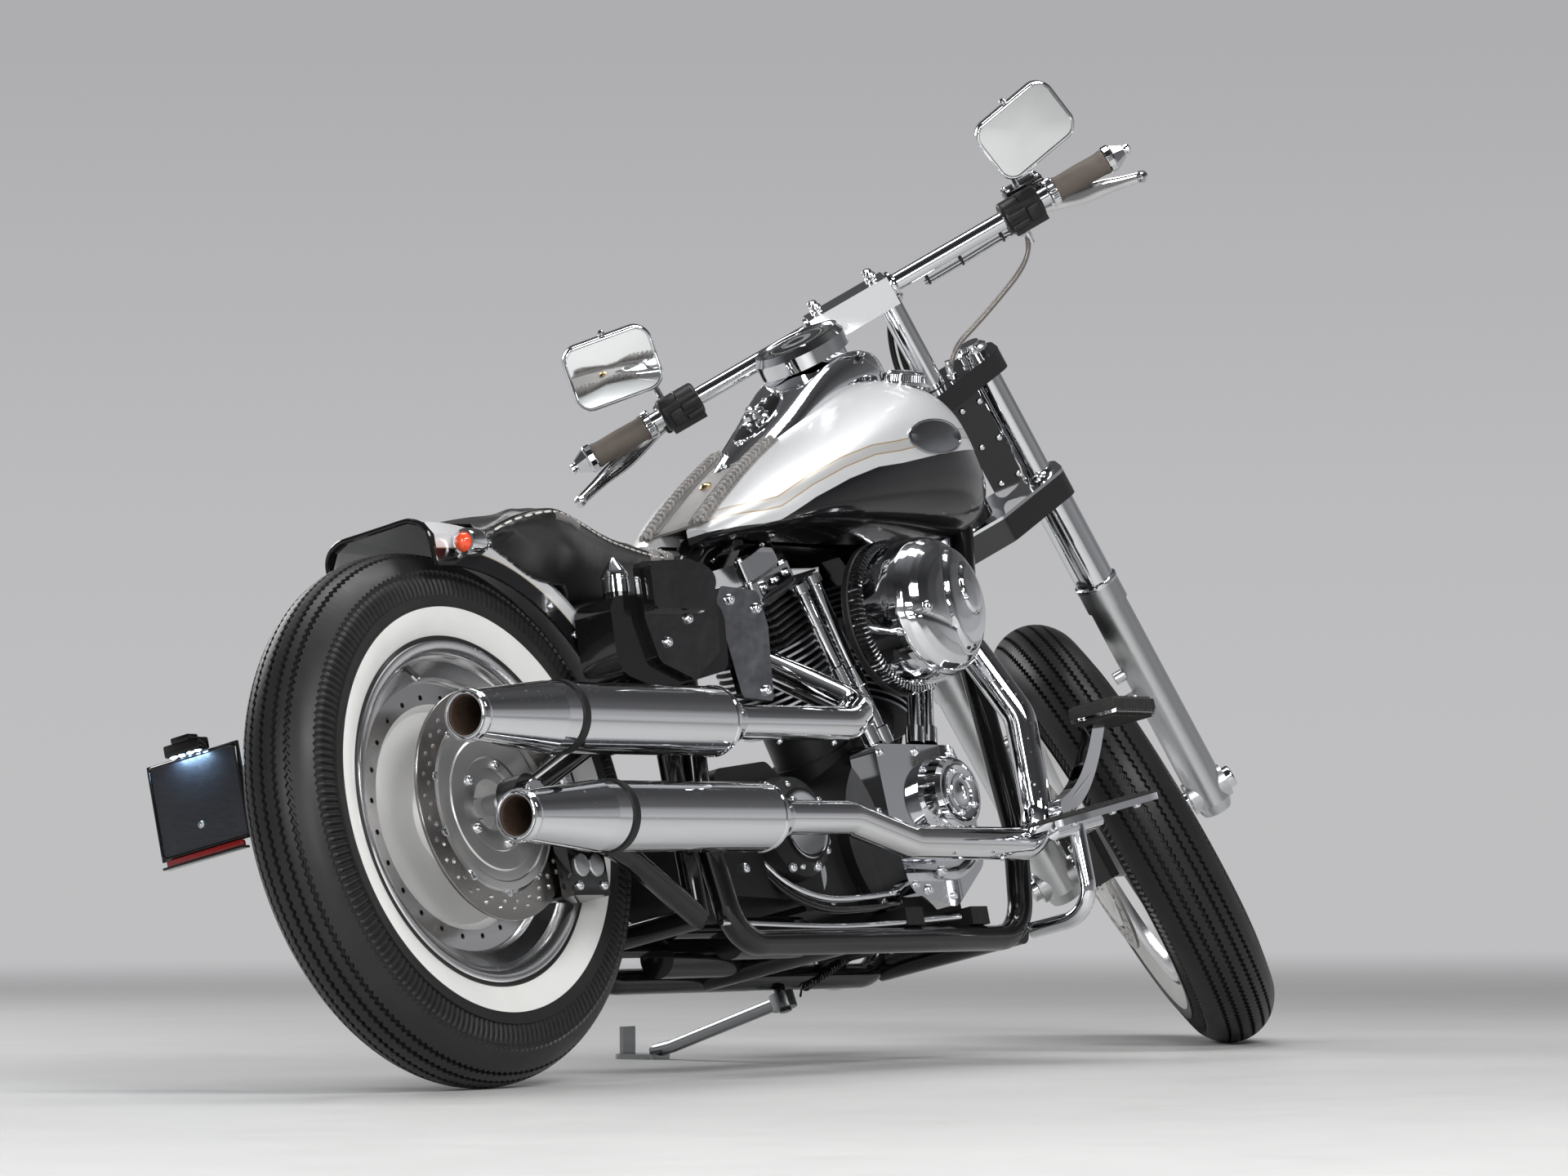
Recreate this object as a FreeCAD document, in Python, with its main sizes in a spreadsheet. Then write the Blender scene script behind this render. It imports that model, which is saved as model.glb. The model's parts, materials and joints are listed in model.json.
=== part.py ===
"""A long, low chopper motorcycle leaning on its side stand, with its steering on the left stop.

Three frames of reference are used, all in millimetres and +Z up before the machine leans:
bike      origin on the floor under the rear axle, +X forward, +Y left
steering  origin on the steering axis level with the front axle, +X square to the axis and
          forward, +Z up along the axis
wheel     origin at the hub, the axle along Y
"""
import FreeCAD
import Part
import math
import os
import Sketcher
from FreeCAD import Placement, Rotation, Vector

DIMENSIONS = {
    "stance": {
        "wheel_base": 1640,
        "rake_angle": 32,
        "trail_length": 147,
        "lean_angle": 12.8,
        "steer_angle": 40,
        "steer_range": 80,
    },
    "tyre": {
        "tyre_radius": 336.5,
        "tyre_crown": 62,
        "tyre_bead_half": 44,
    },
    "wheel": {
        "rim_seat_radius": 203,
        "rim_flange_radius": 216,
        "rim_half_width": 53,
        "rim_wall": 8,
        "rim_drop": 14,
        "disc_wall": 12,
        "hub_radius": 46,
        "hub_half_width": 58,
        "axle_radius": 12.5,
        "axle_clearance": 1,
        "rotor_radius": 146,
        "rotor_wall": 5,
        "rotor_offset": 78,
        "pulley_radius": 122,
        "pulley_offset": 82,
        "pulley_width": 34,
    },
    "frame": {
        "rail_radius": 17,
        "rail_height": 150,
        "rail_half_gap": 118,
        "backbone_radius": 22,
        "neck_radius": 38,
        "neck_bore_radius": 22,
        "neck_gap": 6,
        "swing_tube_radius": 15,
        "dropout_face": 140,
        "seat_gap": 0.3,
    },
    "engine": {
        "gearbox_front": 638,
        "crank_ahead": 230,
        "crank_height": 300,
        "cylinder_half_angle": 22.5,
        "case_radius": 128,
        "case_half_width": 88,
        "barrel_base": 138,
        "fin_start": 192,
        "fin_end": 362,
        "fin_pitch": 10,
        "fin_wall": 3.2,
        "barrel_radius": 50,
        "fin_radius": 74,
        "head_start": 298,
        "rocker_start": 366,
        "rocker_top": 424,
        "rocker_half_length": 54,
        "rocker_half_width": 60,
        "pushrod_radius": 9,
        "cam_cover_depth": 42,
        "air_cleaner_radius": 97,
        "air_cleaner_height": 582,
        "air_cleaner_inner": 128,
        "air_cleaner_depth": 120,
        "gearbox_right": 104,
        "gearbox_left": 62,
        "primary_inner": 104,
        "primary_depth": 82,
    },
    "exhaust": {
        "muffler_radius": 44,
        "muffler_tip_radius": 31,
        "muffler_tip_bore": 25,
        "muffler_offset": 215,
        "upper_height": 402,
        "lower_height": 291,
        "pipe_radius": 22,
        "shield_radius": 25,
    },
    "tank": {
        "tank_half_width": 172,
        "strap_half_width": 56,
        "strap_wall": 4,
        "dial_radius": 60,
        "cap_radius": 31,
    },
    "fender": {
        "fender_radius": 368,
        "fender_half_width": 84,
        "fender_skirt": 66,
        "fender_wall": 4,
        "fender_start": 27,
        "fender_end": 95,
    },
    "fork": {
        "fork_half_gap": 126,
        "fork_tube_radius": 20.5,
        "fork_top_gap": 10,
        "slider_radius": 28,
        "slider_top": 352,
        "collar_radius": 31,
        "clamp_lower": 495,
        "lower_clamp_wall": 41,
        "clamp_spread": 168,
        "upper_clamp_wall": 30,
        "lock_clearance": 6,
        "stem_radius": 14,
        "front_axle_radius": 12.5,
    },
    "controls": {
        "bar_radius": 12.7,
        "bar_rise": 159,
        "bar_forward": 15,
        "grip_inner": 318,
        "grip_outer": 412,
        "grip_radius": 17,
        "grip_cap": 39,
        "lever_gap": 62,
    },
    "stand": {
        "stand_forward": 808,
        "stand_out": 112,
        "stand_height": 117,
        "stand_pin_radius": 8,
        "stand_axis_tilt": 8,
        "stand_leg_radius": 9,
        "stand_reach": 290,
        "stand_advance": 60,
        "stand_sweep": 92,
    },
}

doc = FreeCAD.newDocument("chopper")
sheet = doc.addObject("Spreadsheet::Sheet", "dims")


class Size(float):
    """A length or angle that also knows the sheet formula that gives it."""

    def __new__(cls, value, formula):
        size = float.__new__(cls, value)
        size.formula = formula
        return size

    def __add__(self, other):
        return Size(float(self) + float(other), f"({self.formula} + {formula_of(other)})")

    __radd__ = __add__

    def __sub__(self, other):
        return Size(float(self) - float(other), f"({self.formula} - {formula_of(other)})")

    def __rsub__(self, other):
        return Size(float(other) - float(self), f"({formula_of(other)} - {self.formula})")

    def __mul__(self, other):
        return Size(float(self) * float(other), f"({self.formula} * {formula_of(other)})")

    __rmul__ = __mul__

    def __truediv__(self, other):
        return Size(float(self) / float(other), f"({self.formula} / {formula_of(other)})")

    def __neg__(self):
        return Size(-float(self), f"(-1 * {self.formula})")


def formula_of(value):
    """The sheet formula of a size, or the plain number."""
    return value.formula if isinstance(value, Size) else repr(float(value))


class Dimensions:
    """Every driving dimension, read back from the sheet by its alias."""


def fill_sheet():
    """Write the driving dimensions into the sheet and return them as sizes."""
    sizes = Dimensions()
    row = 1
    for group, cells in DIMENSIONS.items():
        sheet.set(f"A{row}", group)
        row += 1
        for alias, value in cells.items():
            sheet.set(f"A{row}", alias)
            sheet.set(f"B{row}", str(value))
            sheet.setAlias(f"B{row}", alias)
            row += 1
    doc.recompute()
    for cells in DIMENSIONS.values():
        for alias in cells:
            setattr(sizes, alias, Size(float(sheet.get(alias)), f"dims.{alias}"))
    return sizes


d = fill_sheet()

# Sizes that follow from the driving ones
d.crank_forward = d.gearbox_front + d.crank_ahead
d.clamp_lower_top = d.clamp_lower + d.lower_clamp_wall
d.clamp_upper = d.clamp_lower_top + d.clamp_spread
d.clamp_upper_top = d.clamp_upper + d.upper_clamp_wall
d.fork_top = d.clamp_upper_top + d.fork_top_gap
d.neck_low = d.clamp_lower_top + d.neck_gap
d.neck_high = d.clamp_upper - d.neck_gap
d.bar_height = d.clamp_upper_top + d.bar_rise
d.bar_end = d.grip_outer + d.grip_cap


def sin(angle):
    return math.sin(math.radians(angle))


def cos(angle):
    return math.cos(math.radians(angle))


def tan(angle):
    return math.tan(math.radians(angle))


def bind(target, name, value):
    """Set one size of a feature and tie it to the sheet where it comes from there."""
    setattr(target, name, float(value))
    if isinstance(value, Size):
        target.setExpression(name, value.formula)


def along(start, direction):
    """A placement at start whose Z points along direction."""
    return Placement(Vector(*start), Rotation(Vector(0, 0, 1), Vector(*direction)))


def turn_axis(start, direction):
    """A placement at start whose X points along direction."""
    return Placement(Vector(*start), Rotation(Vector(1, 0, 0), Vector(*direction)))


def side_plane(offset=0.0):
    """Drawing plane seen from the right: X forward, Y up, its normal to the right."""
    return Placement(Vector(0, float(offset), 0), Rotation(Vector(1, 0, 0), 90))


def fix_point(sketch, geometry, end, across, up):
    """Hold one sketch point at its two distances from the origin."""
    for kind, value in (("DistanceX", across), ("DistanceY", up)):
        index = sketch.addConstraint(
            Sketcher.Constraint(kind, -1, 1, geometry, end, float(value)))
        if isinstance(value, Size):
            sketch.setExpression(f"Constraints[{index}]", value.formula)


def new_sketch(body, name):
    """A sketch on the body's own XY plane."""
    sketch = body.newObject("Sketcher::SketchObject", name)
    plane = [f for f in body.Origin.OriginFeatures if f.Role == "XY_Plane"][0]
    sketch.AttachmentSupport = [(plane, "")]
    sketch.MapMode = "FlatFace"
    return sketch


def draw_outline(sketch, points):
    """A closed outline of straight sides. A third entry in a point is its corner radius."""
    first = sketch.GeometryCount
    count = len(points)
    for index in range(count):
        here = points[index]
        after = points[(index + 1) % count]
        sketch.addGeometry(Part.LineSegment(Vector(float(here[0]), float(here[1]), 0),
                                            Vector(float(after[0]), float(after[1]), 0)), False)
    for index in range(count):
        sketch.addConstraint(Sketcher.Constraint(
            "Coincident", first + index, 2, first + (index + 1) % count, 1))
        fix_point(sketch, first + index, 1, points[index][0], points[index][1])
    for index in range(count):
        if len(points[index]) > 2:
            radius = points[index][2]
            before = sketch.GeometryCount
            sketch.fillet(first + index, 1, float(radius), True, True)
            arc = [n for n in range(before, sketch.GeometryCount)
                   if isinstance(sketch.Geometry[n], Part.ArcOfCircle)][0]
            bound = sketch.addConstraint(Sketcher.Constraint("Radius", arc, float(radius)))
            if isinstance(radius, Size):
                sketch.setExpression(f"Constraints[{bound}]", radius.formula)


def draw_circle(sketch, across, up, radius):
    """A full circle."""
    circle = sketch.addGeometry(
        Part.Circle(Vector(float(across), float(up), 0), Vector(0, 0, 1), float(radius)), False)
    fix_point(sketch, circle, 3, across, up)
    bound = sketch.addConstraint(Sketcher.Constraint("Radius", circle, float(radius)))
    if isinstance(radius, Size):
        sketch.setExpression(f"Constraints[{bound}]", radius.formula)


def turned(name, profile, place, angle=360):
    """A body turned about its X axis from an outline of (along, radius) points."""
    body = doc.addObject("PartDesign::Body", name)
    sketch = new_sketch(body, name + "_outline")
    draw_outline(sketch, profile)
    turn = body.newObject("PartDesign::Revolution", name + "_turn")
    turn.Profile = sketch
    turn.ReferenceAxis = (sketch, ["H_Axis"])
    bind(turn, "Angle", angle)
    body.Placement = place
    return body


def plate(name, outline, wall, place, holes=()):
    """A body padded from an outline, with round holes of (across, up, radius)."""
    body = doc.addObject("PartDesign::Body", name)
    sketch = new_sketch(body, name + "_outline")
    draw_outline(sketch, outline)
    for across, up, radius in holes:
        draw_circle(sketch, across, up, radius)
    pad = body.newObject("PartDesign::Pad", name + "_pad")
    pad.Profile = sketch
    bind(pad, "Length", wall)
    body.Placement = place
    return body


def rod(name, radius, start, end):
    """A round bar between two points."""
    start = Vector(*start)
    end = Vector(*end)
    bar = doc.addObject("Part::Cylinder", name)
    bind(bar, "Radius", radius)
    bar.Height = (end - start).Length
    bar.Placement = along(start, end - start)
    return bar


def cone(name, radius_start, radius_end, start, end):
    """A tapered bar between two points."""
    start = Vector(*start)
    end = Vector(*end)
    taper = doc.addObject("Part::Cone", name)
    bind(taper, "Radius1", radius_start)
    bind(taper, "Radius2", radius_end)
    taper.Height = (end - start).Length
    taper.Placement = along(start, end - start)
    return taper


def ball(name, radius, centre):
    """A full ball."""
    sphere = doc.addObject("Part::Sphere", name)
    bind(sphere, "Radius", radius)
    sphere.Placement = Placement(Vector(*centre), Rotation())
    return sphere


def block(name, low, high, place=None):
    """A box between two corners."""
    box = doc.addObject("Part::Box", name)
    bind(box, "Length", high[0] - low[0])
    bind(box, "Width", high[1] - low[1])
    bind(box, "Height", high[2] - low[2])
    corner = Placement(Vector(*[float(v) for v in low]), Rotation())
    box.Placement = place.multiply(corner) if place else corner
    return box


def shaped(name, shape):
    """A form that no feature makes, from Part's own functions."""
    feature = doc.addObject("Part::Feature", name)
    feature.Shape = shape
    return feature


def fused(name, parts):
    """Several solids joined into one."""
    union = doc.addObject("Part::MultiFuse", name)
    union.Shapes = parts
    return union


def grouped(name, parts):
    """Like solids that share a node and don't touch."""
    group = doc.addObject("Part::Compound", name)
    group.Links = parts
    return group


def carved(name, base, tools):
    """A solid with one or more others taken out of it."""
    cut = doc.addObject("Part::Cut", name)
    cut.Base = base
    cut.Tool = tools[0] if len(tools) == 1 else fused(name + "_tools", tools)
    return cut


def bent_wire(points, bends):
    """Straight runs joined by tangent arcs; bends is one radius or one for each corner."""
    points = [Vector(*[float(v) for v in point]) for point in points]
    corners = len(points) - 2
    if not isinstance(bends, (list, tuple)):
        bends = [bends] * corners
    edges = []
    last = points[0]
    for index in range(corners):
        corner = points[index + 1]
        before = (points[index] - corner).normalize()
        after = (points[index + 2] - corner).normalize()
        half = before.getAngle(after) / 2
        back = float(bends[index]) / math.tan(half)
        first = corner + before * back
        second = corner + after * back
        middle_line = (before + after).normalize()
        centre = corner + middle_line * (float(bends[index]) / math.sin(half))
        middle = centre - middle_line * float(bends[index])
        if (first - last).Length > 1e-4:
            edges.append(Part.LineSegment(last, first).toShape())
        edges.append(Part.Arc(first, middle, second).toShape())
        last = second
    edges.append(Part.LineSegment(last, points[-1]).toShape())
    return Part.Wire(edges)


def bent_tube(points, bends, radius):
    """A solid round tube along straight runs and arcs."""
    path = bent_wire(points, bends)
    start = path.Edges[0].Vertexes[0].Point
    heading = path.Edges[0].tangentAt(path.Edges[0].FirstParameter)
    section = Part.Wire(Part.Circle(start, heading, float(radius)).toShape())
    return path.makePipeShell([section], True, False)


def skinned(rings):
    """A closed solid whose skin runs smoothly through rings of points, flat at both ends."""
    count = len(rings[0])
    around = []
    for ring in rings:
        curve = Part.BSplineCurve()
        curve.interpolate(Points=[Vector(*[float(v) for v in point]) for point in ring],
                          PeriodicFlag=True, Parameters=[n / count for n in range(count + 1)])
        around.append(curve)
    poles = around[0].NbPoles
    middles = [sum(curve.getPoles(), Vector()) * (1 / poles) for curve in around]
    stations = [0.0]
    for before, after in zip(middles, middles[1:]):
        stations.append(stations[-1] + (after - before).Length)
    lengthwise = []
    for index in range(poles):
        line = Part.BSplineCurve()
        line.interpolate(Points=[curve.getPole(index + 1) for curve in around], Parameters=stations)
        lengthwise.append(line)
    skin = Part.BSplineSurface()
    skin.buildFromPolesMultsKnots(
        [line.getPoles() for line in lengthwise], around[0].getMultiplicities(),
        lengthwise[0].getMultiplicities(), around[0].getKnots(), lengthwise[0].getKnots(),
        True, False, 3, 3)
    ends = [Part.Face(Part.Wire(curve.toShape())) for curve in (around[0], around[-1])]
    shell = Part.Shell([skin.toShape()] + ends)
    shell.sewShape()
    solid = Part.Solid(shell)
    return solid.reversed() if solid.Volume < 0 else solid


pieces = []


def piece(node, feature, frame="chassis"):
    """Name a finished sub-part and say which frame it was drawn in."""
    feature.Label = node
    pieces.append((node, feature, frame))
    return feature


# Steering geometry
axis_foot = d.wheel_base + d.trail_length - d.tyre_radius * tan(d.rake_angle)
fork_offset = (d.wheel_base - float(axis_foot)) * cos(d.rake_angle)
steer_origin = Vector(float(d.wheel_base) - float(fork_offset) * cos(d.rake_angle), 0,
                      float(d.tyre_radius) - float(fork_offset) * sin(d.rake_angle))
STEERING = Placement(steer_origin, Rotation(Vector(0, 1, 0), -float(d.rake_angle)))


def steer_point(forward, left, up):
    """A point of the steering frame in the bike frame, before any steering."""
    return STEERING.multVec(Vector(float(forward), float(left), float(up)))


def tyre_bottom(place, centre, axle):
    """Height of a leaning tyre's lowest point."""
    hub = place.multVec(centre)
    spin = place.Rotation.multVec(axle)
    reach = (float(d.tyre_radius) - float(d.tyre_crown)) * math.sqrt(1 - spin.z ** 2)
    return hub.z - reach - float(d.tyre_crown)


def rest_placement():
    """Lean to the left, then pitch and lift until both tyres touch the floor."""
    steered = STEERING.multiply(Placement(Vector(), Rotation(Vector(0, 0, 1), float(d.steer_angle))))
    front_hub = steered.multVec(Vector(float(fork_offset), 0, 0))
    front_axle = steered.Rotation.multVec(Vector(0, 1, 0))
    pitch = 0.0
    for step in range(20):
        lean = Rotation(Vector(0, 1, 0), pitch).multiply(Rotation(Vector(1, 0, 0), -float(d.lean_angle)))
        place = Placement(Vector(), lean)
        rear = tyre_bottom(place, Vector(0, 0, float(d.tyre_radius)), Vector(0, 1, 0))
        front = tyre_bottom(place, front_hub, front_axle)
        pitch += math.degrees(math.atan2(front - rear, float(d.wheel_base)))
    return Placement(Vector(0, 0, -rear), lean)


REST = rest_placement()
STEERED = REST.multiply(STEERING).multiply(
    Placement(Vector(), Rotation(Vector(0, 0, 1), float(d.steer_angle))))
FRAMES = {
    "chassis": REST,
    "stand": REST,
    "rear_wheel": REST.multiply(Placement(Vector(0, 0, float(d.tyre_radius)), Rotation())),
    "steering": STEERED,
    "front_wheel": STEERED.multiply(Placement(Vector(float(fork_offset), 0, 0), Rotation())),
}


def floor_height(forward, left):
    """Height of the floor in the bike frame at one place, once the machine leans."""
    up = REST.Rotation.inverted().multVec(Vector(0, 0, 1))
    return -(up.x * float(forward) + up.y * float(left) + REST.Base.z) / up.z


# Fork legs
gap = float(d.fork_half_gap)
leg_forward = float(fork_offset)


def clamp(name, low, high, front):
    """One fork clamp: a waisted plate between the two tubes."""
    return plate(name, [(leg_forward - 32, -gap - 32, 20), (leg_forward + 32, -gap - 32, 20),
                        (leg_forward + front, 0, 30), (leg_forward + 32, gap + 32, 20),
                        (leg_forward - 32, gap + 32, 20), (-34, 44, 24), (-34, -44, 24)], high - low,
                 Placement(Vector(0, 0, float(low)), Rotation()))


def leg_rod(name, side, radius, low, high):
    """A round bar in line with one fork leg."""
    return rod(name, radius, (leg_forward, side * gap, float(low)), (leg_forward, side * gap, float(high)))


# Wheels
def wheel_set(side):
    """Tyre and solid disc wheel, drawn about their own hub."""
    hub = turn_axis((0, 0, 0), (0, 1, 0))
    bulge = d.tyre_crown
    middle = d.tyre_radius - d.tyre_crown
    body = doc.addObject("PartDesign::Body", side + "_tyre_body")
    sketch = new_sketch(body, side + "_tyre_outline")
    bead = (d.tyre_bead_half, d.rim_seat_radius)
    shoulder = Vector(float(bulge), float(middle), 0)
    top = Vector(0, float(d.tyre_radius), 0)
    low = Vector(float(d.tyre_bead_half), float(d.rim_flange_radius) + 1, 0)
    seat_left = Vector(-float(bead[0]), float(bead[1]), 0)
    seat_right = Vector(float(bead[0]), float(bead[1]), 0)
    low_left = Vector(-low.x, low.y, 0)
    shoulder_left = Vector(-shoulder.x, shoulder.y, 0)
    side_mid = Vector(float(bulge) - 3.4, (shoulder.y + low.y) / 2 - 2, 0)
    side_mid_left = Vector(-side_mid.x, side_mid.y, 0)
    sketch.addGeometry([
        Part.LineSegment(seat_left, seat_right),
        Part.LineSegment(seat_right, low),
        Part.Arc(low, side_mid, shoulder),
        Part.Arc(shoulder, top, shoulder_left),
        Part.Arc(shoulder_left, side_mid_left, low_left),
        Part.LineSegment(low_left, seat_left),
    ], False)
    for index in range(6):
        sketch.addConstraint(Sketcher.Constraint("Coincident", index, 2, (index + 1) % 6, 1))
    fix_point(sketch, 0, 1, -d.tyre_bead_half, d.rim_seat_radius)
    fix_point(sketch, 0, 2, d.tyre_bead_half, d.rim_seat_radius)
    fix_point(sketch, 2, 1, d.tyre_bead_half, d.rim_flange_radius + 1)
    fix_point(sketch, 3, 1, d.tyre_crown, middle)
    fix_point(sketch, 4, 1, -d.tyre_crown, middle)
    fix_point(sketch, 5, 1, -d.tyre_bead_half, d.rim_flange_radius + 1)
    turn = body.newObject("PartDesign::Revolution", side + "_tyre_turn")
    turn.Profile = sketch
    turn.ReferenceAxis = (sketch, ["H_Axis"])
    turn.Angle = 360.0
    body.Placement = hub
    piece(side + "_tyre", body, side + "_wheel")
    flange = d.rim_half_width
    seat = d.rim_seat_radius
    well = d.rim_seat_radius - d.rim_drop
    inner = d.rim_seat_radius - d.rim_drop - d.rim_wall
    half = d.disc_wall / 2
    wheel = turned(side + "_wheel_body", [
        (-flange, d.rim_flange_radius, 2.5), (-d.tyre_bead_half, d.rim_flange_radius, 2.5),
        (-d.tyre_bead_half, seat), (-20, seat), (-14, well), (14, well), (20, seat),
        (d.tyre_bead_half, seat), (d.tyre_bead_half, d.rim_flange_radius, 2.5),
        (flange, d.rim_flange_radius, 2.5), (flange, seat - 4, 3), (26, inner, 8),
        (half, inner - 20, 10), (half, d.hub_radius + 14, 8), (d.hub_half_width, d.hub_radius - 6, 3),
        (d.hub_half_width, d.axle_radius + d.axle_clearance),
        (-d.hub_half_width, d.axle_radius + d.axle_clearance),
        (-d.hub_half_width, d.hub_radius - 6, 3), (-half, d.hub_radius + 14, 8),
        (-half, inner - 20, 10), (-26, inner, 8), (-flange, seat - 4, 3),
    ], hub)
    piece(side + "_wheel", wheel, side + "_wheel")


def rotor(side, sign):
    """Drilled brake disc on its carrier, on one side of the hub."""
    centre = sign * float(d.rotor_offset)
    bore = d.hub_radius - 14
    holes = []
    for ring, radius in ((0, 128), (1, 114)):
        for step in range(15):
            angle = 24 * step + 12 * ring
            holes.append((radius * cos(angle), radius * sin(angle), 4))
    disc = doc.addObject("PartDesign::Body", side + "_rotor_body")
    sketch = new_sketch(disc, side + "_rotor_outline")
    draw_circle(sketch, 0, 0, d.rotor_radius)
    draw_circle(sketch, 0, 0, bore)
    for across, up, radius in holes:
        draw_circle(sketch, across, up, radius)
    for step in range(5):
        angle = 72 * step + 18
        draw_circle(sketch, 80 * cos(angle), 80 * sin(angle), 13)
    pad = disc.newObject("PartDesign::Pad", side + "_rotor_pad")
    pad.Profile = sketch
    bind(pad, "Length", d.rotor_wall)
    disc.Placement = Placement(Vector(0, centre, 0), Rotation(Vector(1, 0, 0), 90))
    ring = rod(side + "_rotor_seat", d.hub_radius - 2, (0, sign * float(d.hub_half_width), 0),
               (0, centre, 0))
    hollow = rod(side + "_rotor_bore", bore, (0, sign * (float(d.hub_half_width) - 1), 0),
                 (0, centre + sign, 0))
    spacer = carved(side + "_rotor_spacer", ring, [hollow])
    piece(side + "_rotor", fused(side + "_rotor_set", [disc, spacer]), side + "_wheel")


wheel_set("rear")
wheel_set("front")
rotor("rear", -1)
rotor("front", 1)
half_pulley = d.pulley_width / 2
pulley_start = float(d.pulley_offset) - float(half_pulley)
pulley = turned("rear_pulley_body", [
    (0, d.pulley_radius + 3, 1), (3, d.pulley_radius + 3, 1), (3, d.pulley_radius),
    (d.pulley_width - 3, d.pulley_radius), (d.pulley_width - 3, d.pulley_radius + 3, 1),
    (d.pulley_width, d.pulley_radius + 3, 1), (d.pulley_width, d.pulley_radius - 10),
    (16, d.pulley_radius - 14), (16, d.hub_radius), (16, d.axle_radius + 8),
    (0, d.axle_radius + 8)], turn_axis((0, pulley_start, 0), (0, 1, 0)))
piece("rear_pulley", pulley, "rear_wheel")

# Frame, which follows the crank and the neck
crank = Vector(float(d.crank_forward), 0, float(d.crank_height))
neck_low = steer_point(0, 0, d.neck_low)
neck_high = steer_point(0, 0, d.neck_high)
rail = float(d.rail_half_gap)
rail_z = float(d.rail_height)
neck = carved("neck", rod("neck_tube", d.neck_radius, neck_low, neck_high),
              [rod("neck_bore", d.neck_bore_radius, steer_point(0, 0, d.neck_low - 5),
                   steer_point(0, 0, d.neck_high + 5))])
neck_back = steer_point(-30, 0, d.neck_high - 50)
neck_foot = steer_point(-30, 0, d.neck_low + 42)


def backbone_tube(name, extra=0.0):
    """The top tube, from the neck over the rear cylinder and down behind the saddle."""
    return shaped(name, bent_tube(
        [neck_back, (900, 0, 790), (745, 0, 748), (632, 0, 698), (570, 0, 632), (480, 0, 575),
         (440, 0, 470)], [120, 60, 40, 40, 40], float(d.backbone_radius) + extra))


def cradle_tube(name, side, extra=0.0):
    """One side's tube, down from the neck, back under the engine and up to the saddle."""
    return shaped(name, bent_tube(
        [(neck_foot.x, side * 22, neck_foot.z), (crank.x + 282, side * 60, 560),
         (crank.x + 224, side * rail, 300), (crank.x + 192, side * rail, rail_z), (404, side * rail, rail_z), (374, side * rail, 300),
         (412, side * 110, 548), (478, side * 16, 570)],
        [120, 120, 70, 60, 90, 20], float(d.rail_radius) + extra))


stand_pivot = Vector(float(d.stand_forward), float(d.stand_out), float(d.stand_height))
stand_axis = Vector(0, sin(d.stand_axis_tilt), cos(d.stand_axis_tilt))
cross = [rod(f"cross_{index}", d.rail_radius, (x, -rail, z), (x, rail, z))
         for index, (x, z) in enumerate(((crank.x + 192, rail_z + 8), (640, rail_z), (378, 440)))]
stand_pin = rod("stand_pin", d.stand_pin_radius, stand_pivot - stand_axis * 15, stand_pivot + stand_axis * 26)
piece("frame", fused("frame_set", [neck, backbone_tube("backbone"), cradle_tube("left_cradle", 1),
                                   cradle_tube("right_cradle", -1), stand_pin] + cross))

# Swingarm, axle and springs
arms = []
arm_x = 338
arm_low = 185
arm_high = 462
axle_z = float(d.tyre_radius)
for name, side in (("left", 1), ("right", -1)):
    front_y = side * 113
    rear_y = side * 124
    arms.append(shaped(name + "_lower_arm", bent_tube(
        [(arm_x, front_y, arm_low), (200, rear_y, 262), (0, rear_y, axle_z)], [60], d.swing_tube_radius)))
    arms.append(shaped(name + "_upper_arm", bent_tube(
        [(arm_x, front_y, arm_high), (230, rear_y, 436), (0, rear_y, axle_z)], [60], d.swing_tube_radius)))
    arms.append(rod(name + "_dropout", 26, (0, side * 108, axle_z), (0, side * d.dropout_face, axle_z)))
    arms.append(rod(name + "_arm_post", d.swing_tube_radius, (arm_x, front_y, arm_low),
                    (arm_x, front_y, arm_high)))
arms.append(rod("arm_cross_low", d.swing_tube_radius, (arm_x, -113, arm_low), (arm_x, 113, arm_low)))
arms.append(rod("arm_cross_high", d.swing_tube_radius, (arm_x, -113, arm_high), (arm_x, 113, arm_high)))
swing = carved("swingarm_set", fused("swing_tubes", arms),
               [rod("axle_hole", d.axle_radius, (0, -150, axle_z), (0, 150, axle_z))])
piece("swingarm", swing)
axle_face = d.dropout_face + d.seat_gap
axle_end = axle_face + 12
axle = turned("rear_axle_body", [
    (-axle_end, 0), (-axle_end, 17, 3), (-axle_face, 17), (-axle_face, d.axle_radius),
    (axle_face, d.axle_radius), (axle_face, 17), (axle_end, 17, 3), (axle_end, 0)],
    turn_axis((0, 0, axle_z), (0, 1, 0)))
piece("rear_axle", axle)


# Engine

def on_cylinder(sign, forward, left, up):
    """A point of one cylinder's own frame in the bike frame."""
    lean = sign * float(d.cylinder_half_angle)
    return Vector(crank.x + float(forward) * cos(lean) + float(up) * sin(lean), float(left),
                  crank.z - float(forward) * sin(lean) + float(up) * cos(lean))


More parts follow.
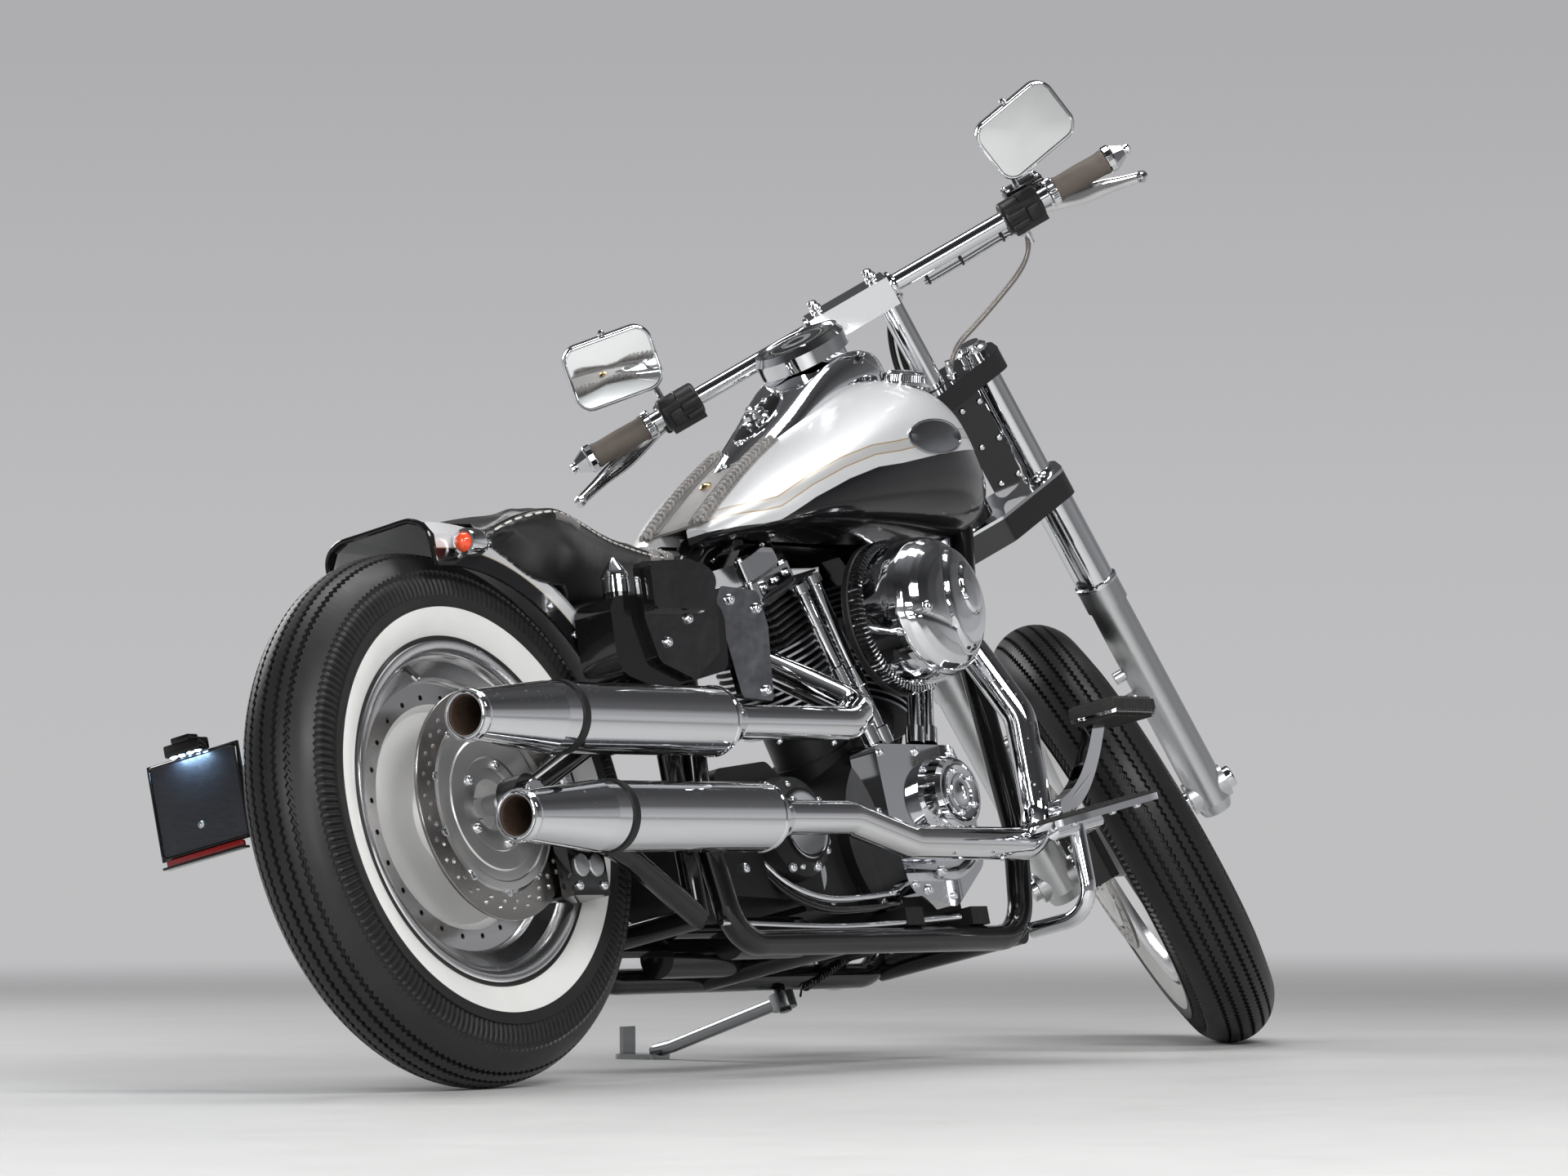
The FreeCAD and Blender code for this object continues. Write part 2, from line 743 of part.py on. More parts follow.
case_half = d.case_half_width
gearbox_front = float(d.gearbox_front)
case_centre = (crank.x, -float(case_half), crank.z)
rail_top = rail_z + float(d.rail_radius) + float(d.seat_gap)
feet = [block(f"case_foot_{index}", (x, -rail - 12, rail_top), (x + 40, rail + 12, rail_top + 24))
        for index, x in enumerate((crank.x - 92, crank.x + 62))]
case = fused("crankcase_set", feet + [
    rod("crank_drum", d.case_radius, case_centre, (crank.x, float(case_half), crank.z)),
    block("case_sump", (crank.x - 108, -float(case_half) + 12, 176),
          (crank.x + 122, float(case_half) - 12, 300)),
    block("case_link", (gearbox_front + float(d.seat_gap), -70, 200), (crank.x - 88, 70, 330)),
    rod("primary_boss", 66, (crank.x, float(case_half) - 10, crank.z),
        (crank.x, float(d.primary_inner) - float(d.seat_gap), crank.z)),
    rod("rear_base", d.barrel_radius + 8, on_cylinder(-1, 0, 0, 60),
        on_cylinder(-1, 0, 0, d.barrel_base)),
    rod("front_base", d.barrel_radius + 8, on_cylinder(1, 0, 0, 60),
        on_cylinder(1, 0, 0, d.barrel_base)),
])
piece("crankcase", case)


def finned_cylinder(name, sign):
    """Barrel with round fins, then a head with square fins."""
    parts = [rod(name + "_barrel", d.barrel_radius, on_cylinder(sign, 0, 0, d.barrel_base),
                 on_cylinder(sign, 0, 0, d.fin_end))]
    count = int((float(d.fin_end) - float(d.fin_start)) / float(d.fin_pitch)) + 1
    for index in range(count):
        level = float(d.fin_start) + index * float(d.fin_pitch)
        if level < float(d.head_start):
            parts.append(rod(f"{name}_fin_{index}", d.fin_radius, on_cylinder(sign, 0, 0, level),
                             on_cylinder(sign, 0, 0, level + float(d.fin_wall))))
        else:
            reach = float(d.fin_radius)
            fin = block(f"{name}_fin_{index}", (-reach + 6, -reach - 6, level),
                        (reach - 6, reach + 6, level + float(d.fin_wall)))
            turned_place = Placement(crank, Rotation(Vector(0, 1, 0),
                                                     sign * float(d.cylinder_half_angle)))
            fin.Placement = turned_place.multiply(fin.Placement)
            parts.append(fin)
    head = block(name + "_head", (-52, -58, d.head_start), (52, 58, d.rocker_start))
    head.Placement = Placement(crank, Rotation(
        Vector(0, 1, 0), sign * float(d.cylinder_half_angle))).multiply(head.Placement)
    parts.append(head)
    return fused(name + "_set", parts)


piece("cylinders", grouped("cylinder_pair", [finned_cylinder("rear_cylinder", -1),
                                             finned_cylinder("front_cylinder", 1)]))


def rocker_cover(name, sign):
    """Two-step rounded cover on top of a head."""
    turn = Placement(crank, Rotation(Vector(0, 1, 0), sign * float(d.cylinder_half_angle)))
    half_length = d.rocker_half_length
    half_width = d.rocker_half_width
    low = plate(name + "_low", [
        (-half_length, -half_width, 14), (half_length, -half_width, 14),
        (half_length, half_width, 14), (-half_length, half_width, 14)], 26,
        turn.multiply(Placement(Vector(0, 0, float(d.rocker_start)), Rotation())))
    high = plate(name + "_high", [
        (-half_length + 8, -half_width + 8, 12), (half_length - 8, -half_width + 8, 12),
        (half_length - 8, half_width - 8, 12), (-half_length + 8, half_width - 8, 12)],
        d.rocker_top - d.rocker_start,
        turn.multiply(Placement(Vector(0, 0, float(d.rocker_start)), Rotation())))
    return fused(name + "_set", [low, high])


piece("rocker_covers", grouped("rocker_pair", [rocker_cover("rear_rocker", -1),
                                               rocker_cover("front_rocker", 1)]))

cam_face = -float(case_half)
cam_top = 412
cam_cover = plate("cam_plate", [
    (crank.x - 88, 300, 30), (crank.x - 68, 210, 30), (crank.x + 32, 190, 30),
    (crank.x + 117, 250, 30), (crank.x + 117, 350, 30),
    (crank.x + 92, cam_top, 12), (crank.x - 92, cam_top, 12)], d.cam_cover_depth, side_plane(cam_face))
cam_boss = turned("cam_boss", [
    (0, 0), (0, 56), (24, 50), (30, 46), (30, 40), (27, 38), (27, 0)],
    turn_axis((crank.x + 45, cam_face - float(d.cam_cover_depth), 340), (0, -1, 0)))
piece("cam_cover", fused("cam_cover_set", [cam_cover, cam_boss]))


def pushrods(name, sign):
    """A pair of pushrod tubes with their collars, from the cam cover up to one head."""
    tubes = []
    radius = d.pushrod_radius
    for index, shift in enumerate((-15, 15)):
        low = Vector(crank.x + sign * 50 + shift, cam_face - 22, cam_top)
        high = on_cylinder(sign, -sign * 10 + shift * 1.2, -float(d.fin_radius) - 21, d.rocker_start)
        steepness = (high - low).normalize().z
        low.z += (float(radius) + 4) * math.sqrt(1 - steepness ** 2) + float(d.seat_gap)
        length = (high - low).Length
        tubes.append(turned(f"{name}_{index}", [
            (0, 0), (0, radius + 4), (24, radius + 4), (26, radius), (84, radius), (86, radius + 2.5),
            (112, radius + 2.5), (114, radius), (length - 14, radius), (length - 12, radius + 4),
            (length, radius + 4), (length, 0)], turn_axis(low, high - low)))
    return tubes


piece("pushrod_tubes", grouped("pushrod_set", pushrods("rear_pushrod", -1)
                               + pushrods("front_pushrod", 1)))

cleaner_centre = (crank.x - 2, -float(d.air_cleaner_inner), float(d.air_cleaner_height))
cleaner = turned("air_cleaner_body", [
    (0, 0), (0, d.air_cleaner_radius + 8), (6, d.air_cleaner_radius + 8),
    (8, d.air_cleaner_radius), (d.air_cleaner_depth - 50, d.air_cleaner_radius),
    (d.air_cleaner_depth - 22, d.air_cleaner_radius - 8),
    (d.air_cleaner_depth - 8, d.air_cleaner_radius - 24), (d.air_cleaner_depth, 48),
    (d.air_cleaner_depth + 4, 0)],
    turn_axis(cleaner_centre, (0, -1, 0)))
intake = rod("air_intake", 30, (crank.x - 2, -78, float(d.air_cleaner_height)),
             (crank.x - 2, -float(d.air_cleaner_inner), float(d.air_cleaner_height)))
inlet_z = float(d.air_cleaner_height)
throttle = rod("air_throttle", 21, (crank.x, -80, inlet_z), (crank.x, 10, inlet_z))
runner = rod("air_runner", 12, (crank.x - 32, 0, inlet_z), (crank.x + 32, 0, inlet_z))
piece("air_cleaner", fused("air_cleaner_set", [cleaner, intake, throttle, runner]))

gear_half = float(d.gearbox_right)
gearbox = plate("gearbox_side", [
    (425, 215, 20), (gearbox_front, 205, 20), (gearbox_front, 330, 20), (560, 392, 20), (440, 380, 20)],
    d.gearbox_right + d.gearbox_left, side_plane(d.gearbox_left))
end_cover = turned("gearbox_end", [(0, 0), (0, 70), (22, 66), (32, 50), (34, 0)],
                   turn_axis((575, -gear_half, 300), (0, -1, 0)))
sprocket = rod("front_sprocket", 43.5, (560, float(d.gearbox_left) - 2, 310),
               (560, float(d.primary_inner) - 6, 310))
piece("transmission", fused("gearbox_set", [gearbox, end_cover, sprocket]))

primary_inner = float(d.primary_inner)
primary = plate("primary_side", [
    (452, 215, 80), (crank.x + 107, 205, 90), (crank.x + 107, 395, 90), (452, 405, 90)], d.primary_depth,
    side_plane(primary_inner + float(d.primary_depth)))
derby = turned("primary_derby", [(0, 0), (0, 74), (10, 72), (16, 60), (18, 0)],
               turn_axis((545, primary_inner + float(d.primary_depth), 310), (0, 1, 0)))
front_dome = turned("primary_dome", [(0, 0), (0, 80), (12, 72), (18, 50), (20, 0)],
                    turn_axis((crank.x, primary_inner + float(d.primary_depth), 300), (0, 1, 0)))
piece("primary_cover", fused("primary_set", [primary, derby, front_dome]))

# Exhaust
out = -float(d.muffler_offset)
upper_z = float(d.upper_height)
lower_z = float(d.lower_height)
pipes = []
port_y = -float(d.fin_radius) - 6.3
port_reach = float(d.fin_radius) - 5.7
rear_port = on_cylinder(-1, -port_reach, -36, 322)
rear_elbow = on_cylinder(-1, -port_reach - 44, -36, 322)
rear_pipe = bent_tube([rear_port, rear_elbow, (664, -196, 440), (600, out, upper_z + 13),
                       (310, out, upper_z + 12)], [30, 36, 60], d.pipe_radius)
front_pipe = bent_tube([(crank.x + 156, port_y, 556), (crank.x + 156, -140, 556),
                        (crank.x + 184, -186, 440), (crank.x + 176, -189, 262),
                        (700, -205, 262), (560, out, lower_z), (380, out, lower_z)],
                       [34, 60, 60, 60, 60], d.pipe_radius)
piece("exhaust_pipes", grouped("pipe_pair", [shaped("rear_pipe", rear_pipe),
                                             shaped("front_pipe", front_pipe)]))


def muffler(name, rear, front, height):
    """Straight muffler with a tapered, rolled and hollow tip."""
    length = front - rear
    return turned(name, [
        (0, d.muffler_tip_bore), (0, d.muffler_tip_radius), (8, d.muffler_tip_radius + 2),
        (14, d.muffler_tip_radius), (150, d.muffler_radius), (length - 34, d.muffler_radius),
        (length, d.shield_radius + 2), (length, d.pipe_radius + 0.3),
        (length - 30, d.pipe_radius + 0.3), (length - 30, d.muffler_radius - 8),
        (160, d.muffler_radius - 8), (24, d.muffler_tip_bore)],
        turn_axis((rear, out, height), (1, 0, 0)))


piece("mufflers", grouped("muffler_pair", [
    muffler("upper_muffler", -199, 340, upper_z + 12),
    muffler("lower_muffler", -135, 405, lower_z)]))

# Tank and its dressing
def oval_ring(x, half_width, low, middle, high, slope=0.0, roundness=(2.4, 3.0), count=24):
    """A ring of points, widest at middle, rounder above it than below, its top sloped back."""
    ring = []
    for index in range(count):
        angle = -90 + 360 * index / count
        power = 2 / (roundness[0] if sin(angle) > 0 else roundness[1])
        across = math.copysign(abs(cos(angle)) ** power, cos(angle)) * half_width
        rise = abs(sin(angle)) ** power
        up = middle + (high - middle) * rise if sin(angle) > 0 else middle - (middle - low) * rise
        ring.append((x - slope * (up - middle), across, up))
    return ring


tank_half = float(d.tank_half_width)
TANK_RINGS = (
    (596, 0.32, 702, 710, 722, 0), (612, 0.46, 700, 714, 736, 0), (650, 0.63, 699, 724, 762, 0),
    (720, 0.81, 700, 744, 806, 0), (800, 0.92, 700, 768, 850, 0), (890, 0.98, 702, 794, 893, 0.05),
    (980, 1.0, 706, 816, 928, 0.15), (1060, 0.97, 713, 828, 944, 0.3),
    (1118, 0.86, 725, 838, 946, 0.45), (1156, 0.68, 748, 846, 932, 0.55),
    (1178, 0.44, 788, 852, 904, 0.55))


def tank_form(skin=0.0, last=len(TANK_RINGS)):
    """The tank's outer form, grown by skin."""
    return skinned([oval_ring(x - (skin if index == 0 else 0), tank_half * share + skin, low - skin,
                              middle, high + skin, slope)
                    for index, (x, share, low, middle, high, slope) in enumerate(TANK_RINGS[:last])])


tank_loft = tank_form()
tunnel_half = float(d.backbone_radius) + float(d.seat_gap)
tank_cut = block("tank_tunnel", (560, -tunnel_half, 640), (1260, tunnel_half, 815))


def lock_room(name, angle):
    """The space the fork clamps and tubes need at one steering lock."""
    turned_fork = STEERING.multiply(Placement(Vector(), Rotation(Vector(0, 0, 1), angle)))
    spare = float(d.lock_clearance)
    clamp_room = plate(name + "_clamp", [
        (leg_forward - 32 - spare, -gap - 32 - spare), (leg_forward + 20, -gap - 32 - spare),
        (leg_forward + 20, gap + 32 + spare), (leg_forward - 32 - spare, gap + 32 + spare),
        (-34 - spare, 44 + spare), (-34 - spare, -44 - spare)],
        d.clamp_upper_top - d.clamp_upper + 2 * spare,
        turned_fork.multiply(Placement(Vector(0, 0, float(d.clamp_upper) - spare), Rotation())))
    rooms = [clamp_room]
    for side in (-1, 1):
        tube_room = leg_rod(f"{name}_tube_{side}", side, d.fork_tube_radius + spare,
                            d.clamp_lower, d.fork_top + 20)
        tube_room.Placement = turned_fork.multiply(tube_room.Placement)
        rooms.append(tube_room)
    return rooms


tank_room = block("tank_rocker_room", (crank.x - 228, -66, 640), (crank.x + 132, 66, 724))
piece("fuel_tank", carved("tank_body", shaped("tank_form", tank_loft), [
    tank_cut, tank_room, backbone_tube("tank_backbone_room", d.seat_gap)]
    + lock_room("left_lock", float(d.steer_angle)) + lock_room("right_lock", -float(d.steer_angle))))


def console_section(x, half_width, low, high):
    """One rounded cross-section of the console, its lower part inside the tank's top."""
    return [(x, 0, high), (x, half_width * 0.7, high - 4), (x, half_width, high - 16),
            (x, half_width * 0.8, low), (x, -half_width * 0.8, low),
            (x, -half_width, high - 16), (x, -half_width * 0.7, high - 4)]


console_loft = skinned([
    console_section(668, 20, 746, 766), console_section(760, 38, 800, 838),
    console_section(860, 52, 860, 908), console_section(960, 62, 905, 974),
    console_section(1060, 60, 920, 992), console_section(1120, 30, 920, 979)])
dial_place = Placement(Vector(978, 0, 988), Rotation(Vector(0, 1, 0), -26))
dial = turned("dial_bezel", [(0, 0), (0, d.dial_radius + 6), (20, d.dial_radius + 6), (30, d.dial_radius),
                             (30, d.dial_radius - 4), (24, d.dial_radius - 6), (24, 0)],
              dial_place.multiply(turn_axis((0, 0, -4), (0, 0, 1))))
console = carved("console_body", fused("console_solid", [shaped("console_form", console_loft), dial]),
                 [shaped("tank_form_copy", tank_loft.copy())])
piece("dash_console", console)

caps = [turned(f"tank_cap_{name}", [(0, 0), (0, d.cap_radius + 3), (4, d.cap_radius + 3),
                                    (4, d.cap_radius), (16, d.cap_radius - 2), (19, 24), (20, 0)],
               Placement(Vector(1062, side * 98, 926), Rotation(Vector(1, 0, 0), -side * 18))
               .multiply(turn_axis((0, 0, 0), (0, 0, 1))))
        for name, side in (("left", 1), ("right", -1))]
piece("filler_caps", carved("caps_seated", grouped("cap_pair", caps),
                            [shaped("tank_form_for_caps", tank_loft.copy())]))

strap_wall = float(d.strap_wall)
strap_loft = tank_form(strap_wall, 7)
strap_band = block("strap_band", (600, -d.strap_half_width, 715), (806, d.strap_half_width, 900))
strap = doc.addObject("Part::Common", "strap_slice")
strap.Base = shaped("strap_form", strap_loft)
strap.Tool = strap_band
piece("tank_strap", carved("strap_body", strap,
                           [shaped("tank_form_for_strap", tank_loft.copy()),
                            shaped("console_form_for_strap", console_loft.copy())]))


def seat_section(x, half_width, low, middle, edge):
    """One cross-section of the saddle: dished in the middle, raised at its edges."""
    return [
        (x, 0, middle), (x, half_width * 0.5, middle + (edge - middle) * 0.3),
        (x, half_width * 0.86, edge), (x, half_width, edge - 14),
        (x, half_width * 0.97, low + 10), (x, half_width * 0.7, low), (x, 0, low),
        (x, -half_width * 0.7, low), (x, -half_width * 0.97, low + 10),
        (x, -half_width, edge - 14), (x, -half_width * 0.86, edge),
        (x, -half_width * 0.5, middle + (edge - middle) * 0.3)]


seat_loft = skinned([
    seat_section(46, 92, 656, 714, 692), seat_section(100, 122, 642, 716, 708),
    seat_section(160, 142, 618, 704, 716), seat_section(240, 124, 602, 680, 707),
    seat_section(310, 106, 604, 666, 695), seat_section(380, 92, 612, 662, 688),
    seat_section(450, 80, 628, 672, 684), seat_section(505, 68, 646, 692, 686),
    seat_section(550, 52, 666, 705, 696)])
fender_room = rod("seat_fender_room", d.fender_radius + d.seat_gap,
                  (0, -float(d.fender_half_width) - 0.3, axle_z), (0, float(d.fender_half_width) + 0.3, axle_z))
piece("seat", carved("seat_body", shaped("seat_form", seat_loft), [fender_room]))

# Rear fender: its section swept about the axle
fender_out = d.fender_radius
fender_in = d.fender_radius - d.fender_wall
half_fender = d.fender_half_width
skirt = d.fender_radius - d.fender_skirt
fender = turned("fender_body", [
    (-half_fender, skirt), (-half_fender, fender_out - 26), (-half_fender + 12, fender_out - 8),
    (-half_fender + 32, fender_out), (half_fender - 32, fender_out), (half_fender - 12, fender_out - 8),
    (half_fender, fender_out - 26), (half_fender, skirt),
    (half_fender - d.fender_wall, skirt), (half_fender - d.fender_wall, fender_in - 26),
    (half_fender - 15, fender_in - 8), (half_fender - 34, fender_in), (-half_fender + 34, fender_in),
    (-half_fender + 15, fender_in - 8), (-half_fender + d.fender_wall, fender_in - 26),
    (-half_fender + d.fender_wall, skirt)],
    Placement(), d.fender_end - d.fender_start)
fender.Placement = Placement(Vector(0, 0, float(d.tyre_radius)), Rotation(
    Vector(0, 1, 0), 180 - float(d.fender_end))).multiply(Placement(Vector(), Rotation(
        Vector(0, 0, 1), 90)))
piece("rear_fender", fender)

# Steering
stem = rod("stem", d.stem_radius, (0, 0, float(d.clamp_lower)), (0, 0, float(d.clamp_upper_top)))
risers = [rod(f"riser_{side}", 17, (float(d.bar_forward), side * 50, float(d.clamp_upper_top) - 4),
              (float(d.bar_forward), side * 50, float(d.bar_height) - 22)) for side in (-1, 1)]
riser_clamp = block("riser_clamp", (d.bar_forward - 21, -62, d.bar_height - 24),
                    (d.bar_forward + 21, 62, d.bar_height + 19))
bar_bore = rod("bar_bore", d.bar_radius, (float(d.bar_forward), -90, float(d.bar_height)),
               (float(d.bar_forward), 90, float(d.bar_height)))
races = [rod(f"race_{name}", d.neck_bore_radius - d.seat_gap, (0, 0, low), (0, 0, high))
         for name, low, high in (("low", float(d.clamp_lower_top) - 4, float(d.neck_low) + 16),
                                 ("high", float(d.neck_high) - 16, float(d.clamp_upper) + 4))]
clamps = carved("clamps_set", fused("clamps_all", [
    clamp("lower_clamp", d.clamp_lower, d.clamp_lower_top, 26),
    clamp("upper_clamp", d.clamp_upper, d.clamp_upper_top, 20), stem, riser_clamp] + risers + races),
    [leg_rod(f"tube_hole_{side}", side, d.fork_tube_radius, 400, 800) for side in (-1, 1)]
    + [bar_bore])
piece("fork_clamps", clamps, "steering")

tubes = [fused(f"tube_set_{side}", [
    leg_rod(f"tube_{side}", side, d.fork_tube_radius, d.slider_top, d.fork_top),
    leg_rod(f"tube_cap_{side}", side, 15, d.fork_top, d.fork_top + 9)]) for side in (-1, 1)]
piece("fork_tubes", grouped("tube_pair", tubes), "steering")


def slider(side):
    """Lower leg with its collar, fender boss, axle lug and drain screw."""
    name = "left" if side > 0 else "right"
    body = fused(name + "_slider_all", [
        leg_rod(name + "_slider_leg", side, d.slider_radius, -18, d.slider_top),
        leg_rod(name + "_slider_collar", side, d.collar_radius, d.slider_top - 34, d.slider_top),
        cone(name + "_slider_foot", d.slider_radius, 22, (leg_forward, side * gap, -18),
             (leg_forward, side * gap, -34)),
        rod(name + "_axle_lug", 24, (float(fork_offset), side * (gap - 30), 0),
            (float(fork_offset), side * (gap + 30), 0)),
        rod(name + "_boss_low", 9, (leg_forward, side * gap, 176), (leg_forward, side * (gap - 42), 176)),
        rod(name + "_boss_high", 9, (leg_forward, side * gap, 214), (leg_forward, side * (gap - 42), 214)),
    ])
    hole = rod(name + "_axle_hole", d.front_axle_radius, (float(fork_offset), side * (gap - 40), 0),
               (float(fork_offset), side * (gap + 40), 0))
    return carved(name + "_slider_set", body, [hole])


piece("fork_sliders", grouped("slider_pair", [slider(1), slider(-1)]), "steering")


def cover(side):
    """Bright sleeve over the tube between the lower clamp and the slider."""
    outer = leg_rod(f"cover_{side}", side, d.fork_tube_radius + 8, d.slider_top, d.clamp_lower)
    bore = leg_rod(f"cover_bore_{side}", side, d.fork_tube_radius, d.slider_top - 5, d.clamp_lower + 5)
    return carved(f"cover_set_{side}", outer, [bore])


piece("fork_covers", grouped("cover_pair", [cover(1), cover(-1)]), "steering")

panels = [plate(f"panel_{side}", [
    (side * 56, d.clamp_lower_top + d.seat_gap, 12), (side * (gap - 22), d.clamp_lower_top + 12, 26),
    (side * (gap - 22), d.clamp_upper - d.seat_gap, 12), (side * 56, d.clamp_upper - d.seat_gap, 12)], 3,
    Placement(Vector(27, 0, 0), Rotation(Vector(1, 1, 1), 120))) for side in (-1, 1)]
piece("fork_panels", grouped("panel_pair", panels), "steering")

front_axle = turned("front_axle_body", [
    (-gap - 42, 0), (-gap - 42, 16, 3), (-gap - 30.3, 16), (-gap - 30.3, d.front_axle_radius),
    (gap + 30.3, d.front_axle_radius), (gap + 30.3, 16), (gap + 42, 16, 3), (gap + 42, 0)],
    turn_axis((float(fork_offset), 0, 0), (0, 1, 0)))
piece("front_axle", front_axle, "steering")

lamp = turned("headlight_shell", [
    (0, 0), (0, 20), (12, 48), (40, 74), (78, 88), (104, 92), (112, 92, 3), (112, 84), (106, 80), (98, 0)],
    turn_axis((62, 0, 612), (1, 0, 0)))
lamp_post = block("lamp_post", (56, -16, d.clamp_lower_top + d.seat_gap), (96, 16, 600))
piece("headlight", fused("headlight_set", [lamp, lamp_post]), "steering")

bar_f = float(d.bar_forward)
bar_z = float(d.bar_height)
bar_end = float(d.bar_end)
grip_in = float(d.grip_inner)
grip_out = float(d.grip_outer)
piece("handlebar", rod("bar_tube", d.bar_radius, (bar_f, -grip_out, bar_z), (bar_f, grip_out, bar_z)),
      "steering")


def grip(side):
    """Ribbed rubber grip with a bright collar and a pointed bright end."""
    name = "left" if side > 0 else "right"
    return turned(name + "_grip", [
        (grip_in, d.bar_radius), (grip_in, d.grip_radius + 4, 2), (grip_in + 12, d.grip_radius + 4, 2),
        (grip_in + 12, d.grip_radius), (grip_out, d.grip_radius), (grip_out, d.grip_radius + 3),
        (grip_out + 12, d.grip_radius + 3), (bar_end - 8, 9), (bar_end, 6), (bar_end, 0), (grip_out, 0),
        (grip_out, d.bar_radius)], turn_axis((bar_f, 0, bar_z), (0, side, 0)))


piece("grips", grouped("grip_pair", [grip(1), grip(-1)]), "steering")


def controls(side):
    """Switch housing and master cylinder clamped round the bar."""
    name = "left" if side > 0 else "right"
    housing = turned(name + "_switch", [
        (246, d.bar_radius), (246, 24, 5), (304, 24, 5), (304, d.bar_radius)],
        turn_axis((bar_f, 0, bar_z), (0, side, 0)))
    low = min(side * 250, side * 300)
    switch_box = block(name + "_switch_box", (bar_f - 34, low, bar_z - 22), (bar_f - 13, low + 50, bar_z + 16))
    return fused(name + "_controls", [housing, switch_box])


piece("switch_housings", grouped("switch_pair", [controls(1), controls(-1)]), "steering")


def lever(side):
    """Hand lever with its clamp and reservoir ahead of the grip."""
    name = "left" if side > 0 else "right"
    reach = float(d.lever_gap)
    tip = (bar_f + reach - 2, side * (bar_end + 5), bar_z - 62)
    blade = bent_tube([(bar_f + 46, side * 288, bar_z - 24), (bar_f + reach - 12, side * 335, bar_z - 30),
                       (bar_f + reach - 4, side * (bar_end - 51), bar_z - 46), tip], [60, 60], 6.5)
    parts = [shaped(name + "_blade", blade), ball(name + "_blade_tip", 9.5, tip),
             rod(name + "_pivot", 10, (bar_f + 46, side * 288, bar_z - 38),
                 (bar_f + 46, side * 288, bar_z + 4))]
    low = min(side * 268, side * 306)
    parts.append(block(name + "_perch", (bar_f + 24.3, low, bar_z - 34),
                       (bar_f + 59, low + 38, bar_z + 6)))
    reservoir = block(name + "_reservoir", (bar_f + 24.3, low - 22, bar_z - 6), (bar_f + 62, low + 38, bar_z + 24))
    if side < 0:
        parts.append(reservoir)
    return fused(name + "_lever_set", parts)


piece("hand_levers", grouped("lever_pair", [lever(1), lever(-1)]), "steering")


def mirror(side):
    """Rounded mirror on a bent stem."""
    name = "left" if side > 0 else "right"
    foot = bar_z + (24.3 if side < 0 else 6.3)
    stem_path = bent_tube([(bar_f + 33, side * 290, foot), (bar_f + 33, side * 290, bar_z + 38),
                           (bar_f - 4, side * 302, bar_z + 66)], [14], 5.5)
    glass = plate(name + "_mirror_glass", [
        (side * across, up, 24) for across, up in ((-56, -59), (72, -36), (56, 59), (-72, 36))], 16,
        Placement(Vector(bar_f - 10, side * 331, bar_z + 98), Rotation(Vector(1, 1, 1), 120)))
    return fused(name + "_mirror_set", [shaped(name + "_mirror_stem", stem_path), glass])


piece("mirrors", grouped("mirror_pair", [mirror(1), mirror(-1)]), "steering")


def rotor_room(name, centre, across):
    """The space a brake disc turns in."""
    half = float(d.rotor_wall) / 2 + 6
    middle = across - float(d.rotor_wall) / 2
    return rod(name, float(d.rotor_radius) + 6, centre + Vector(0, middle - half, 0),
               centre + Vector(0, middle + half, 0))


caliper_y = float(d.rotor_offset) - float(d.rotor_wall) / 2
caliper = block("front_caliper_block", (float(fork_offset) - 172, caliper_y - 15, 20),
                (float(fork_offset) - 92, caliper_y + 26, 96))
caliper_arm = block("front_caliper_arm", (float(fork_offset) - 110, caliper_y + 14, 60),
                    (float(fork_offset) - 8, caliper_y + 32, 90))
piece("front_caliper", carved("front_caliper_set", fused("front_caliper_all", [caliper, caliper_arm]), [
    rotor_room("front_rotor_room", Vector(float(fork_offset), 0, 0), float(d.rotor_offset)),
    leg_rod("caliper_leg_room", 1, d.slider_radius + 0.3, -40, 120)]), "steering")

# Hoses that ride with the bar
hose_radius = 4
brake_line = bent_tube([(bar_f + 42, -273, bar_z - 34.3), (bar_f + 42, -273, bar_z - 74),
                        (bar_f + 16, -170, bar_z - 108), (6, -84, bar_z - 126),
                        (6, -78, float(d.clamp_upper_top) + 0.8)], [30, 60, 14], hose_radius)
piece("brake_line", shaped("brake_line_tube", brake_line), "steering")

# Saddle tank, electrical cover and post plates
oil = plate("oil_side", [(215, 492, 30), (300, 470, 30), (452, 500, 24), (466, 590, 24), (330, 596, 20),
                         (222, 590, 26)], 300, side_plane(150))
oil_hollow = rod("oil_hollow", d.fender_radius + d.seat_gap, (0, -92, float(d.tyre_radius)),
                 (0, 92, float(d.tyre_radius)))
oil_mid = block("oil_mid_room", (372, -92, 480), (480, 92, 640))
oil_cap = turned("oil_filler", [(0, 0), (0, 17), (46, 17), (64, 12), (78, 0)],
                 turn_axis((262, -131, 568), (0.12, 0, 1)))
piece("oil_tank", fused("oil_all", [carved("oil_form", oil, [
    oil_hollow, oil_mid, cradle_tube("oil_left_room", 1, d.seat_gap),
    cradle_tube("oil_right_room", -1, d.seat_gap)]), oil_cap]))

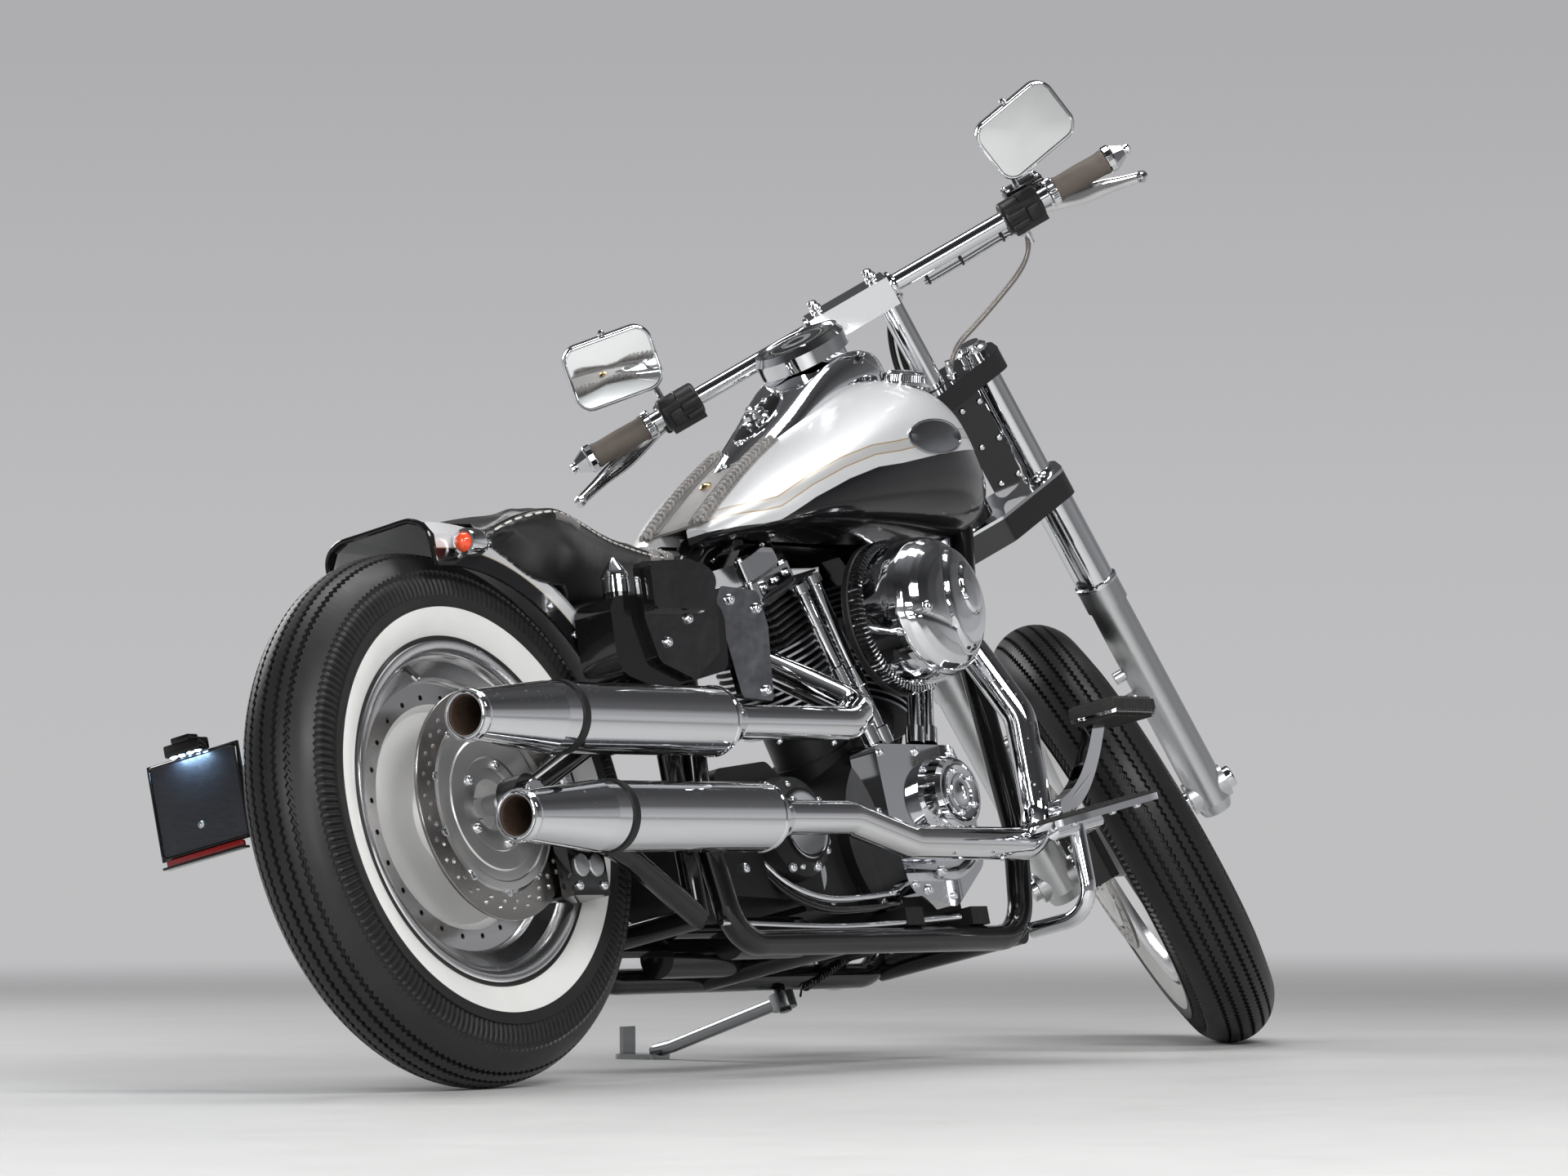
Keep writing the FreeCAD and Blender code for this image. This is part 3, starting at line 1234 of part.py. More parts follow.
cover_face = -150 - float(d.seat_gap)
cover_plate = fused("side_cover_set", [
    plate("side_cover_plate", [(276, 560, 14), (292, 504, 16), (362, 482, 16), (424, 520, 14),
                               (440, 596, 12), (428, 632, 12), (396, 642, 12), (284, 634, 10)], 10,
          side_plane(cover_face)),
    plate("side_cover_box", [(282, 570, 10), (404, 572, 14), (430, 618, 14), (400, 634, 12),
                             (288, 628, 8)], 24, side_plane(cover_face))])
post_plate = plate("post_plate", [(502, 470, 8), (570, 466, 8), (588, 566, 10), (580, 614, 12),
                                  (498, 618, 12), (482, 596, 10)], 8, side_plane(-120))
post_stud = rod("post_stud", 8, (530, -22.4, 606), (530, -121, 606))
piece("side_cover", grouped("side_cover_pair", [cover_plate, fused("post_set", [post_plate, post_stud])]))

# Tail lamp bar, signals, licence plate and their bracket
plate_x = -120
bracket_y = float(axle_end) + float(d.seat_gap)
bracket = bent_tube([(0, bracket_y + 13, axle_z), (-50, 196, 350), (plate_x + 14, 240, 420)], [40], 9)
board = block("plate_board", (plate_x, 202, 362), (plate_x + 4, 352, 484))
bracket_cap = rod("bracket_foot", 16, (0, bracket_y, axle_z), (0, bracket_y + 20, axle_z))
piece("plate_bracket", fused("bracket_all", [shaped("bracket_arm", bracket), board, bracket_cap,
                                             rod("bracket_stub", 9, (plate_x + 2, 240, 420),
                                                 (plate_x + 14, 240, 420))]))
led = block("plate_light", (plate_x - 18, 248, 484.3), (plate_x + 4, 306, 500))
tail = block("tail_bar", (plate_x - 12, 212, 350), (plate_x + 4, 344, 361.7))


def signal(side):
    """Bullet turn signal on the fender's edge."""
    name = "left" if side > 0 else "right"
    return turned(name + "_signal", [(0, 0), (0, 14), (6, 17), (30, 17), (44, 12), (50, 0)],
                  turn_axis((40, side * 104, 664), (-1, 0, 0)))


signals = [fused(f"signal_set_{side}", [signal(side), rod(
    f"signal_stem_{side}", 5, (20, side * 84.3, 654), (20, side * 104, 654))]) for side in (-1, 1)]
piece("rear_lamps", grouped("lamp_group", [led, tail] + signals))

# Rear caliper, belt and springs
caliper_body = block("rear_caliper_block", (96, -108.7, 216), (170, -64, 292))
caliper_gap = rotor_room("rear_rotor_room", Vector(0, 0, float(d.tyre_radius)), -float(d.rotor_offset))
piece("rear_caliper", carved("rear_caliper_all", caliper_body, [caliper_gap]))

shock_parts = []
for name, side in (("left", 1), ("right", -1)):
    shock_parts.append(fused(name + "_shock", [
        rod(name + "_shock_can", 27, (470, side * 58, 168), (622.7, side * 58, 168)),
        rod(name + "_shock_rod", 9, (353.3, side * 58, 178), (472, side * 58, 178))]))
piece("shocks", grouped("shock_pair", shock_parts))

belt_y = pulley_start + 4
belt_width = float(d.pulley_width) - 8
rear_centre = Vector(0, belt_y, float(d.tyre_radius))
front_centre = Vector(560, belt_y, 310)
front_pulley_radius = 44


def belt_loop(extra):
    """A face bounded by the belt line round both pulleys, grown by extra."""
    big = float(d.pulley_radius) + extra
    small = front_pulley_radius + extra
    span = front_centre - rear_centre
    tilt = math.atan2(span.z, span.x)
    swing = math.acos((big - small) / span.Length)

    def rim_point(centre, radius, angle):
        return centre + Vector(radius * math.cos(angle), 0, radius * math.sin(angle))

    top_big = rim_point(rear_centre, big, tilt + swing)
    top_small = rim_point(front_centre, small, tilt + swing)
    low_small = rim_point(front_centre, small, tilt - swing)
    low_big = rim_point(rear_centre, big, tilt - swing)
    return Part.Face(Part.Wire([
        Part.LineSegment(top_big, top_small).toShape(),
        Part.Arc(top_small, rim_point(front_centre, small, tilt), low_small).toShape(),
        Part.LineSegment(low_small, low_big).toShape(),
        Part.Arc(low_big, rim_point(rear_centre, big, tilt + math.pi), top_big).toShape()]))


belt_clearance = 0.5
belt_solid = belt_loop(belt_clearance + 5).cut(belt_loop(belt_clearance)).extrude(Vector(0, belt_width, 0))
piece("drive_belt", shaped("belt_form", belt_solid))


def footboard(side):
    """Oval board with its bracket and pivot."""
    name = "left" if side > 0 else "right"
    out_low = side * 218
    board_plate = plate(name + "_board", [(-118, 0, 30), (118, 0, 40), (118, side * 108, 50),
                                          (-118, side * 92, 40)], 9,
                        Placement(Vector(crank.x + 190, out_low, 282), Rotation(Vector(0, 1, 0), -9)))
    bracket_bar = shaped(name + "_board_bar", bent_tube([
        (crank.x + 192, side * (rail + float(d.rail_radius) + 0.3), rail_z + 6),
        (crank.x + 192, side * 236, rail_z + 6), (crank.x + 192, side * 236, 278)], [45], 11))
    return fused(name + "_board_set", [board_plate, bracket_bar,
                                       rod(name + "_board_pivot", 9, (crank.x + 132, side * 236, 266),
                                           (crank.x + 248, side * 236, 284.4))])


piece("footboards", grouped("board_pair", [footboard(1), footboard(-1)]))


def pedal(side):
    """Foot lever ahead of a board, with its rubber pad."""
    name = "left" if side > 0 else "right"
    arm = bent_tube([(crank.x + 180, side * 223, 303), (crank.x + 252, side * 230, 350),
                     (crank.x + 290, side * 236, 424)], [60], 8)
    pad = block(name + "_pedal_pad", (crank.x + 244, min(side * 226, side * 300), 420),
                (crank.x + 344, min(side * 226, side * 300) + 74, 440))
    shaft = rod(name + "_pedal_shaft", 12, (crank.x + 176, side * 213.5, 301.5),
                (crank.x + 176, side * 235, 301.5))
    return fused(name + "_pedal_set", [shaped(name + "_pedal_arm", arm), pad, shaft])


piece("foot_controls", grouped("pedal_pair", [pedal(1), pedal(-1)]))

# Side stand
floor_up = REST.Rotation.inverted().multVec(Vector(0, 0, 1))
foot_x = stand_pivot.x + float(d.stand_advance)
foot_y = stand_pivot.y + float(d.stand_reach)
foot_ground = Vector(foot_x, foot_y, floor_height(foot_x, foot_y))
foot_place = Placement(foot_ground, Rotation(Vector(0, 0, 1), floor_up))
stand_leg = float(d.stand_leg_radius)
foot = plate("stand_foot", [(-24, -34, 10), (24, -34, 10), (24, 34, 12), (-24, 34, 12)], 7, foot_place)
tab = block("stand_tab", (-14, 22, 0), (14, 28, 44), foot_place)
leg_low = foot_place.multVec(Vector(0, -20, stand_leg + 2))
leg_way = (leg_low - stand_pivot).normalize()
leg_top = stand_pivot + leg_way * 14
leg = shaped("stand_leg", bent_tube([leg_top, leg_low - leg_way * 40 + Vector(0, 0, -3), leg_low], [40],
                                    stand_leg))
boss = carved("stand_boss_ring", rod("stand_boss", 17, stand_pivot - stand_axis * 11,
                                     stand_pivot + stand_axis * 11),
              [rod("stand_bore", d.stand_pin_radius + d.seat_gap, stand_pivot - stand_axis * 20,
                   stand_pivot + stand_axis * 20)])
piece("side_stand", fused("stand_all", [foot, tab, leg, boss]), "stand")


def write_parts():
    """Place every sub-part as the machine stands, check it, and write its file."""
    for node, feature, frame in pieces:
        feature.Placement = FRAMES[frame].multiply(feature.Placement)
    doc.recompute()
    box = FreeCAD.BoundBox()
    for node, feature, frame in pieces:
        box.add(feature.Shape.BoundBox)
    shift = Placement(Vector(-box.Center.x, -box.Center.y, 0), Rotation())
    for node, feature, frame in pieces:
        feature.Placement = shift.multiply(feature.Placement)
    for item in doc.Objects:
        if "Invalid" in item.State or "Error" in item.State:
            raise RuntimeError(f"{item.Name} failed: {item.State}")
    os.makedirs("parts", exist_ok=True)
    for node, feature, frame in pieces:
        if feature.Shape.isNull() or not feature.Shape.isValid():
            raise RuntimeError(f"{node} has no valid shape")
        feature.Shape.exportStep(f"parts/{feature.Label}.step")
    print(len(pieces), "sub-parts, shift", shift.Base)
    return shift


SHIFT = write_parts()
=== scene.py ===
"""Looks of the chopper motorcycle: finishes, tyres, saddle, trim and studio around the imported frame."""
import json
import math
import bmesh
import bpy
from mathutils import Matrix, Vector
from mathutils.bvhtree import BVHTree


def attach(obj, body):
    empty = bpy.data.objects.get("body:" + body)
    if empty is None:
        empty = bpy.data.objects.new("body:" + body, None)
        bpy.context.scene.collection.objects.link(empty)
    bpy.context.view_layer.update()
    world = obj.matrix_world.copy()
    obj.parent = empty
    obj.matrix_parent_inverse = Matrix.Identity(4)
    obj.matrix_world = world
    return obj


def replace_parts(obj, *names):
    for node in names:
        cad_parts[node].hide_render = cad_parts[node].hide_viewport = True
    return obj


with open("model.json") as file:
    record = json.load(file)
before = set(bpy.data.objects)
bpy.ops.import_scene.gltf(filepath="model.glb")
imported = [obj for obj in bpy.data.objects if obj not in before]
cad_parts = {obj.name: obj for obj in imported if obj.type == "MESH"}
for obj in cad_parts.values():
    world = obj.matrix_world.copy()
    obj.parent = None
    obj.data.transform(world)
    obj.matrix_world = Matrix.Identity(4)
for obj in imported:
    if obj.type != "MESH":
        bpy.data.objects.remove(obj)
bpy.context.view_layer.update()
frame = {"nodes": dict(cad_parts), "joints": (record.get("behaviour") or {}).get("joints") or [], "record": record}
joints = {joint["name"]: joint for joint in frame["joints"]}

# Driving sizes, in metres and degrees
TYRE_RADIUS = 0.3365
RAKE = math.radians(32)
CRANK = Vector((0.868, 0, 0.300))
CYLINDER_TILT = math.radians(22.5)
SIDES = {1: "left", -1: "right"}


def axes_frame(origin, forward, left, up):
    """A matrix whose columns are the given axes, at origin."""
    matrix = Matrix((forward, left, up)).transposed().to_4x4()
    matrix.translation = origin
    return matrix


def bike_frame():
    """The upright machine's own frame: floor under the rear axle, X forward, Y left."""
    spin = joints["rear_wheel_spin"]
    left = Vector(spin["axis"]).normalized()
    steer_up = Vector(joints["steering_turn"]["axis"]).normalized()
    square = left.cross(steer_up).normalized()
    forward = square * math.cos(RAKE) - steer_up * math.sin(RAKE)
    up = forward.cross(left)
    return axes_frame(Vector(spin["pos_m"]) - up * TYRE_RADIUS, forward, left, up)


def fork_frame():
    """The turned fork's frame: Z up the steering axis, Y to its left."""
    up = Vector(joints["steering_turn"]["axis"]).normalized()
    left = Vector(joints["front_wheel_spin"]["axis"]).normalized()
    return axes_frame(Vector(joints["steering_turn"]["pos_m"]), left.cross(up), left, up)


def wheel_frame(which, parent):
    """A wheel's frame: at its hub, with the axle along Y."""
    matrix = parent.copy()
    matrix.translation = Vector(joints[which + "_wheel_spin"]["pos_m"])
    return matrix


BIKE = bike_frame()
FORK = fork_frame()
REAR = wheel_frame("rear", BIKE)
FRONT = wheel_frame("front", FORK)


# Node material helpers
class Nodes:
    """A node tree being built, with short calls for the common nodes."""

    def __init__(self, tree):
        self.nodes = tree.nodes
        self.links = tree.links

    def put(self, source, target):
        """Link a node's output to an input, or set the input to a plain value."""
        if isinstance(source, bpy.types.NodeSocket):
            self.links.new(source, target)
        elif target.type == "RGBA":
            target.default_value = (*source, 1)
        else:
            target.default_value = source

    def add(self, kind, inputs=None, **settings):
        """A new node, with its settings and some of its inputs."""
        node = self.nodes.new("ShaderNode" + kind)
        for key, value in settings.items():
            setattr(node, key, value)
        for key, value in (inputs or {}).items():
            self.put(value, node.inputs[key])
        return node

    def stretched(self, source, scale):
        """Coordinates scaled by a factor for each axis."""
        return self.add("Mapping", {"Vector": source, "Scale": scale}).outputs["Vector"]

    def noise(self, source, scale, detail=3.0, roughness=0.5):
        inputs = {"Vector": source, "Scale": scale, "Detail": detail, "Roughness": roughness}
        return self.add("TexNoise", inputs).outputs["Fac"]

    def cells(self, source, scale):
        return self.add("TexVoronoi", {"Vector": source, "Scale": scale}).outputs["Distance"]

    def math(self, operation, first, second=0.0):
        return self.add("Math", {0: first, 1: second}, operation=operation).outputs[0]

    def radius(self, first, second):
        """The distance from an axis, from the two coordinates across it."""
        squares = [self.math("MULTIPLY", value, value) for value in (first, second)]
        return self.math("SQRT", self.math("ADD", *squares))

    def parts(self, source):
        """The X, Y and Z of a vector."""
        return self.add("SeparateXYZ", {0: source}).outputs

    def ramp(self, source, stops, mode="LINEAR"):
        """A tone that follows the stops, each (position, colour)."""
        node = self.add("ValToRGB", {0: source})
        node.color_ramp.interpolation = mode
        ramp = node.color_ramp.elements
        while len(ramp) < len(stops):
            ramp.new(0.5)
        for element, (position, color) in zip(ramp, stops):
            element.position = position
            element.color = (*color, 1)
        return node.outputs[0]

    def between(self, source, low, high, blur=0.0004):
        """1 where source lies between two values, with a soft edge."""
        steps = [self.add("MapRange", {0: source, 1: edge - blur, 2: edge + blur, 3: start,
                                       4: stop}).outputs[0]
                 for edge, start, stop in ((low, 0, 1), (high, 1, 0))]
        return self.math("MULTIPLY", *steps)

    def mix(self, factor, first, second):
        """A colour between two, each a colour or a node's output."""
        return self.add("Mix", {0: factor, 6: first, 7: second}, data_type="RGBA").outputs[2]


class Finish(Nodes):
    """A material being built on the common surface shader."""

    def __init__(self, name, color, metallic=0.0, roughness=0.5, **inputs):
        self.mat = bpy.data.materials.new(name)
        self.mat.use_nodes = True
        super().__init__(self.mat.node_tree)
        self.shader = self.nodes["Principled BSDF"]
        self.color(color)
        self.put(metallic, self.shader.inputs["Metallic"])
        self.put(roughness, self.shader.inputs["Roughness"])
        for key, value in inputs.items():
            self.put(value, self.shader.inputs[key.replace("_", " ")])
        self.height = None

    def place(self, matrix=None):
        """Coordinates in metres: the object's own, or those of a frame given as a matrix."""
        source = self.add("TexCoord").outputs["Object"]
        if matrix is None:
            return source
        inputs = {"Vector": source, "Location": matrix.translation, "Rotation": matrix.to_euler()}
        return self.add("Mapping", inputs, vector_type="TEXTURE").outputs["Vector"]

    def color(self, source):
        self.put(source, self.shader.inputs["Base Color"])

    def rough(self, source, low, high):
        """Roughness that follows a grey source between two values."""
        gloss = self.add("MapRange", {0: source, 3: low, 4: high})
        self.put(gloss.outputs[0], self.shader.inputs["Roughness"])

    def bump(self, source, strength, depth=0.001):
        """Relief from a grey source, on top of the relief before it."""
        inputs = {"Height": source, "Strength": strength, "Distance": depth}
        if self.height is not None:
            inputs["Normal"] = self.height
        self.height = self.add("Bump", inputs).outputs["Normal"]
        self.put(self.height, self.shader.inputs["Normal"])


def simple(name, color, metallic, roughness, tones=None, gloss=None, bumps=(), **inputs):
    """A finish varied by noise: tones is (noise, first, second), gloss (noise, low, high)."""
    f = Finish(name, color, metallic, roughness, **inputs)
    p = f.place()
    if tones:
        f.color(f.mix(f.noise(p, *tones[0]), *tones[1:]))
    if gloss:
        f.rough(f.noise(p, *gloss[0]), *gloss[1:])
    for pattern, strength, depth in bumps:
        grain = f.noise(p, *pattern) if isinstance(pattern, tuple) else f.cells(p, pattern)
        f.bump(grain, strength, depth)
    return f.mat


def shades(color, low, high):
    """A darker and a lighter tone of one colour."""
    return tuple(c * low for c in color), tuple(c * high for c in color)


def chrome(name="chrome", color=(0.80, 0.81, 0.83), low=0.035, high=0.12):
    """Plated metal, with faint wiping marks and specks of dust in its gloss."""
    f = Finish(name, color, 1.0, low)
    p = f.place()
    f.rough(f.math("MULTIPLY", f.noise(p, 14, 4), f.noise(p, 190, 2)), low, high)
    f.bump(f.noise(p, 35, 2), 0.02, 0.0006)
    return f.mat


def cast_alloy(name, color, low, high, grain=900, depth=0.00025, metallic=1.0):
    """Cast or blasted metal with a fine grain."""
    return simple(name, color, metallic, low, None, ((60, 3), low, high), (((grain, 2), 0.25, depth),))


def rubber(name, color, roughness=0.62, grain=700):
    """Dull rubber or plastic, a little patchy."""
    return simple(name, color, 0.0, roughness, ((18, 4), *shades(color, 0.6, 1.3)), None,
                  (((grain, 3), 0.2, 0.0003),), Specular_IOR_Level=0.3)


MATERIALS = {
    "chrome": chrome(),
    "black": simple("black_gloss", (0.006, 0.006, 0.0065), 0.0, 0.08, None, ((25, 3), 0.08, 0.2),
                    (((320, 2), 0.06, 0.0002),), Coat_Weight=0.5, Coat_Roughness=0.05,
                    Specular_IOR_Level=0.3),
    "engine": simple("wrinkle_black", (0.010, 0.010, 0.0105), 0.0, 0.42, None, ((40, 3), 0.34, 0.55),
                     (((1500, 2), 0.3, 0.0003),), Specular_IOR_Level=0.3),
    "satin": cast_alloy("satin_alloy", (0.66, 0.67, 0.68), 0.27, 0.33, 1300, 0.0001),
    "plastic": rubber("black_plastic", (0.016, 0.016, 0.017), 0.4, 1200),
    "belt": rubber("belt_rubber", (0.02, 0.02, 0.02)),
    "grip": rubber("grip_rubber", (0.125, 0.105, 0.09)),
    "steel": cast_alloy("disc_steel", (0.52, 0.52, 0.53), 0.16, 0.3),
    "polished": chrome("polished_alloy", (0.78, 0.78, 0.79), 0.10, 0.24),
    "thread": simple("white_thread", (0.72, 0.71, 0.68), 0.0, 0.6,
                     ((160, 3), *shades((0.72, 0.71, 0.68), 0.7, 1.0)), None, (((2600, 2), 0.5, 0.0002),)),
    "rusty": simple("rusty_inside", (0.0456, 0.0228, 0.0114), 0.1, 0.85,
                    ((120, 5, 0.7), (0.0084, 0.0053, 0.0038), (0.0798, 0.0399, 0.0209)), None,
                    (((420, 4), 0.6, 0.001),)),
    "glass": simple("clear_glass", (0.96, 0.97, 0.97), 0.0, 0.02, bumps=(((30, 2), 0.01, 0.0002),),
                    Transmission_Weight=1.0, IOR=1.2),
    "tread": simple("tread_rubber", (0.02, 0.02, 0.02), 0.0, 0.55,
                    ((70, 5), (0.012, 0.012, 0.012), (0.045, 0.043, 0.041)), None,
                    (((1200, 3), 0.3, 0.0003),), Specular_IOR_Level=0.3),
    "hose": simple("hose_braid", (0.16, 0.14, 0.125), 0.2, 0.3,
                   ((1500, 1), (0.08, 0.07, 0.065), (0.27, 0.245, 0.22)), None, (((1500, 1), 0.4, 0.0003),),
                   Coat_Weight=0.5, Coat_Roughness=0.1),
    "saddle": simple("saddle_leather", (0.011, 0.0105, 0.0105), 0.0, 0.34,
                     ((11, 4), (0.006, 0.006, 0.006), (0.019, 0.0175, 0.0165)), ((11, 4), 0.26, 0.44),
                     ((620, 0.35, 0.0003), ((60, 4), 0.25, 0.0006)), Coat_Weight=0.25, Coat_Roughness=0.28),
    "strap": simple("grey_leather", (0.10, 0.092, 0.088), 0.0, 0.5,
                    ((24, 5, 0.6), (0.085, 0.079, 0.076), (0.30, 0.285, 0.275)), ((24, 5, 0.6), 0.36, 0.6),
                    ((520, 0.4, 0.0004), ((90, 4), 0.3, 0.0006)), Coat_Weight=0.15, Coat_Roughness=0.3),
    "dish": cast_alloy("dish_alloy", (0.90, 0.90, 0.89), 0.42, 0.56, 1400, 0.00015, 0.45),
}
SLOT_FINISH = {"tyre": "belt", "wheel_alloy": "satin", "disc_steel": "steel", "black_paint": "black",
               "engine_black": "engine", "chrome": "chrome", "tank_paint": "black", "leather": "plastic",
               "strap_leather": "plastic", "satin_alloy": "satin", "grip_rubber": "grip",
               "black_plastic": "plastic", "lamp_lens": "plastic", "belt_rubber": "belt"}


def dress(node, material):
    """Give a carried-over node one finish."""
    mesh = frame["nodes"][node].data
    mesh.materials.clear()
    mesh.materials.append(material)


for part in frame["record"]["subparts"]:
    dress(part["node"], MATERIALS[SLOT_FINISH[part["material_slot"]]])


# Mesh helpers
def turns(steps):
    """Even angles round a circle."""
    return [2 * math.pi * step / steps for step in range(steps)]


def solid(name, points, faces, place, body, material, sharp=35):
    """A mesh piece drawn in a frame, smooth but for its sharp edges, that rides on a body."""
    mesh = bpy.data.meshes.new(name)
    mesh.from_pydata([tuple(place @ Vector(point)) for point in points], [], faces)
    mesh.validate()
    form = bmesh.new()
    form.from_mesh(mesh)
    bmesh.ops.recalc_face_normals(form, faces=form.faces)
    form.to_mesh(mesh)
    form.free()
    mesh.shade_smooth()
    mesh.set_sharp_from_angle(angle=math.radians(sharp))
    mesh.materials.append(MATERIALS[material] if isinstance(material, str) else material)
    piece = bpy.data.objects.new(name, mesh)
    bpy.context.scene.collection.objects.link(piece)
    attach(piece, body)
    return piece


def skin_faces(rows, columns, closed_rows=True, closed_columns=False):
    """Quads of a grid of points stored row after row."""
    faces = []
    for row in range(rows if closed_rows else rows - 1):
        after = (row + 1) % rows
        for column in range(columns if closed_columns else columns - 1):
            beside = (column + 1) % columns
            faces.append((row * columns + column, row * columns + beside,
                          after * columns + beside, after * columns + column))
    return faces


def capped(rows, columns, first=True, last=True):
    """Faces of a tube of rings, closed at its ends."""
    faces = skin_faces(rows, columns, False, True)
    if first:
        faces.append(tuple(range(columns)))
    if last:
        faces.append(tuple(range((rows - 1) * columns, rows * columns)))
    return faces


def lathe(name, profile, place, body, material, steps=96, sharp=35):
    """A turned piece: the profile lists (across, radius) and turns about the frame's Y axis."""
    points = [(radius * math.sin(angle), across, radius * math.cos(angle))
              for angle in turns(steps) for across, radius in profile]
    return solid(name, points, skin_faces(steps, len(profile)), place, body, material, sharp)


def joined(name, pieces):
    """Several mesh pieces of one body and one finish as one object."""
    first = pieces[0]
    mesh = bmesh.new()
    for piece in pieces:
        mesh.from_mesh(piece.data)
    mesh.to_mesh(first.data)
    mesh.free()
    for piece in pieces[1:]:
        bpy.data.objects.remove(piece)
    first.name = name
    return first


def tooth(step, per_tooth):
    """A triangle wave between 0 and 1 along the steps."""
    share = (step % per_tooth) / per_tooth
    return 2 * share if share < 0.5 else 2 - 2 * share


# Tyres
CROWN = 0.062
TEETH = 190
TOOTH_STEPS = 4
GROOVES = (0.0, 0.26, 0.5)
GROOVE_DEPTH = 0.0058
GROOVE_HALF = 0.0030
SAW = 0.0036
WHITE_INNER = 0.2215
WHITE_OUTER = 0.2555


def tyre_section():
    """Half of the tread's section: rows of across, radius, sink, saw, rib and lean."""
    middle = TYRE_RADIUS - CROWN
    rows = []

    def crown_point(lean, sink=0.0, saw=0.0, rib=0.0):
        rows.append((CROWN * math.sin(lean), middle + CROWN * math.cos(lean), sink, saw, rib, lean))

    span = math.radians(64)
    gap = GROOVE_HALF / CROWN
    for before, share in zip(GROOVES, GROOVES[1:]):
        centre = share * span
        start = before * span + gap
        for part in (0.25, 0.5, 0.75):
            crown_point(start + (centre - gap - start) * part)
        crown_point(centre - gap, 0, SAW)
        crown_point(centre - gap * 0.6, GROOVE_DEPTH, SAW)
        crown_point(centre + gap * 0.6, GROOVE_DEPTH, SAW)
        crown_point(centre + gap, 0, SAW)
    last = GROOVES[-1] * span + gap
    for part in (0.3, 0.6, 0.85):
        crown_point(last + (span - last) * part)
    crown_point(span * 0.98, 0, SAW)
    crown_point(span, 0.003, SAW)
    crown_point(span + 0.07, 0.004, SAW * 0.5)
    for part in (0.0, 0.2, 0.4, 0.6, 0.8, 1.0):
        fade = 1 - abs(part - 0.45) * 0.9
        crown_point(span + 0.1 + part * 0.42, 0.0018, 0, 0.0052 * fade)
    return rows, middle


def tyre(which, place):
    """White-banded tyre with sawtooth ribs on its tread and a serrated shoulder."""
    rows, middle = tyre_section()
    lowest = rows[-1]
    side = []
    for part in (0.06, 0.12, 0.3, 0.45):
        lean = lowest[5] + (math.pi / 2 + 0.12 - lowest[5]) * part
        side.append((CROWN * math.sin(lean) + 0.0006, middle + CROWN * math.cos(lean), 0, 0, 0))
    side += [(CROWN - 0.0012, WHITE_OUTER + 0.0025, 0, 0, 0), (CROWN - 0.0022, WHITE_OUTER + 0.0008, 0, 0,
            0),
             (CROWN - 0.0012, WHITE_OUTER, 0, 0, 0), (CROWN - 0.0022, 0.247, 0, 0, 0),
             (CROWN - 0.0052, 0.236, 0, 0, 0), (CROWN - 0.0095, 0.227, 0, 0, 0),
             (CROWN - 0.0125, WHITE_INNER, 0, 0, 0), (CROWN - 0.0132, WHITE_INNER - 0.0006, 0, 0, 0),
             (CROWN - 0.0150, 0.2182, 0, 0, 0), (0.0475, 0.2145, 0, 0, 0), (0.0450, 0.2060, 0, 0, 0)]
    half = [row[:5] for row in rows] + side
    section = [(-row[0],) + row[1:] for row in reversed(half)]
    for share, sink in ((-1, 0), (-0.6, GROOVE_DEPTH), (0.6, GROOVE_DEPTH), (1, 0)):
        lean = share * GROOVE_HALF / CROWN
        section.append((CROWN * math.sin(lean), middle + CROWN * math.cos(lean), sink, SAW, 0))
    section += half
    steps = TEETH * TOOTH_STEPS
    points = []
    for step, angle in enumerate(turns(steps)):
        wave = tooth(step, TOOTH_STEPS)
        block = 1 if step % TOOTH_STEPS < TOOTH_STEPS // 2 else 0
        for across, radius, sink, saw, rib in section:
            drop = sink + rib * block
            reach = radius - middle
            long = math.hypot(across, reach)
            a = across - drop * across / long + saw * (wave - 0.5) * reach / long
            r = radius - drop * reach / long - saw * (wave - 0.5) * across / long
            points.append((r * math.sin(angle), a, r * math.cos(angle)))
    piece = solid(which + "_tyre_tread", points, skin_faces(steps, len(section)), place, which + "_wheel",
                  tyre_rubber(place, which), 50)
    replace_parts(piece, which + "_tyre")


def tyre_rubber(place, which):
    """Black rubber, with the white band on its sides picked out by radius."""
    f = Finish(which + "_tyre_rubber", (0.02, 0.02, 0.021), 0.0, 0.55, Specular_IOR_Level=0.28)
    p = f.place(place)
    x, _, z = f.parts(p)
    radius = f.radius(x, z)
    white = f.between(radius, WHITE_INNER, WHITE_OUTER, 0.0003)
    black = f.mix(f.noise(p, 30, 5), (0.008, 0.008, 0.0085), (0.019, 0.019, 0.0195))
    dust = f.mix(f.noise(p, 9, 5, 0.6), black, (0.026, 0.0255, 0.025))
    band = f.mix(f.noise(p, 22, 4), (0.80, 0.80, 0.78), (0.70, 0.70, 0.68))
    f.color(f.mix(white, dust, band))
    f.rough(f.noise(p, 45, 3), 0.32, 0.50)
    f.bump(f.noise(p, 900, 3), 0.18, 0.0003)
    return f.mat


tyre("rear", REAR)
tyre("front", FRONT)


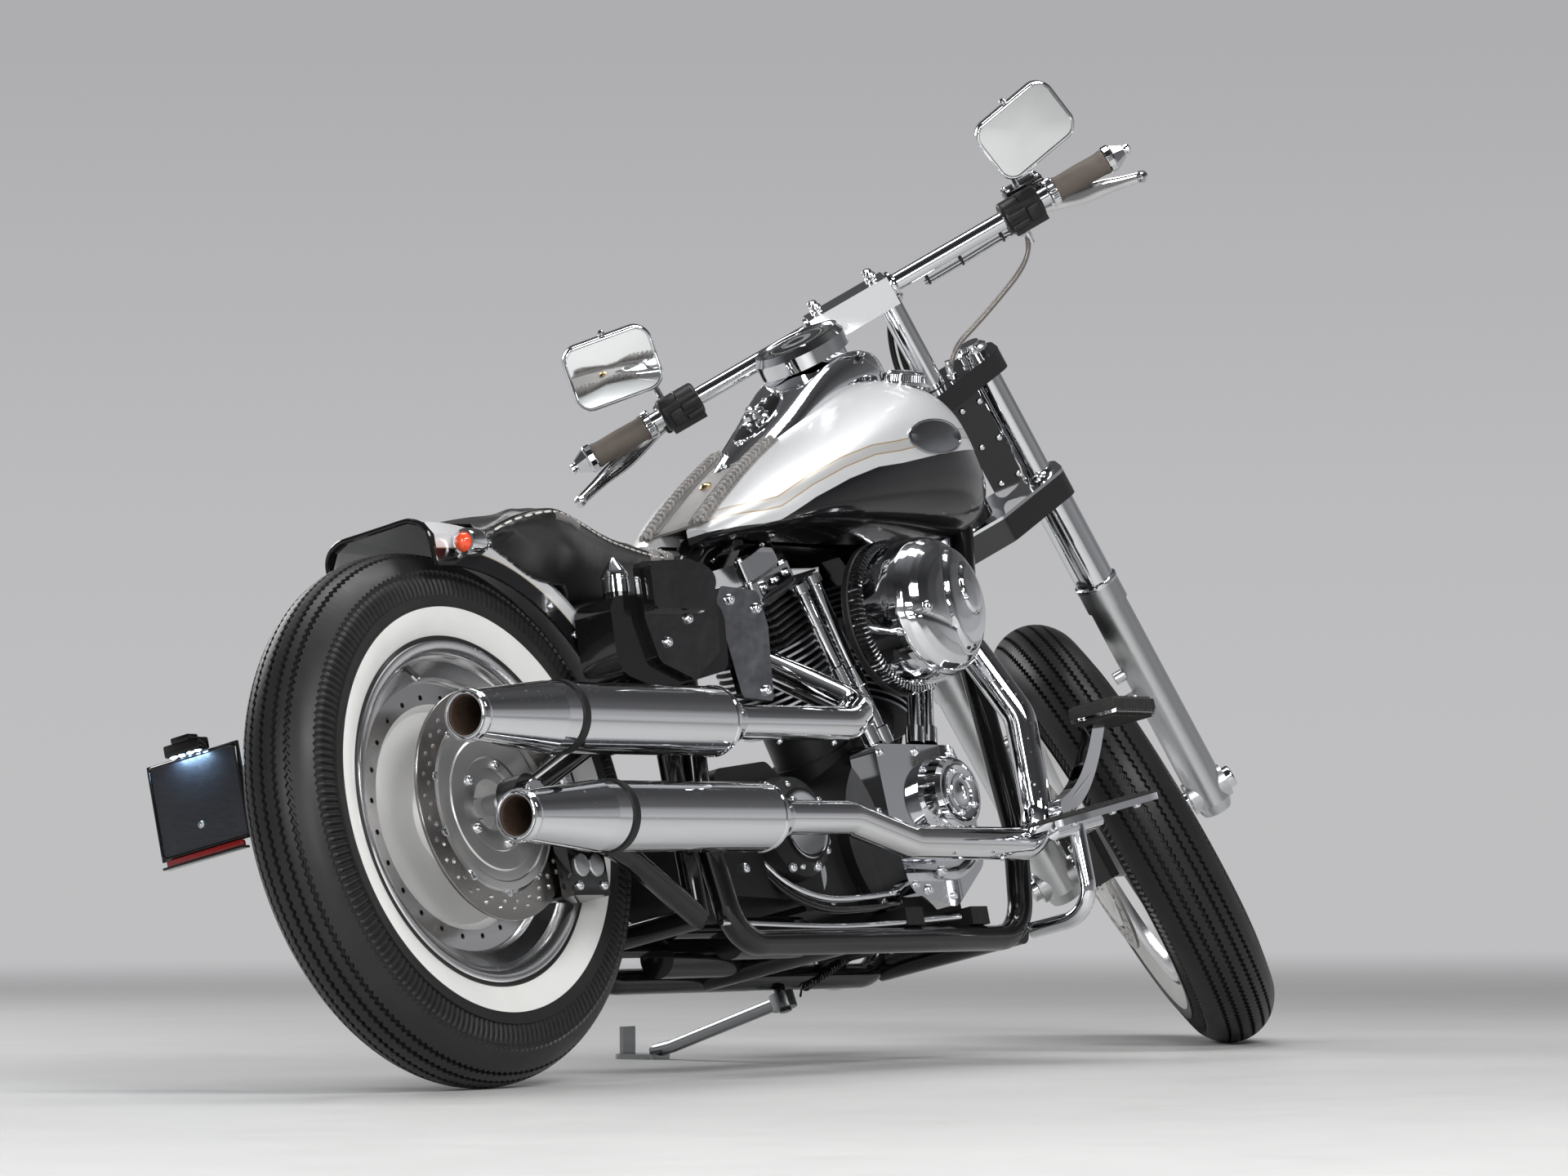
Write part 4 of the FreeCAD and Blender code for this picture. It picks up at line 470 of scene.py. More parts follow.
# Wheels and discs
def drilled_ring(name, inner, outer, levels, count, first, hole, place, body, material, rim):
    """A flat ring with real holes, each from the face's level in to the back's."""
    face, back = levels
    points = []
    faces = []
    for index in range(count):
        start = 2 * math.pi * (index + first) / count
        stop = 2 * math.pi * (index + 1 + first) / count
        corners = ((outer, start), (outer, stop), (inner, stop), (inner, start))
        outline = []
        for side, (radius, angle) in enumerate(corners):
            next_radius, next_angle = corners[(side + 1) % 4]
            for step in range(rim):
                part = step / rim
                outline.append((radius + (next_radius - radius) * part, angle + (next_angle - angle)
                                * part))
        base = len(points)
        flat = [Vector((radius * math.sin(angle), 0, radius * math.cos(angle))) for radius,
                angle in outline]
        angle = (start + stop) / 2
        middle = Vector((math.sin(angle), 0, math.cos(angle))) * (inner + outer) / 2
        edge = [middle + (spot - middle).normalized() * hole for spot in flat]
        for level, spots in ((face, flat), (face, edge), (back, edge)):
            points += [(spot.x, level, spot.z) for spot in spots]
        total = len(outline)
        for n in range(total):
            m = (n + 1) % total
            for ring in (base, base + total):
                faces.append((ring + n, ring + m, ring + total + m, ring + total + n))
    return solid(name, points, faces, place, body, material, 30)


def turned_metal(name, place, color, low, high, rings=900.0, depth=0.00006):
    """Metal turned on a lathe: fine rings about the axle of the wheel placed there."""
    f = Finish(name, color, 1.0, low, Anisotropic=0.35)
    p = f.place(place)
    x, _, z = f.parts(p)
    radius = f.radius(x, z)
    wave = f.math("SINE", f.math("MULTIPLY", radius, rings * 6.283))
    f.bump(wave, 0.15, depth)
    f.rough(f.noise(p, 30, 4), low, high)
    return f.mat


def wheel(which, place):
    """Solid disc wheel: polished rim, stepped dish and a ring of small drilled holes."""
    body = which + "_wheel"
    polished = turned_metal(which + "_polished", place, (0.86, 0.86, 0.87), 0.10, 0.24)
    half = [(0.0445, 0.2035), (0.0450, 0.2145), (0.0462, 0.2158), (0.0500, 0.2158), (0.0518, 0.2145),
            (0.0522, 0.2115), (0.0500, 0.2030), (0.0445, 0.1965), (0.0350, 0.1925), (0.0262, 0.1800),
            (0.0236, 0.1745), (0.0170, 0.1715), (0.0150, 0.1690), (0.0150, 0.1605)]
    inner = [(0.0150, 0.1425), (0.0135, 0.1400), (0.0080, 0.1340), (0.0065, 0.1260), (0.0062, 0.0760),
             (0.0085, 0.0660), (0.0200, 0.0560), (0.0560, 0.0400), (0.0580, 0.0380), (0.0580, 0.0135)]
    pieces = []
    for sign in (1, -1):
        pieces.append(lathe(which + "_rim", [(sign * a, r) for a, r in half][::sign], place, body,
                            polished, 160, 30))
        pieces.append(drilled_ring(which + "_holes", 0.1425, 0.1605, (sign * 0.0150, sign * 0.0105), 24, 0,
                                   0.0036, place, body, polished, 5))
    well = lathe(which + "_well", [(-0.0445, 0.2035), (-0.0200, 0.2030), (-0.0140, 0.1890),
                                   (0.0140, 0.1890),
                                   (0.0200, 0.2030), (0.0445, 0.2035)], place, body,
                 polished, 96, 30)
    rim = joined(which + "_rim", pieces + [well])
    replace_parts(rim, which + "_wheel")
    dish = joined(which + "_dish", [
        lathe(which + "_dish", [(sign * a, r) for a, r in inner][::sign], place, body,
              "dish", 96, 30) for sign in (1, -1)])


wheel("rear", REAR)
wheel("front", FRONT)


# Drawing helpers, in millimetres of one frame
ROW = Matrix.Identity(4)


def at(frame_matrix, x, y, z):
    """A point given in millimetres of a frame, in the row frame."""
    return frame_matrix @ Vector((x / 1000, y / 1000, z / 1000))


def way(frame_matrix, x, y, z):
    """A direction given in a frame, in the row frame."""
    return (frame_matrix.to_3x3() @ Vector((x, y, z))).normalized()


def curve_point(a, b, c, e, t):
    """A value between b and c, on the smooth curve through all four."""
    return 0.5 * (2 * b + (c - a) * t + (2 * a - 5 * b + 4 * c - e) * t * t + (3 * b - a - 3 * c + e)
                  * t ** 3)


def smooth_line(points, per=8):
    """A smooth line of row points through the given ones."""
    last = len(points) - 1
    line = []
    for index in range(last):
        four = [points[min(max(index + shift, 0), last)] for shift in (-1, 0, 1, 2)]
        line += [curve_point(*four, step / per) for step in range(per)]
    return line + [points[-1]]


def run(frame_matrix, route, per, side=1):
    """A smooth line through points in millimetres of a frame, mirrored to the right by side -1."""
    return smooth_line([at(frame_matrix, x, side * y, z) for x, y, z in route], per)


def facing(frame_matrix, places, *direction):
    """Spots for bolts: each place in millimetres of a frame, with the one direction they face."""
    axis = way(frame_matrix, *direction)
    return [(at(frame_matrix, *place), axis) for place in places]


def tube_mesh(line, radius, sides=10, closed=False):
    """Points and faces of a round bar along a line; radius is one value or one for each point."""
    points = []
    count = len(line)
    side = None
    for index, spot in enumerate(line):
        before = line[index - 1] if index or closed else spot
        after = line[(index + 1) % count] if index < count - 1 or closed else spot
        ahead = (after - before).normalized()
        if side is None:
            side = Vector((0, 0, 1)) if abs(ahead.z) < 0.9 else Vector((1, 0, 0))
        side = (side - ahead * side.dot(ahead)).normalized()
        other = ahead.cross(side)
        size = radius if isinstance(radius, (int, float)) else radius[index]
        for angle in turns(sides):
            points.append(spot + (side * math.cos(angle) + other * math.sin(angle)) * size)
    return points, skin_faces(count, sides, True, True) if closed else capped(count, sides)


def merged(parts):
    """Several (points, faces) lists as one."""
    points = []
    faces = []
    for some_points, some_faces in parts:
        base = len(points)
        points += some_points
        faces += [tuple(base + index for index in face) for face in some_faces]
    return points, faces


def build(name, parts, material, body="chassis", sharp=35):
    """One object from several (points, faces) forms."""
    points, faces = merged(parts)
    piece = solid(name, points, faces, ROW, body, material, sharp)
    return piece


def bar(name, line, radius, material, sides=10, closed=False, body="chassis"):
    """A round bar along a line."""
    return build(name, [tube_mesh(line, radius, sides, closed)], material, body)


def turned_parts(profile, spot, axis, steps=18, size_at=None):
    """A form turned about an axis: the profile lists (height, radius), in metres.

    A radius may change from step to step, as size_at(step, height, radius) says.
    """
    side = axis.orthogonal().normalized()
    other = axis.cross(side)
    points = []
    for step, angle in enumerate(turns(steps)):
        out = side * math.cos(angle) + other * math.sin(angle)
        for height, radius in profile:
            size = size_at(step, height, radius) if size_at else radius
            points.append(spot + axis * height + out * size)
    return points, skin_faces(steps, len(profile))


def turned(profile, spot, axis, steps=18):
    """A turned form whose profile is given in millimetres."""
    return turned_parts([(height / 1000, radius / 1000) for height, radius in profile], spot, axis, steps)


def bolts(name, spots, radius, body="chassis", material="chrome"):
    """Button-head screws with a socket, each at (place, axis)."""
    tall = radius * 0.8
    profile = [(-0.0005, radius), (tall * 0.45, radius), (tall * 0.85, radius * 0.82), (tall, radius * 0.6),
               (tall, radius * 0.42), (tall * 0.45, radius * 0.4), (tall * 0.4, 0)]
    parts = [turned_parts(profile, spot, axis) for spot, axis in spots]
    return build(name, parts, material, body, sharp=40)


def on_node(node, start, direction):
    """Where a ray from start first meets a carried-over node, with its normal there."""
    hit, spot, normal, _ = frame["nodes"][node].ray_cast(start, direction)
    return (spot, normal) if hit else (None, None)


def box_mesh(frame_matrix, low, high, bevel=2.0):
    """Points and faces of a box with bevelled edges, in millimetres of a frame."""
    form = bmesh.new()
    bmesh.ops.create_cube(form, size=1)
    for vertex in form.verts:
        for axis in range(3):
            vertex.co[axis] = (low[axis] + high[axis]) / 2 + vertex.co[axis] * (high[axis] - low[axis])
    bmesh.ops.bevel(form, geom=list(form.edges), offset=bevel, segments=2, profile=0.5, affect="EDGES")
    form.verts.index_update()
    points = [at(frame_matrix, *vertex.co) for vertex in form.verts]
    faces = [tuple(vertex.index for vertex in face.verts) for face in form.faces]
    form.free()
    return points, faces


# Brake discs
def brake_disc(which, place, sign):
    """Steel ring with pairs of small holes, a dark slot and a bolted polished carrier."""
    body = which + "_wheel"
    steel = turned_metal(which + "_rotor_steel", place, (0.44, 0.42, 0.40), 0.16, 0.32, 1400.0)
    carrier = turned_metal(which + "_carrier", place, (0.84, 0.83, 0.82), 0.26, 0.42, 500.0)
    face, back, out = (-0.0828, -0.0782, -0.0842) if sign < 0 else (0.0778, 0.0732, 0.0790)
    pieces = []
    for level in (face, back):
        for inner, outer, first in ((0.1175, 0.127, 0.0), (0.127, 0.1365, 0.35)):
            pieces.append(drilled_ring("disc", inner, outer, (level, (face + back) / 2), 30, first, 0.0036,
                                       place, body, steel, 4))
        for inner, outer in ((0.1365, 0.1455), (0.112, 0.1175)):
            pieces.append(lathe("disc", [(level, inner), (level, outer)], place, body, steel, 96))
    for profile in ([(face, 0.1455), (face * 0.995, 0.146), (back * 1.005, 0.146), (back, 0.1455)],
                    [(face, 0.112), (back, 0.112)]):
        pieces.append(lathe("disc", profile, place, body, steel, 96))
    ring = joined(which + "_disc_ring", pieces)
    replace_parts(ring, which + "_rotor")
    low = sign * 0.058
    profile = [(back, 0.108), (out, 0.1075), (out, 0.098), (face, 0.096), (face, 0.084), (out, 0.082),
               (out, 0.060), (face, 0.058), (face, 0.046), (low, 0.044), (low, 0.0325), (back, 0.0325),
               (back, 0.106)]
    hub = lathe(which + "_disc_carrier", profile, place, body, carrier, 96, 30)
    axis = way(place, 0, sign, 0)
    tabs = []
    for angle in turns(10):
        spot = place @ Vector((0.110 * math.sin(angle), face, 0.110 * math.cos(angle)))
        tabs.append(turned([(-4, 6.2), (0.6, 6.2), (1, 5.2), (1, 2.5), (0.4, 0)], spot, axis, 14))
    spots = [(place @ Vector((0.051 * math.sin(turn + 0.3), face, 0.051 * math.cos(turn + 0.3))), axis)
             for turn in turns(5)]
    build(which + "_disc_buttons", tabs, "chrome", body)
    bolts(which + "_disc_bolts", spots, 0.0062, body)


brake_disc("rear", REAR, -1)
brake_disc("front", FRONT, 1)


# Tank paint, badge and strap
GOLD = (0.42, 0.30, 0.15)


def silver_finish(name):
    """The light flake paint: the finish with the flake's noise and the silver colour."""
    f = Finish(name, (0.7, 0.7, 0.7), 0.0, 0.3, Coat_Weight=0.4, Coat_Roughness=0.04,
               Specular_IOR_Level=0.35)
    p = f.place()
    flake = f.noise(p, 2600, 2)
    silver = f.mix(f.math("MULTIPLY", flake, f.noise(p, 7, 3)), (0.66, 0.665, 0.675), (0.86, 0.865, 0.87))
    return f, flake, silver


def over_black(f, flake, white, tone):
    """The tone where white is 1, black gloss elsewhere."""
    f.color(f.mix(white, (0.008, 0.008, 0.009), tone))
    f.put(f.math("MULTIPLY", white, 0.35), f.shader.inputs["Metallic"])
    f.rough(f.math("ADD", f.math("MULTIPLY", white, 0.75), f.math("MULTIPLY", flake, 0.25)), 0.12, 0.40)
    f.bump(flake, 0.03, 0.0001)
    return f.mat


def tank_paint():
    """Silver white over black with a gold-edged grey band; the border follows the tank's side."""
    f, flake, silver = silver_finish("tank_two_tone")
    x, _, z = f.parts(f.place(BIKE))
    share = f.math("DIVIDE", f.math("SUBTRACT", x, 0.6), 0.6)
    stops = ((0.0, 0.060), (0.09, 0.064), (0.13, 0.080), (0.22, 0.215), (0.327, 0.335), (0.43, 0.42),
             (0.52, 0.455), (0.67, 0.535), (0.875, 0.63), (1.0, 0.66))
    level = f.ramp(share, [(position, (height, height, height)) for position, height in stops])
    border = f.math("ADD", f.math("MULTIPLY", level, 0.2), 0.7)
    above = f.math("SUBTRACT", z, border)
    band = f.between(above, 0.017, 0.031, 0.0003)
    edges = [f.between(above, low, low + 0.0016, 0.0003) for low in (0.0164, 0.0302)]
    tone = f.mix(f.math("MAXIMUM", *edges), f.mix(band, silver, (0.56, 0.555, 0.545)), GOLD)
    return over_black(f, flake, f.between(above, 0.0, 5.0, 0.0003), tone)


dress("fuel_tank", tank_paint())


def badge(side):
    """A plain raised oval with a rim on the tank's side."""
    points = []
    steps = 56
    profile = ((1.0, -0.4), (1.0, 2.4), (0.97, 3.2), (0.93, 3.2), (0.90, 1.6), (0.6, 2.0), (0.3, 2.3),
               (0.02, 2.4))
    for size, lift in profile:
        for angle in turns(steps):
            x = 1004 + 68 * size * math.cos(angle)
            z = 832 + 6 * math.cos(angle) * size + 25 * size * math.sin(angle)
            spot, normal = on_node("fuel_tank", at(BIKE, x, side * 400, z), way(BIKE, 0, -side, 0))
            points.append(spot + normal * lift / 1000)
    faces = capped(len(profile), steps, first=False)
    piece = solid("badge_" + SIDES[side], points, faces, ROW, "chassis",
                  cast_alloy("badge_metal", (0.42, 0.43, 0.45), 0.12, 0.28), 40)


for each_side in SIDES:
    badge(each_side)


# Saddle, in rows of forward, half width, base, middle and edge
SEAT_ROWS = ((46, 102, 650, 712, 688), (100, 127, 642, 716, 708), (160, 142, 618, 704, 716),
             (240, 124, 602, 680, 707), (310, 106, 604, 666, 695), (380, 92, 612, 662, 688),
             (450, 80, 628, 672, 684), (505, 68, 646, 692, 686), (550, 52, 666, 705, 696))


def between_rows(x):
    """Half width, base, middle and edge of the saddle at x, on smooth lines through its rows."""
    last = len(SEAT_ROWS) - 1
    index = 0
    while index < last - 1 and SEAT_ROWS[index + 1][0] < x:
        index += 1
    four = [SEAT_ROWS[min(max(index + shift, 0), last)] for shift in (-1, 0, 1, 2)]
    t = min(max((x - four[1][0]) / (four[2][0] - four[1][0]), 0), 1)
    return [curve_point(*values, t) for values in zip(*four)][1:]


def seat_ring(x, shrink):
    """Points round the saddle at x: dished top, raised edges, flat base."""
    half, low, middle, edge = between_rows(x)
    half -= shrink
    low += shrink
    middle -= shrink
    edge -= shrink
    rise = edge - middle
    ring = [(0, middle), (0.25, middle + rise * 0.06), (0.5, middle + rise * 0.3),
            (0.72, middle + rise * 0.72),
            (0.88, edge), (0.96, edge - 3), (1.0, edge - 12), (0.99, edge - 26), (0.93, (edge + low) / 2
                    + 6),
            (0.72, low + 22), (0.60, low + 6), (0.5, low), (0, low)]
    right = [(x, share * half, z) for share, z in ring]
    return right + [(x, -y, z) for x, y, z in right[-2:0:-1]]


FENDER_HALF = 0.0845
FENDER_TOP = 0.3695
CROWN_HALF = 0.052
CLOTH_FRAMES = 20


def puffed(piece, pressure, cap, voxel):
    """Swell a closed form a little as stretched leather over padding; the result is kept in its mesh."""
    remesh = piece.modifiers.new("remesh", "REMESH")
    remesh.mode = "VOXEL"
    remesh.voxel_size = voxel
    bpy.context.view_layer.objects.active = piece
    bpy.ops.object.modifier_apply(modifier="remesh")
    start = [vertex.co.copy() for vertex in piece.data.vertices]
    cloth = piece.modifiers.new("cloth", "CLOTH")
    cloth.settings.use_pressure = True
    cloth.settings.uniform_pressure_force = pressure
    cloth.settings.effector_weights.gravity = 0
    cloth.settings.quality = 5
    scene = bpy.context.scene
    scene.frame_start = 1
    scene.frame_end = CLOTH_FRAMES
    for frame_number in range(1, CLOTH_FRAMES + 1):
        scene.frame_set(frame_number)
    bpy.ops.object.modifier_apply(modifier="cloth")
    for vertex, origin in zip(piece.data.vertices, start):
        move = vertex.co - origin
        if move.length > cap:
            vertex.co = origin + move.normalized() * cap
    scene.frame_set(1)


def saddle():
    """The saddle's padded body, swelled from a slightly smaller form."""
    xs = [46, 60, 76, 96, 118, 140, 162, 190, 220, 250, 280, 310, 345, 380, 415, 450, 478, 505, 528, 550]
    points = []
    for x in xs:
        points += seat_ring(x, 2.5)
    faces = capped(len(xs), len(points) // len(xs))
    scaled = [(x / 1000, y / 1000, z / 1000) for x, y, z in points]
    piece = solid("saddle", scaled, faces, BIKE, "chassis", "saddle", 60)
    smooth = piece.modifiers.new("smooth", "SUBSURF")
    smooth.levels = 2
    bpy.context.view_layer.objects.active = piece
    piece.select_set(True)
    bpy.ops.object.modifier_apply(modifier="smooth")
    puffed(piece, 4.0, 0.004, 0.006)
    more = piece.modifiers.new("smooth", "SUBSURF")
    more.levels = 1
    bpy.ops.object.modifier_apply(modifier="smooth")
    keep_off_fender(piece)
    piece.data.shade_smooth()
    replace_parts(piece, "seat")
    return piece


def keep_off_fender(piece):
    """Lift whatever would dip into the rear fender's crown."""
    for vertex in piece.data.vertices:
        away = vertex.co - REAR.translation
        across = abs((BIKE.inverted() @ vertex.co).y)
        if across < FENDER_HALF:
            room = FENDER_TOP - max(across - CROWN_HALF, 0) * 0.25
            flat = BIKE.inverted().to_3x3() @ away
            flat.y = 0
            if flat.length < room:
                vertex.co += BIKE.to_3x3() @ (flat.normalized() * (room - flat.length))


def surface_of(piece):
    """A search tree over a piece's mesh."""
    mesh = piece.data
    return BVHTree.FromPolygons([vertex.co for vertex in mesh.vertices], [face.vertices[:]
            for face in mesh.polygons])


SADDLE_SKIN = surface_of(saddle())
EDGE_STITCH = (0.0160, 0.0118, 0.0016)


def on_skin(tree, start, direction, lift=0.0):
    """A point lifted off a mesh where a ray first meets it."""
    spot, normal, _, _ = tree.ray_cast(start, direction)
    return None if spot is None else spot + normal * lift


def saddle_line(rays, lift):
    """The points where rays meet the saddle, lifted off it; a ray that misses is left out."""
    spots = [on_skin(SADDLE_SKIN, start, direction, lift) for start, direction in rays]
    return [spot for spot in spots if spot is not None]


def even_steps(line, gap):
    """Points at even distances along a line, each with its direction."""
    marks = []
    travelled = 0.0
    wanted = gap / 2
    for a, b in zip(line, line[1:]):
        long = (b - a).length
        while long > 0 and wanted <= travelled + long:
            marks.append((a.lerp(b, (wanted - travelled) / long), (b - a).normalized()))
            wanted += gap
        travelled += long
    return marks


def stitches(name, line, pitch, length, thick):
    """A row of separate thread stitches lying along a line."""
    parts = []
    for spot, ahead in even_steps(line, pitch):
        half = ahead * length / 2
        row = [spot + half * share for share in (-1, -0.8, 0, 0.8, 1)]
        parts.append(tube_mesh(row, [thick * share for share in (0.35, 0.85, 1, 0.85, 0.35)], 6))
    build(name, parts, "thread")


def saddle_side_line(side, down, lift=0.0012):
    """A line on the saddle's side, a given distance under its raised edge."""
    xs = [70 + 400 * step / 60 for step in range(61)]
    rays = [(at(BIKE, x, side * 300, between_rows(x)[3] - down), way(BIKE, 0, -side, 0)) for x in xs]
    return saddle_line(rays, lift)


def saddle_trim():
    """Rolled rim, stitched edge and the grey bands over the nose."""
    for side, name in SIDES.items():
        rays = []
        for step in range(61):
            x = 56 + 430 * step / 60
            half, _, _, edge = between_rows(x)
            rays.append((at(BIKE, x, side * half * 0.95, edge + 60), way(BIKE, 0, 0, -1)))
        bar("saddle_rim_" + name, saddle_line(rays, -0.0012), 0.0055, "strap", 12)
        stitches("saddle_stitch_" + name, saddle_side_line(side, 16), *EDGE_STITCH)
        bar("saddle_seam_" + name, saddle_side_line(side, 11, 0.0002), 0.0011, "saddle", 6)
    rays = [(at(BIKE, 10, -84 + 168 * step / 32, 684), way(BIKE, 1, 0, 0)) for step in range(33)]
    stitches("saddle_stitch_rear", saddle_line(rays, 0.0012), *EDGE_STITCH)
    for index, x in enumerate((444, 486)):
        nose_band(index, x)


def nose_band(index, x):
    """A stitched band of grey leather over the saddle's nose."""
    points = []
    steps = 45
    shifts = (-15, -13, 0, 13, 15)
    for step in range(steps):
        angle = math.pi * (-0.06 + 1.12 * step / (steps - 1))
        ray = way(BIKE, 0, math.cos(angle), math.sin(angle))
        for shift in shifts:
            centre = at(BIKE, x + shift, 0, 652)
            spot = on_skin(SADDLE_SKIN, centre + ray * 0.3, -ray, 0 if abs(shift) == 15 else 0.0022)
            points.append(centre + ray * 0.06 if spot is None else spot)
    faces = skin_faces(steps, len(shifts), False)
    piece = solid(f"saddle_band_{index}", points, faces, ROW, "chassis", "strap", 60)
    for column in (1, 3):
        away = (points[2] - points[column]).normalized() * 0.0025
        line = [point + away for point in points[column::len(shifts)]]
        stitches(f"saddle_band_stitch_{index}_{column}", line, 0.0072, 0.0046, 0.0008)


saddle_trim()


# Tank strap
TANK_SKIN = surface_of(frame["nodes"]["fuel_tank"])
STRAP_SKIN = surface_of(frame["nodes"]["tank_strap"])
STRAP_END = 603


def strap_point(x, y, lift):
    """A point over the tank's top, at a height above the paint."""
    forward = max(x, STRAP_END)
    start = at(BIKE, forward, y, 1100)
    down = way(BIKE, 0, 0, -1)
    spot, normal, _, _ = STRAP_SKIN.ray_cast(start, down)
    thick = 0.004
    if spot is None:
        spot, normal, _, _ = TANK_SKIN.ray_cast(start, down)
        thick = 0
    if spot is None:
        spot = at(BIKE, forward, y, 712)
        normal = -down
    point = spot + normal * (lift - thick)
    if x < STRAP_END:
        point += BIKE.to_3x3() @ Vector(((x - STRAP_END) / 1000, 0, (x - STRAP_END) / 1000 * 0.9))
    return point


def tank_strap():
    """Grey leather strap with a curved lower end."""
    columns = 29
    rows = 42
    places = []
    for row in range(rows):
        for column in range(columns):
            y = -54 + 108 * column / (columns - 1)
            end = 596 + 8 * (y / 54) ** 2
            places.append((end + (800 - end) * row / (rows - 1), y))
    top = [strap_point(x, y, 0.0042 if abs(y) < 53 else 0.0022) for x, y in places]
    low = [strap_point(x, y, 0.0004) for x, y in places]
    count = len(top)
    faces = skin_faces(rows, columns, False)
    faces += [tuple(count + index for index in face) for face in faces]
    border = list(range(columns)) + [row * columns + columns - 1 for row in range(1, rows)]
    border += [(rows - 1) * columns + column for column in range(columns - 2, -1, -1)]
    border += [row * columns for row in range(rows - 2, 0, -1)]
    for first, second in zip(border, border[1:] + border[:1]):
        faces.append((first, second, count + second, count + first))
    piece = solid("strap_leather", top + low, faces, ROW, "chassis", "strap", 60)
    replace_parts(piece, "tank_strap")


def braid(side):
    """Three laces twisted round each other along one edge, with two fine bead rows beside them."""
    laces = []
    steps = 200
    for phase in turns(3):
        line = []
        for step in range(steps):
            x = 598 + 198 * step / (steps - 1)
            turn = x / 26 * 2 * math.pi + phase
            y = side * (44.0 + 7.0 * math.cos(turn))
            line.append(strap_point(x, y, 0.0070 + 0.0024 * math.sin(2 * turn)))
        laces.append(tube_mesh(line, 0.0036, 7))
    count = 260
    for across, size in ((30.5, 0.0019), (26.0, 0.0014)):
        beads = [strap_point(600 + 194 * step / (count - 1), side * across, 0.0050)
                 for step in range(count)]
        radii = [size * (0.55 + 0.7 * (step % 3 == 1)) for step in range(count)]
        laces.append(tube_mesh(beads, radii, 6))
    build("strap_braid_" + SIDES[side], laces, "strap")


tank_strap()
for each_side in SIDES:
    braid(each_side)
build("strap_stud", [turned([(3, 8.5), (5.5, 8.5), (8, 6), (9, 3.5), (8.5, 2), (8.5, 0)],
                            strap_point(690, 0, 0), way(BIKE, -0.45, 0, 0.9), 20)],
      chrome("brass", (0.62, 0.45, 0.20), 0.16, 0.3))


# Rear fender
FENDER_LINE = 0.3240


def fender_paint():
    """Silver white crown over black sides, divided by a fine line."""
    f, flake, silver = silver_finish("fender_two_tone")
    x, _, z = f.parts(f.place(REAR))
    radius = f.radius(x, z)
    crown = f.between(radius, FENDER_LINE, 0.5, 0.0003)
    tail = f.between(x, -0.024, 2.0, 0.0004)
    line = f.between(radius, FENDER_LINE, FENDER_LINE + 0.0012, 0.0002)
    return over_black(f, flake, f.math("MULTIPLY", crown, tail), f.mix(line, silver, GOLD))


dress("rear_fender", fender_paint())


def fender_edges():
    """Rolled lip across the fender's tail, and the bolts along its skirts."""
    angle = math.radians(95.4)
    half = [(-83, 304), (-83, 330), (-81, 346), (-74, 357), (-62, 364), (-50, 366.5), (-20, 366.5)]
    outline = half + [(-y, r) for y, r in reversed(half)]
    line = smooth_line([at(REAR, r * math.cos(angle), y, r * math.sin(angle)) for y, r in outline], 5)
    bar("fender_lip", line, 0.0034, "black", 10)
    spots = []
    for side in SIDES:
        turned_by = [math.radians(lean) for lean in (34, 44, 54)]
        spots += facing(REAR, [(316 * math.cos(turn), side * 84, 316 * math.sin(turn))
                               for turn in turned_by],
                        0, side, 0)
    bolts("fender_bolts", spots, 0.0048)


fender_edges()


# Rider's controls, in the fork's frame
BAR_F = 15
BAR_Z = 893


def mirror_outline(side, shrink):
    """The mirror's rounded outline as (across, up) points, drawn in by shrink."""
    rounding = 24
    per = 9
    corners = [Vector((side * (331 + across), 991 + up))
               for across, up in ((-56, -59), (72, -36), (56, 59), (-72, 36))]
    outline = []
    for index, corner in enumerate(corners):
        before = (corners[index - 1] - corner).normalized()
        after = (corners[(index + 1) % 4] - corner).normalized()
        half = before.angle(after) / 2
        centre = corner + (before + after).normalized() * (rounding / math.sin(half))
        start = corner + before * (rounding / math.tan(half)) - centre
        stop = corner + after * (rounding / math.tan(half)) - centre
        for step in range(per):
            outline.append(centre + start.lerp(stop, step / (per - 1)).normalized() * (rounding - shrink))
    return outline


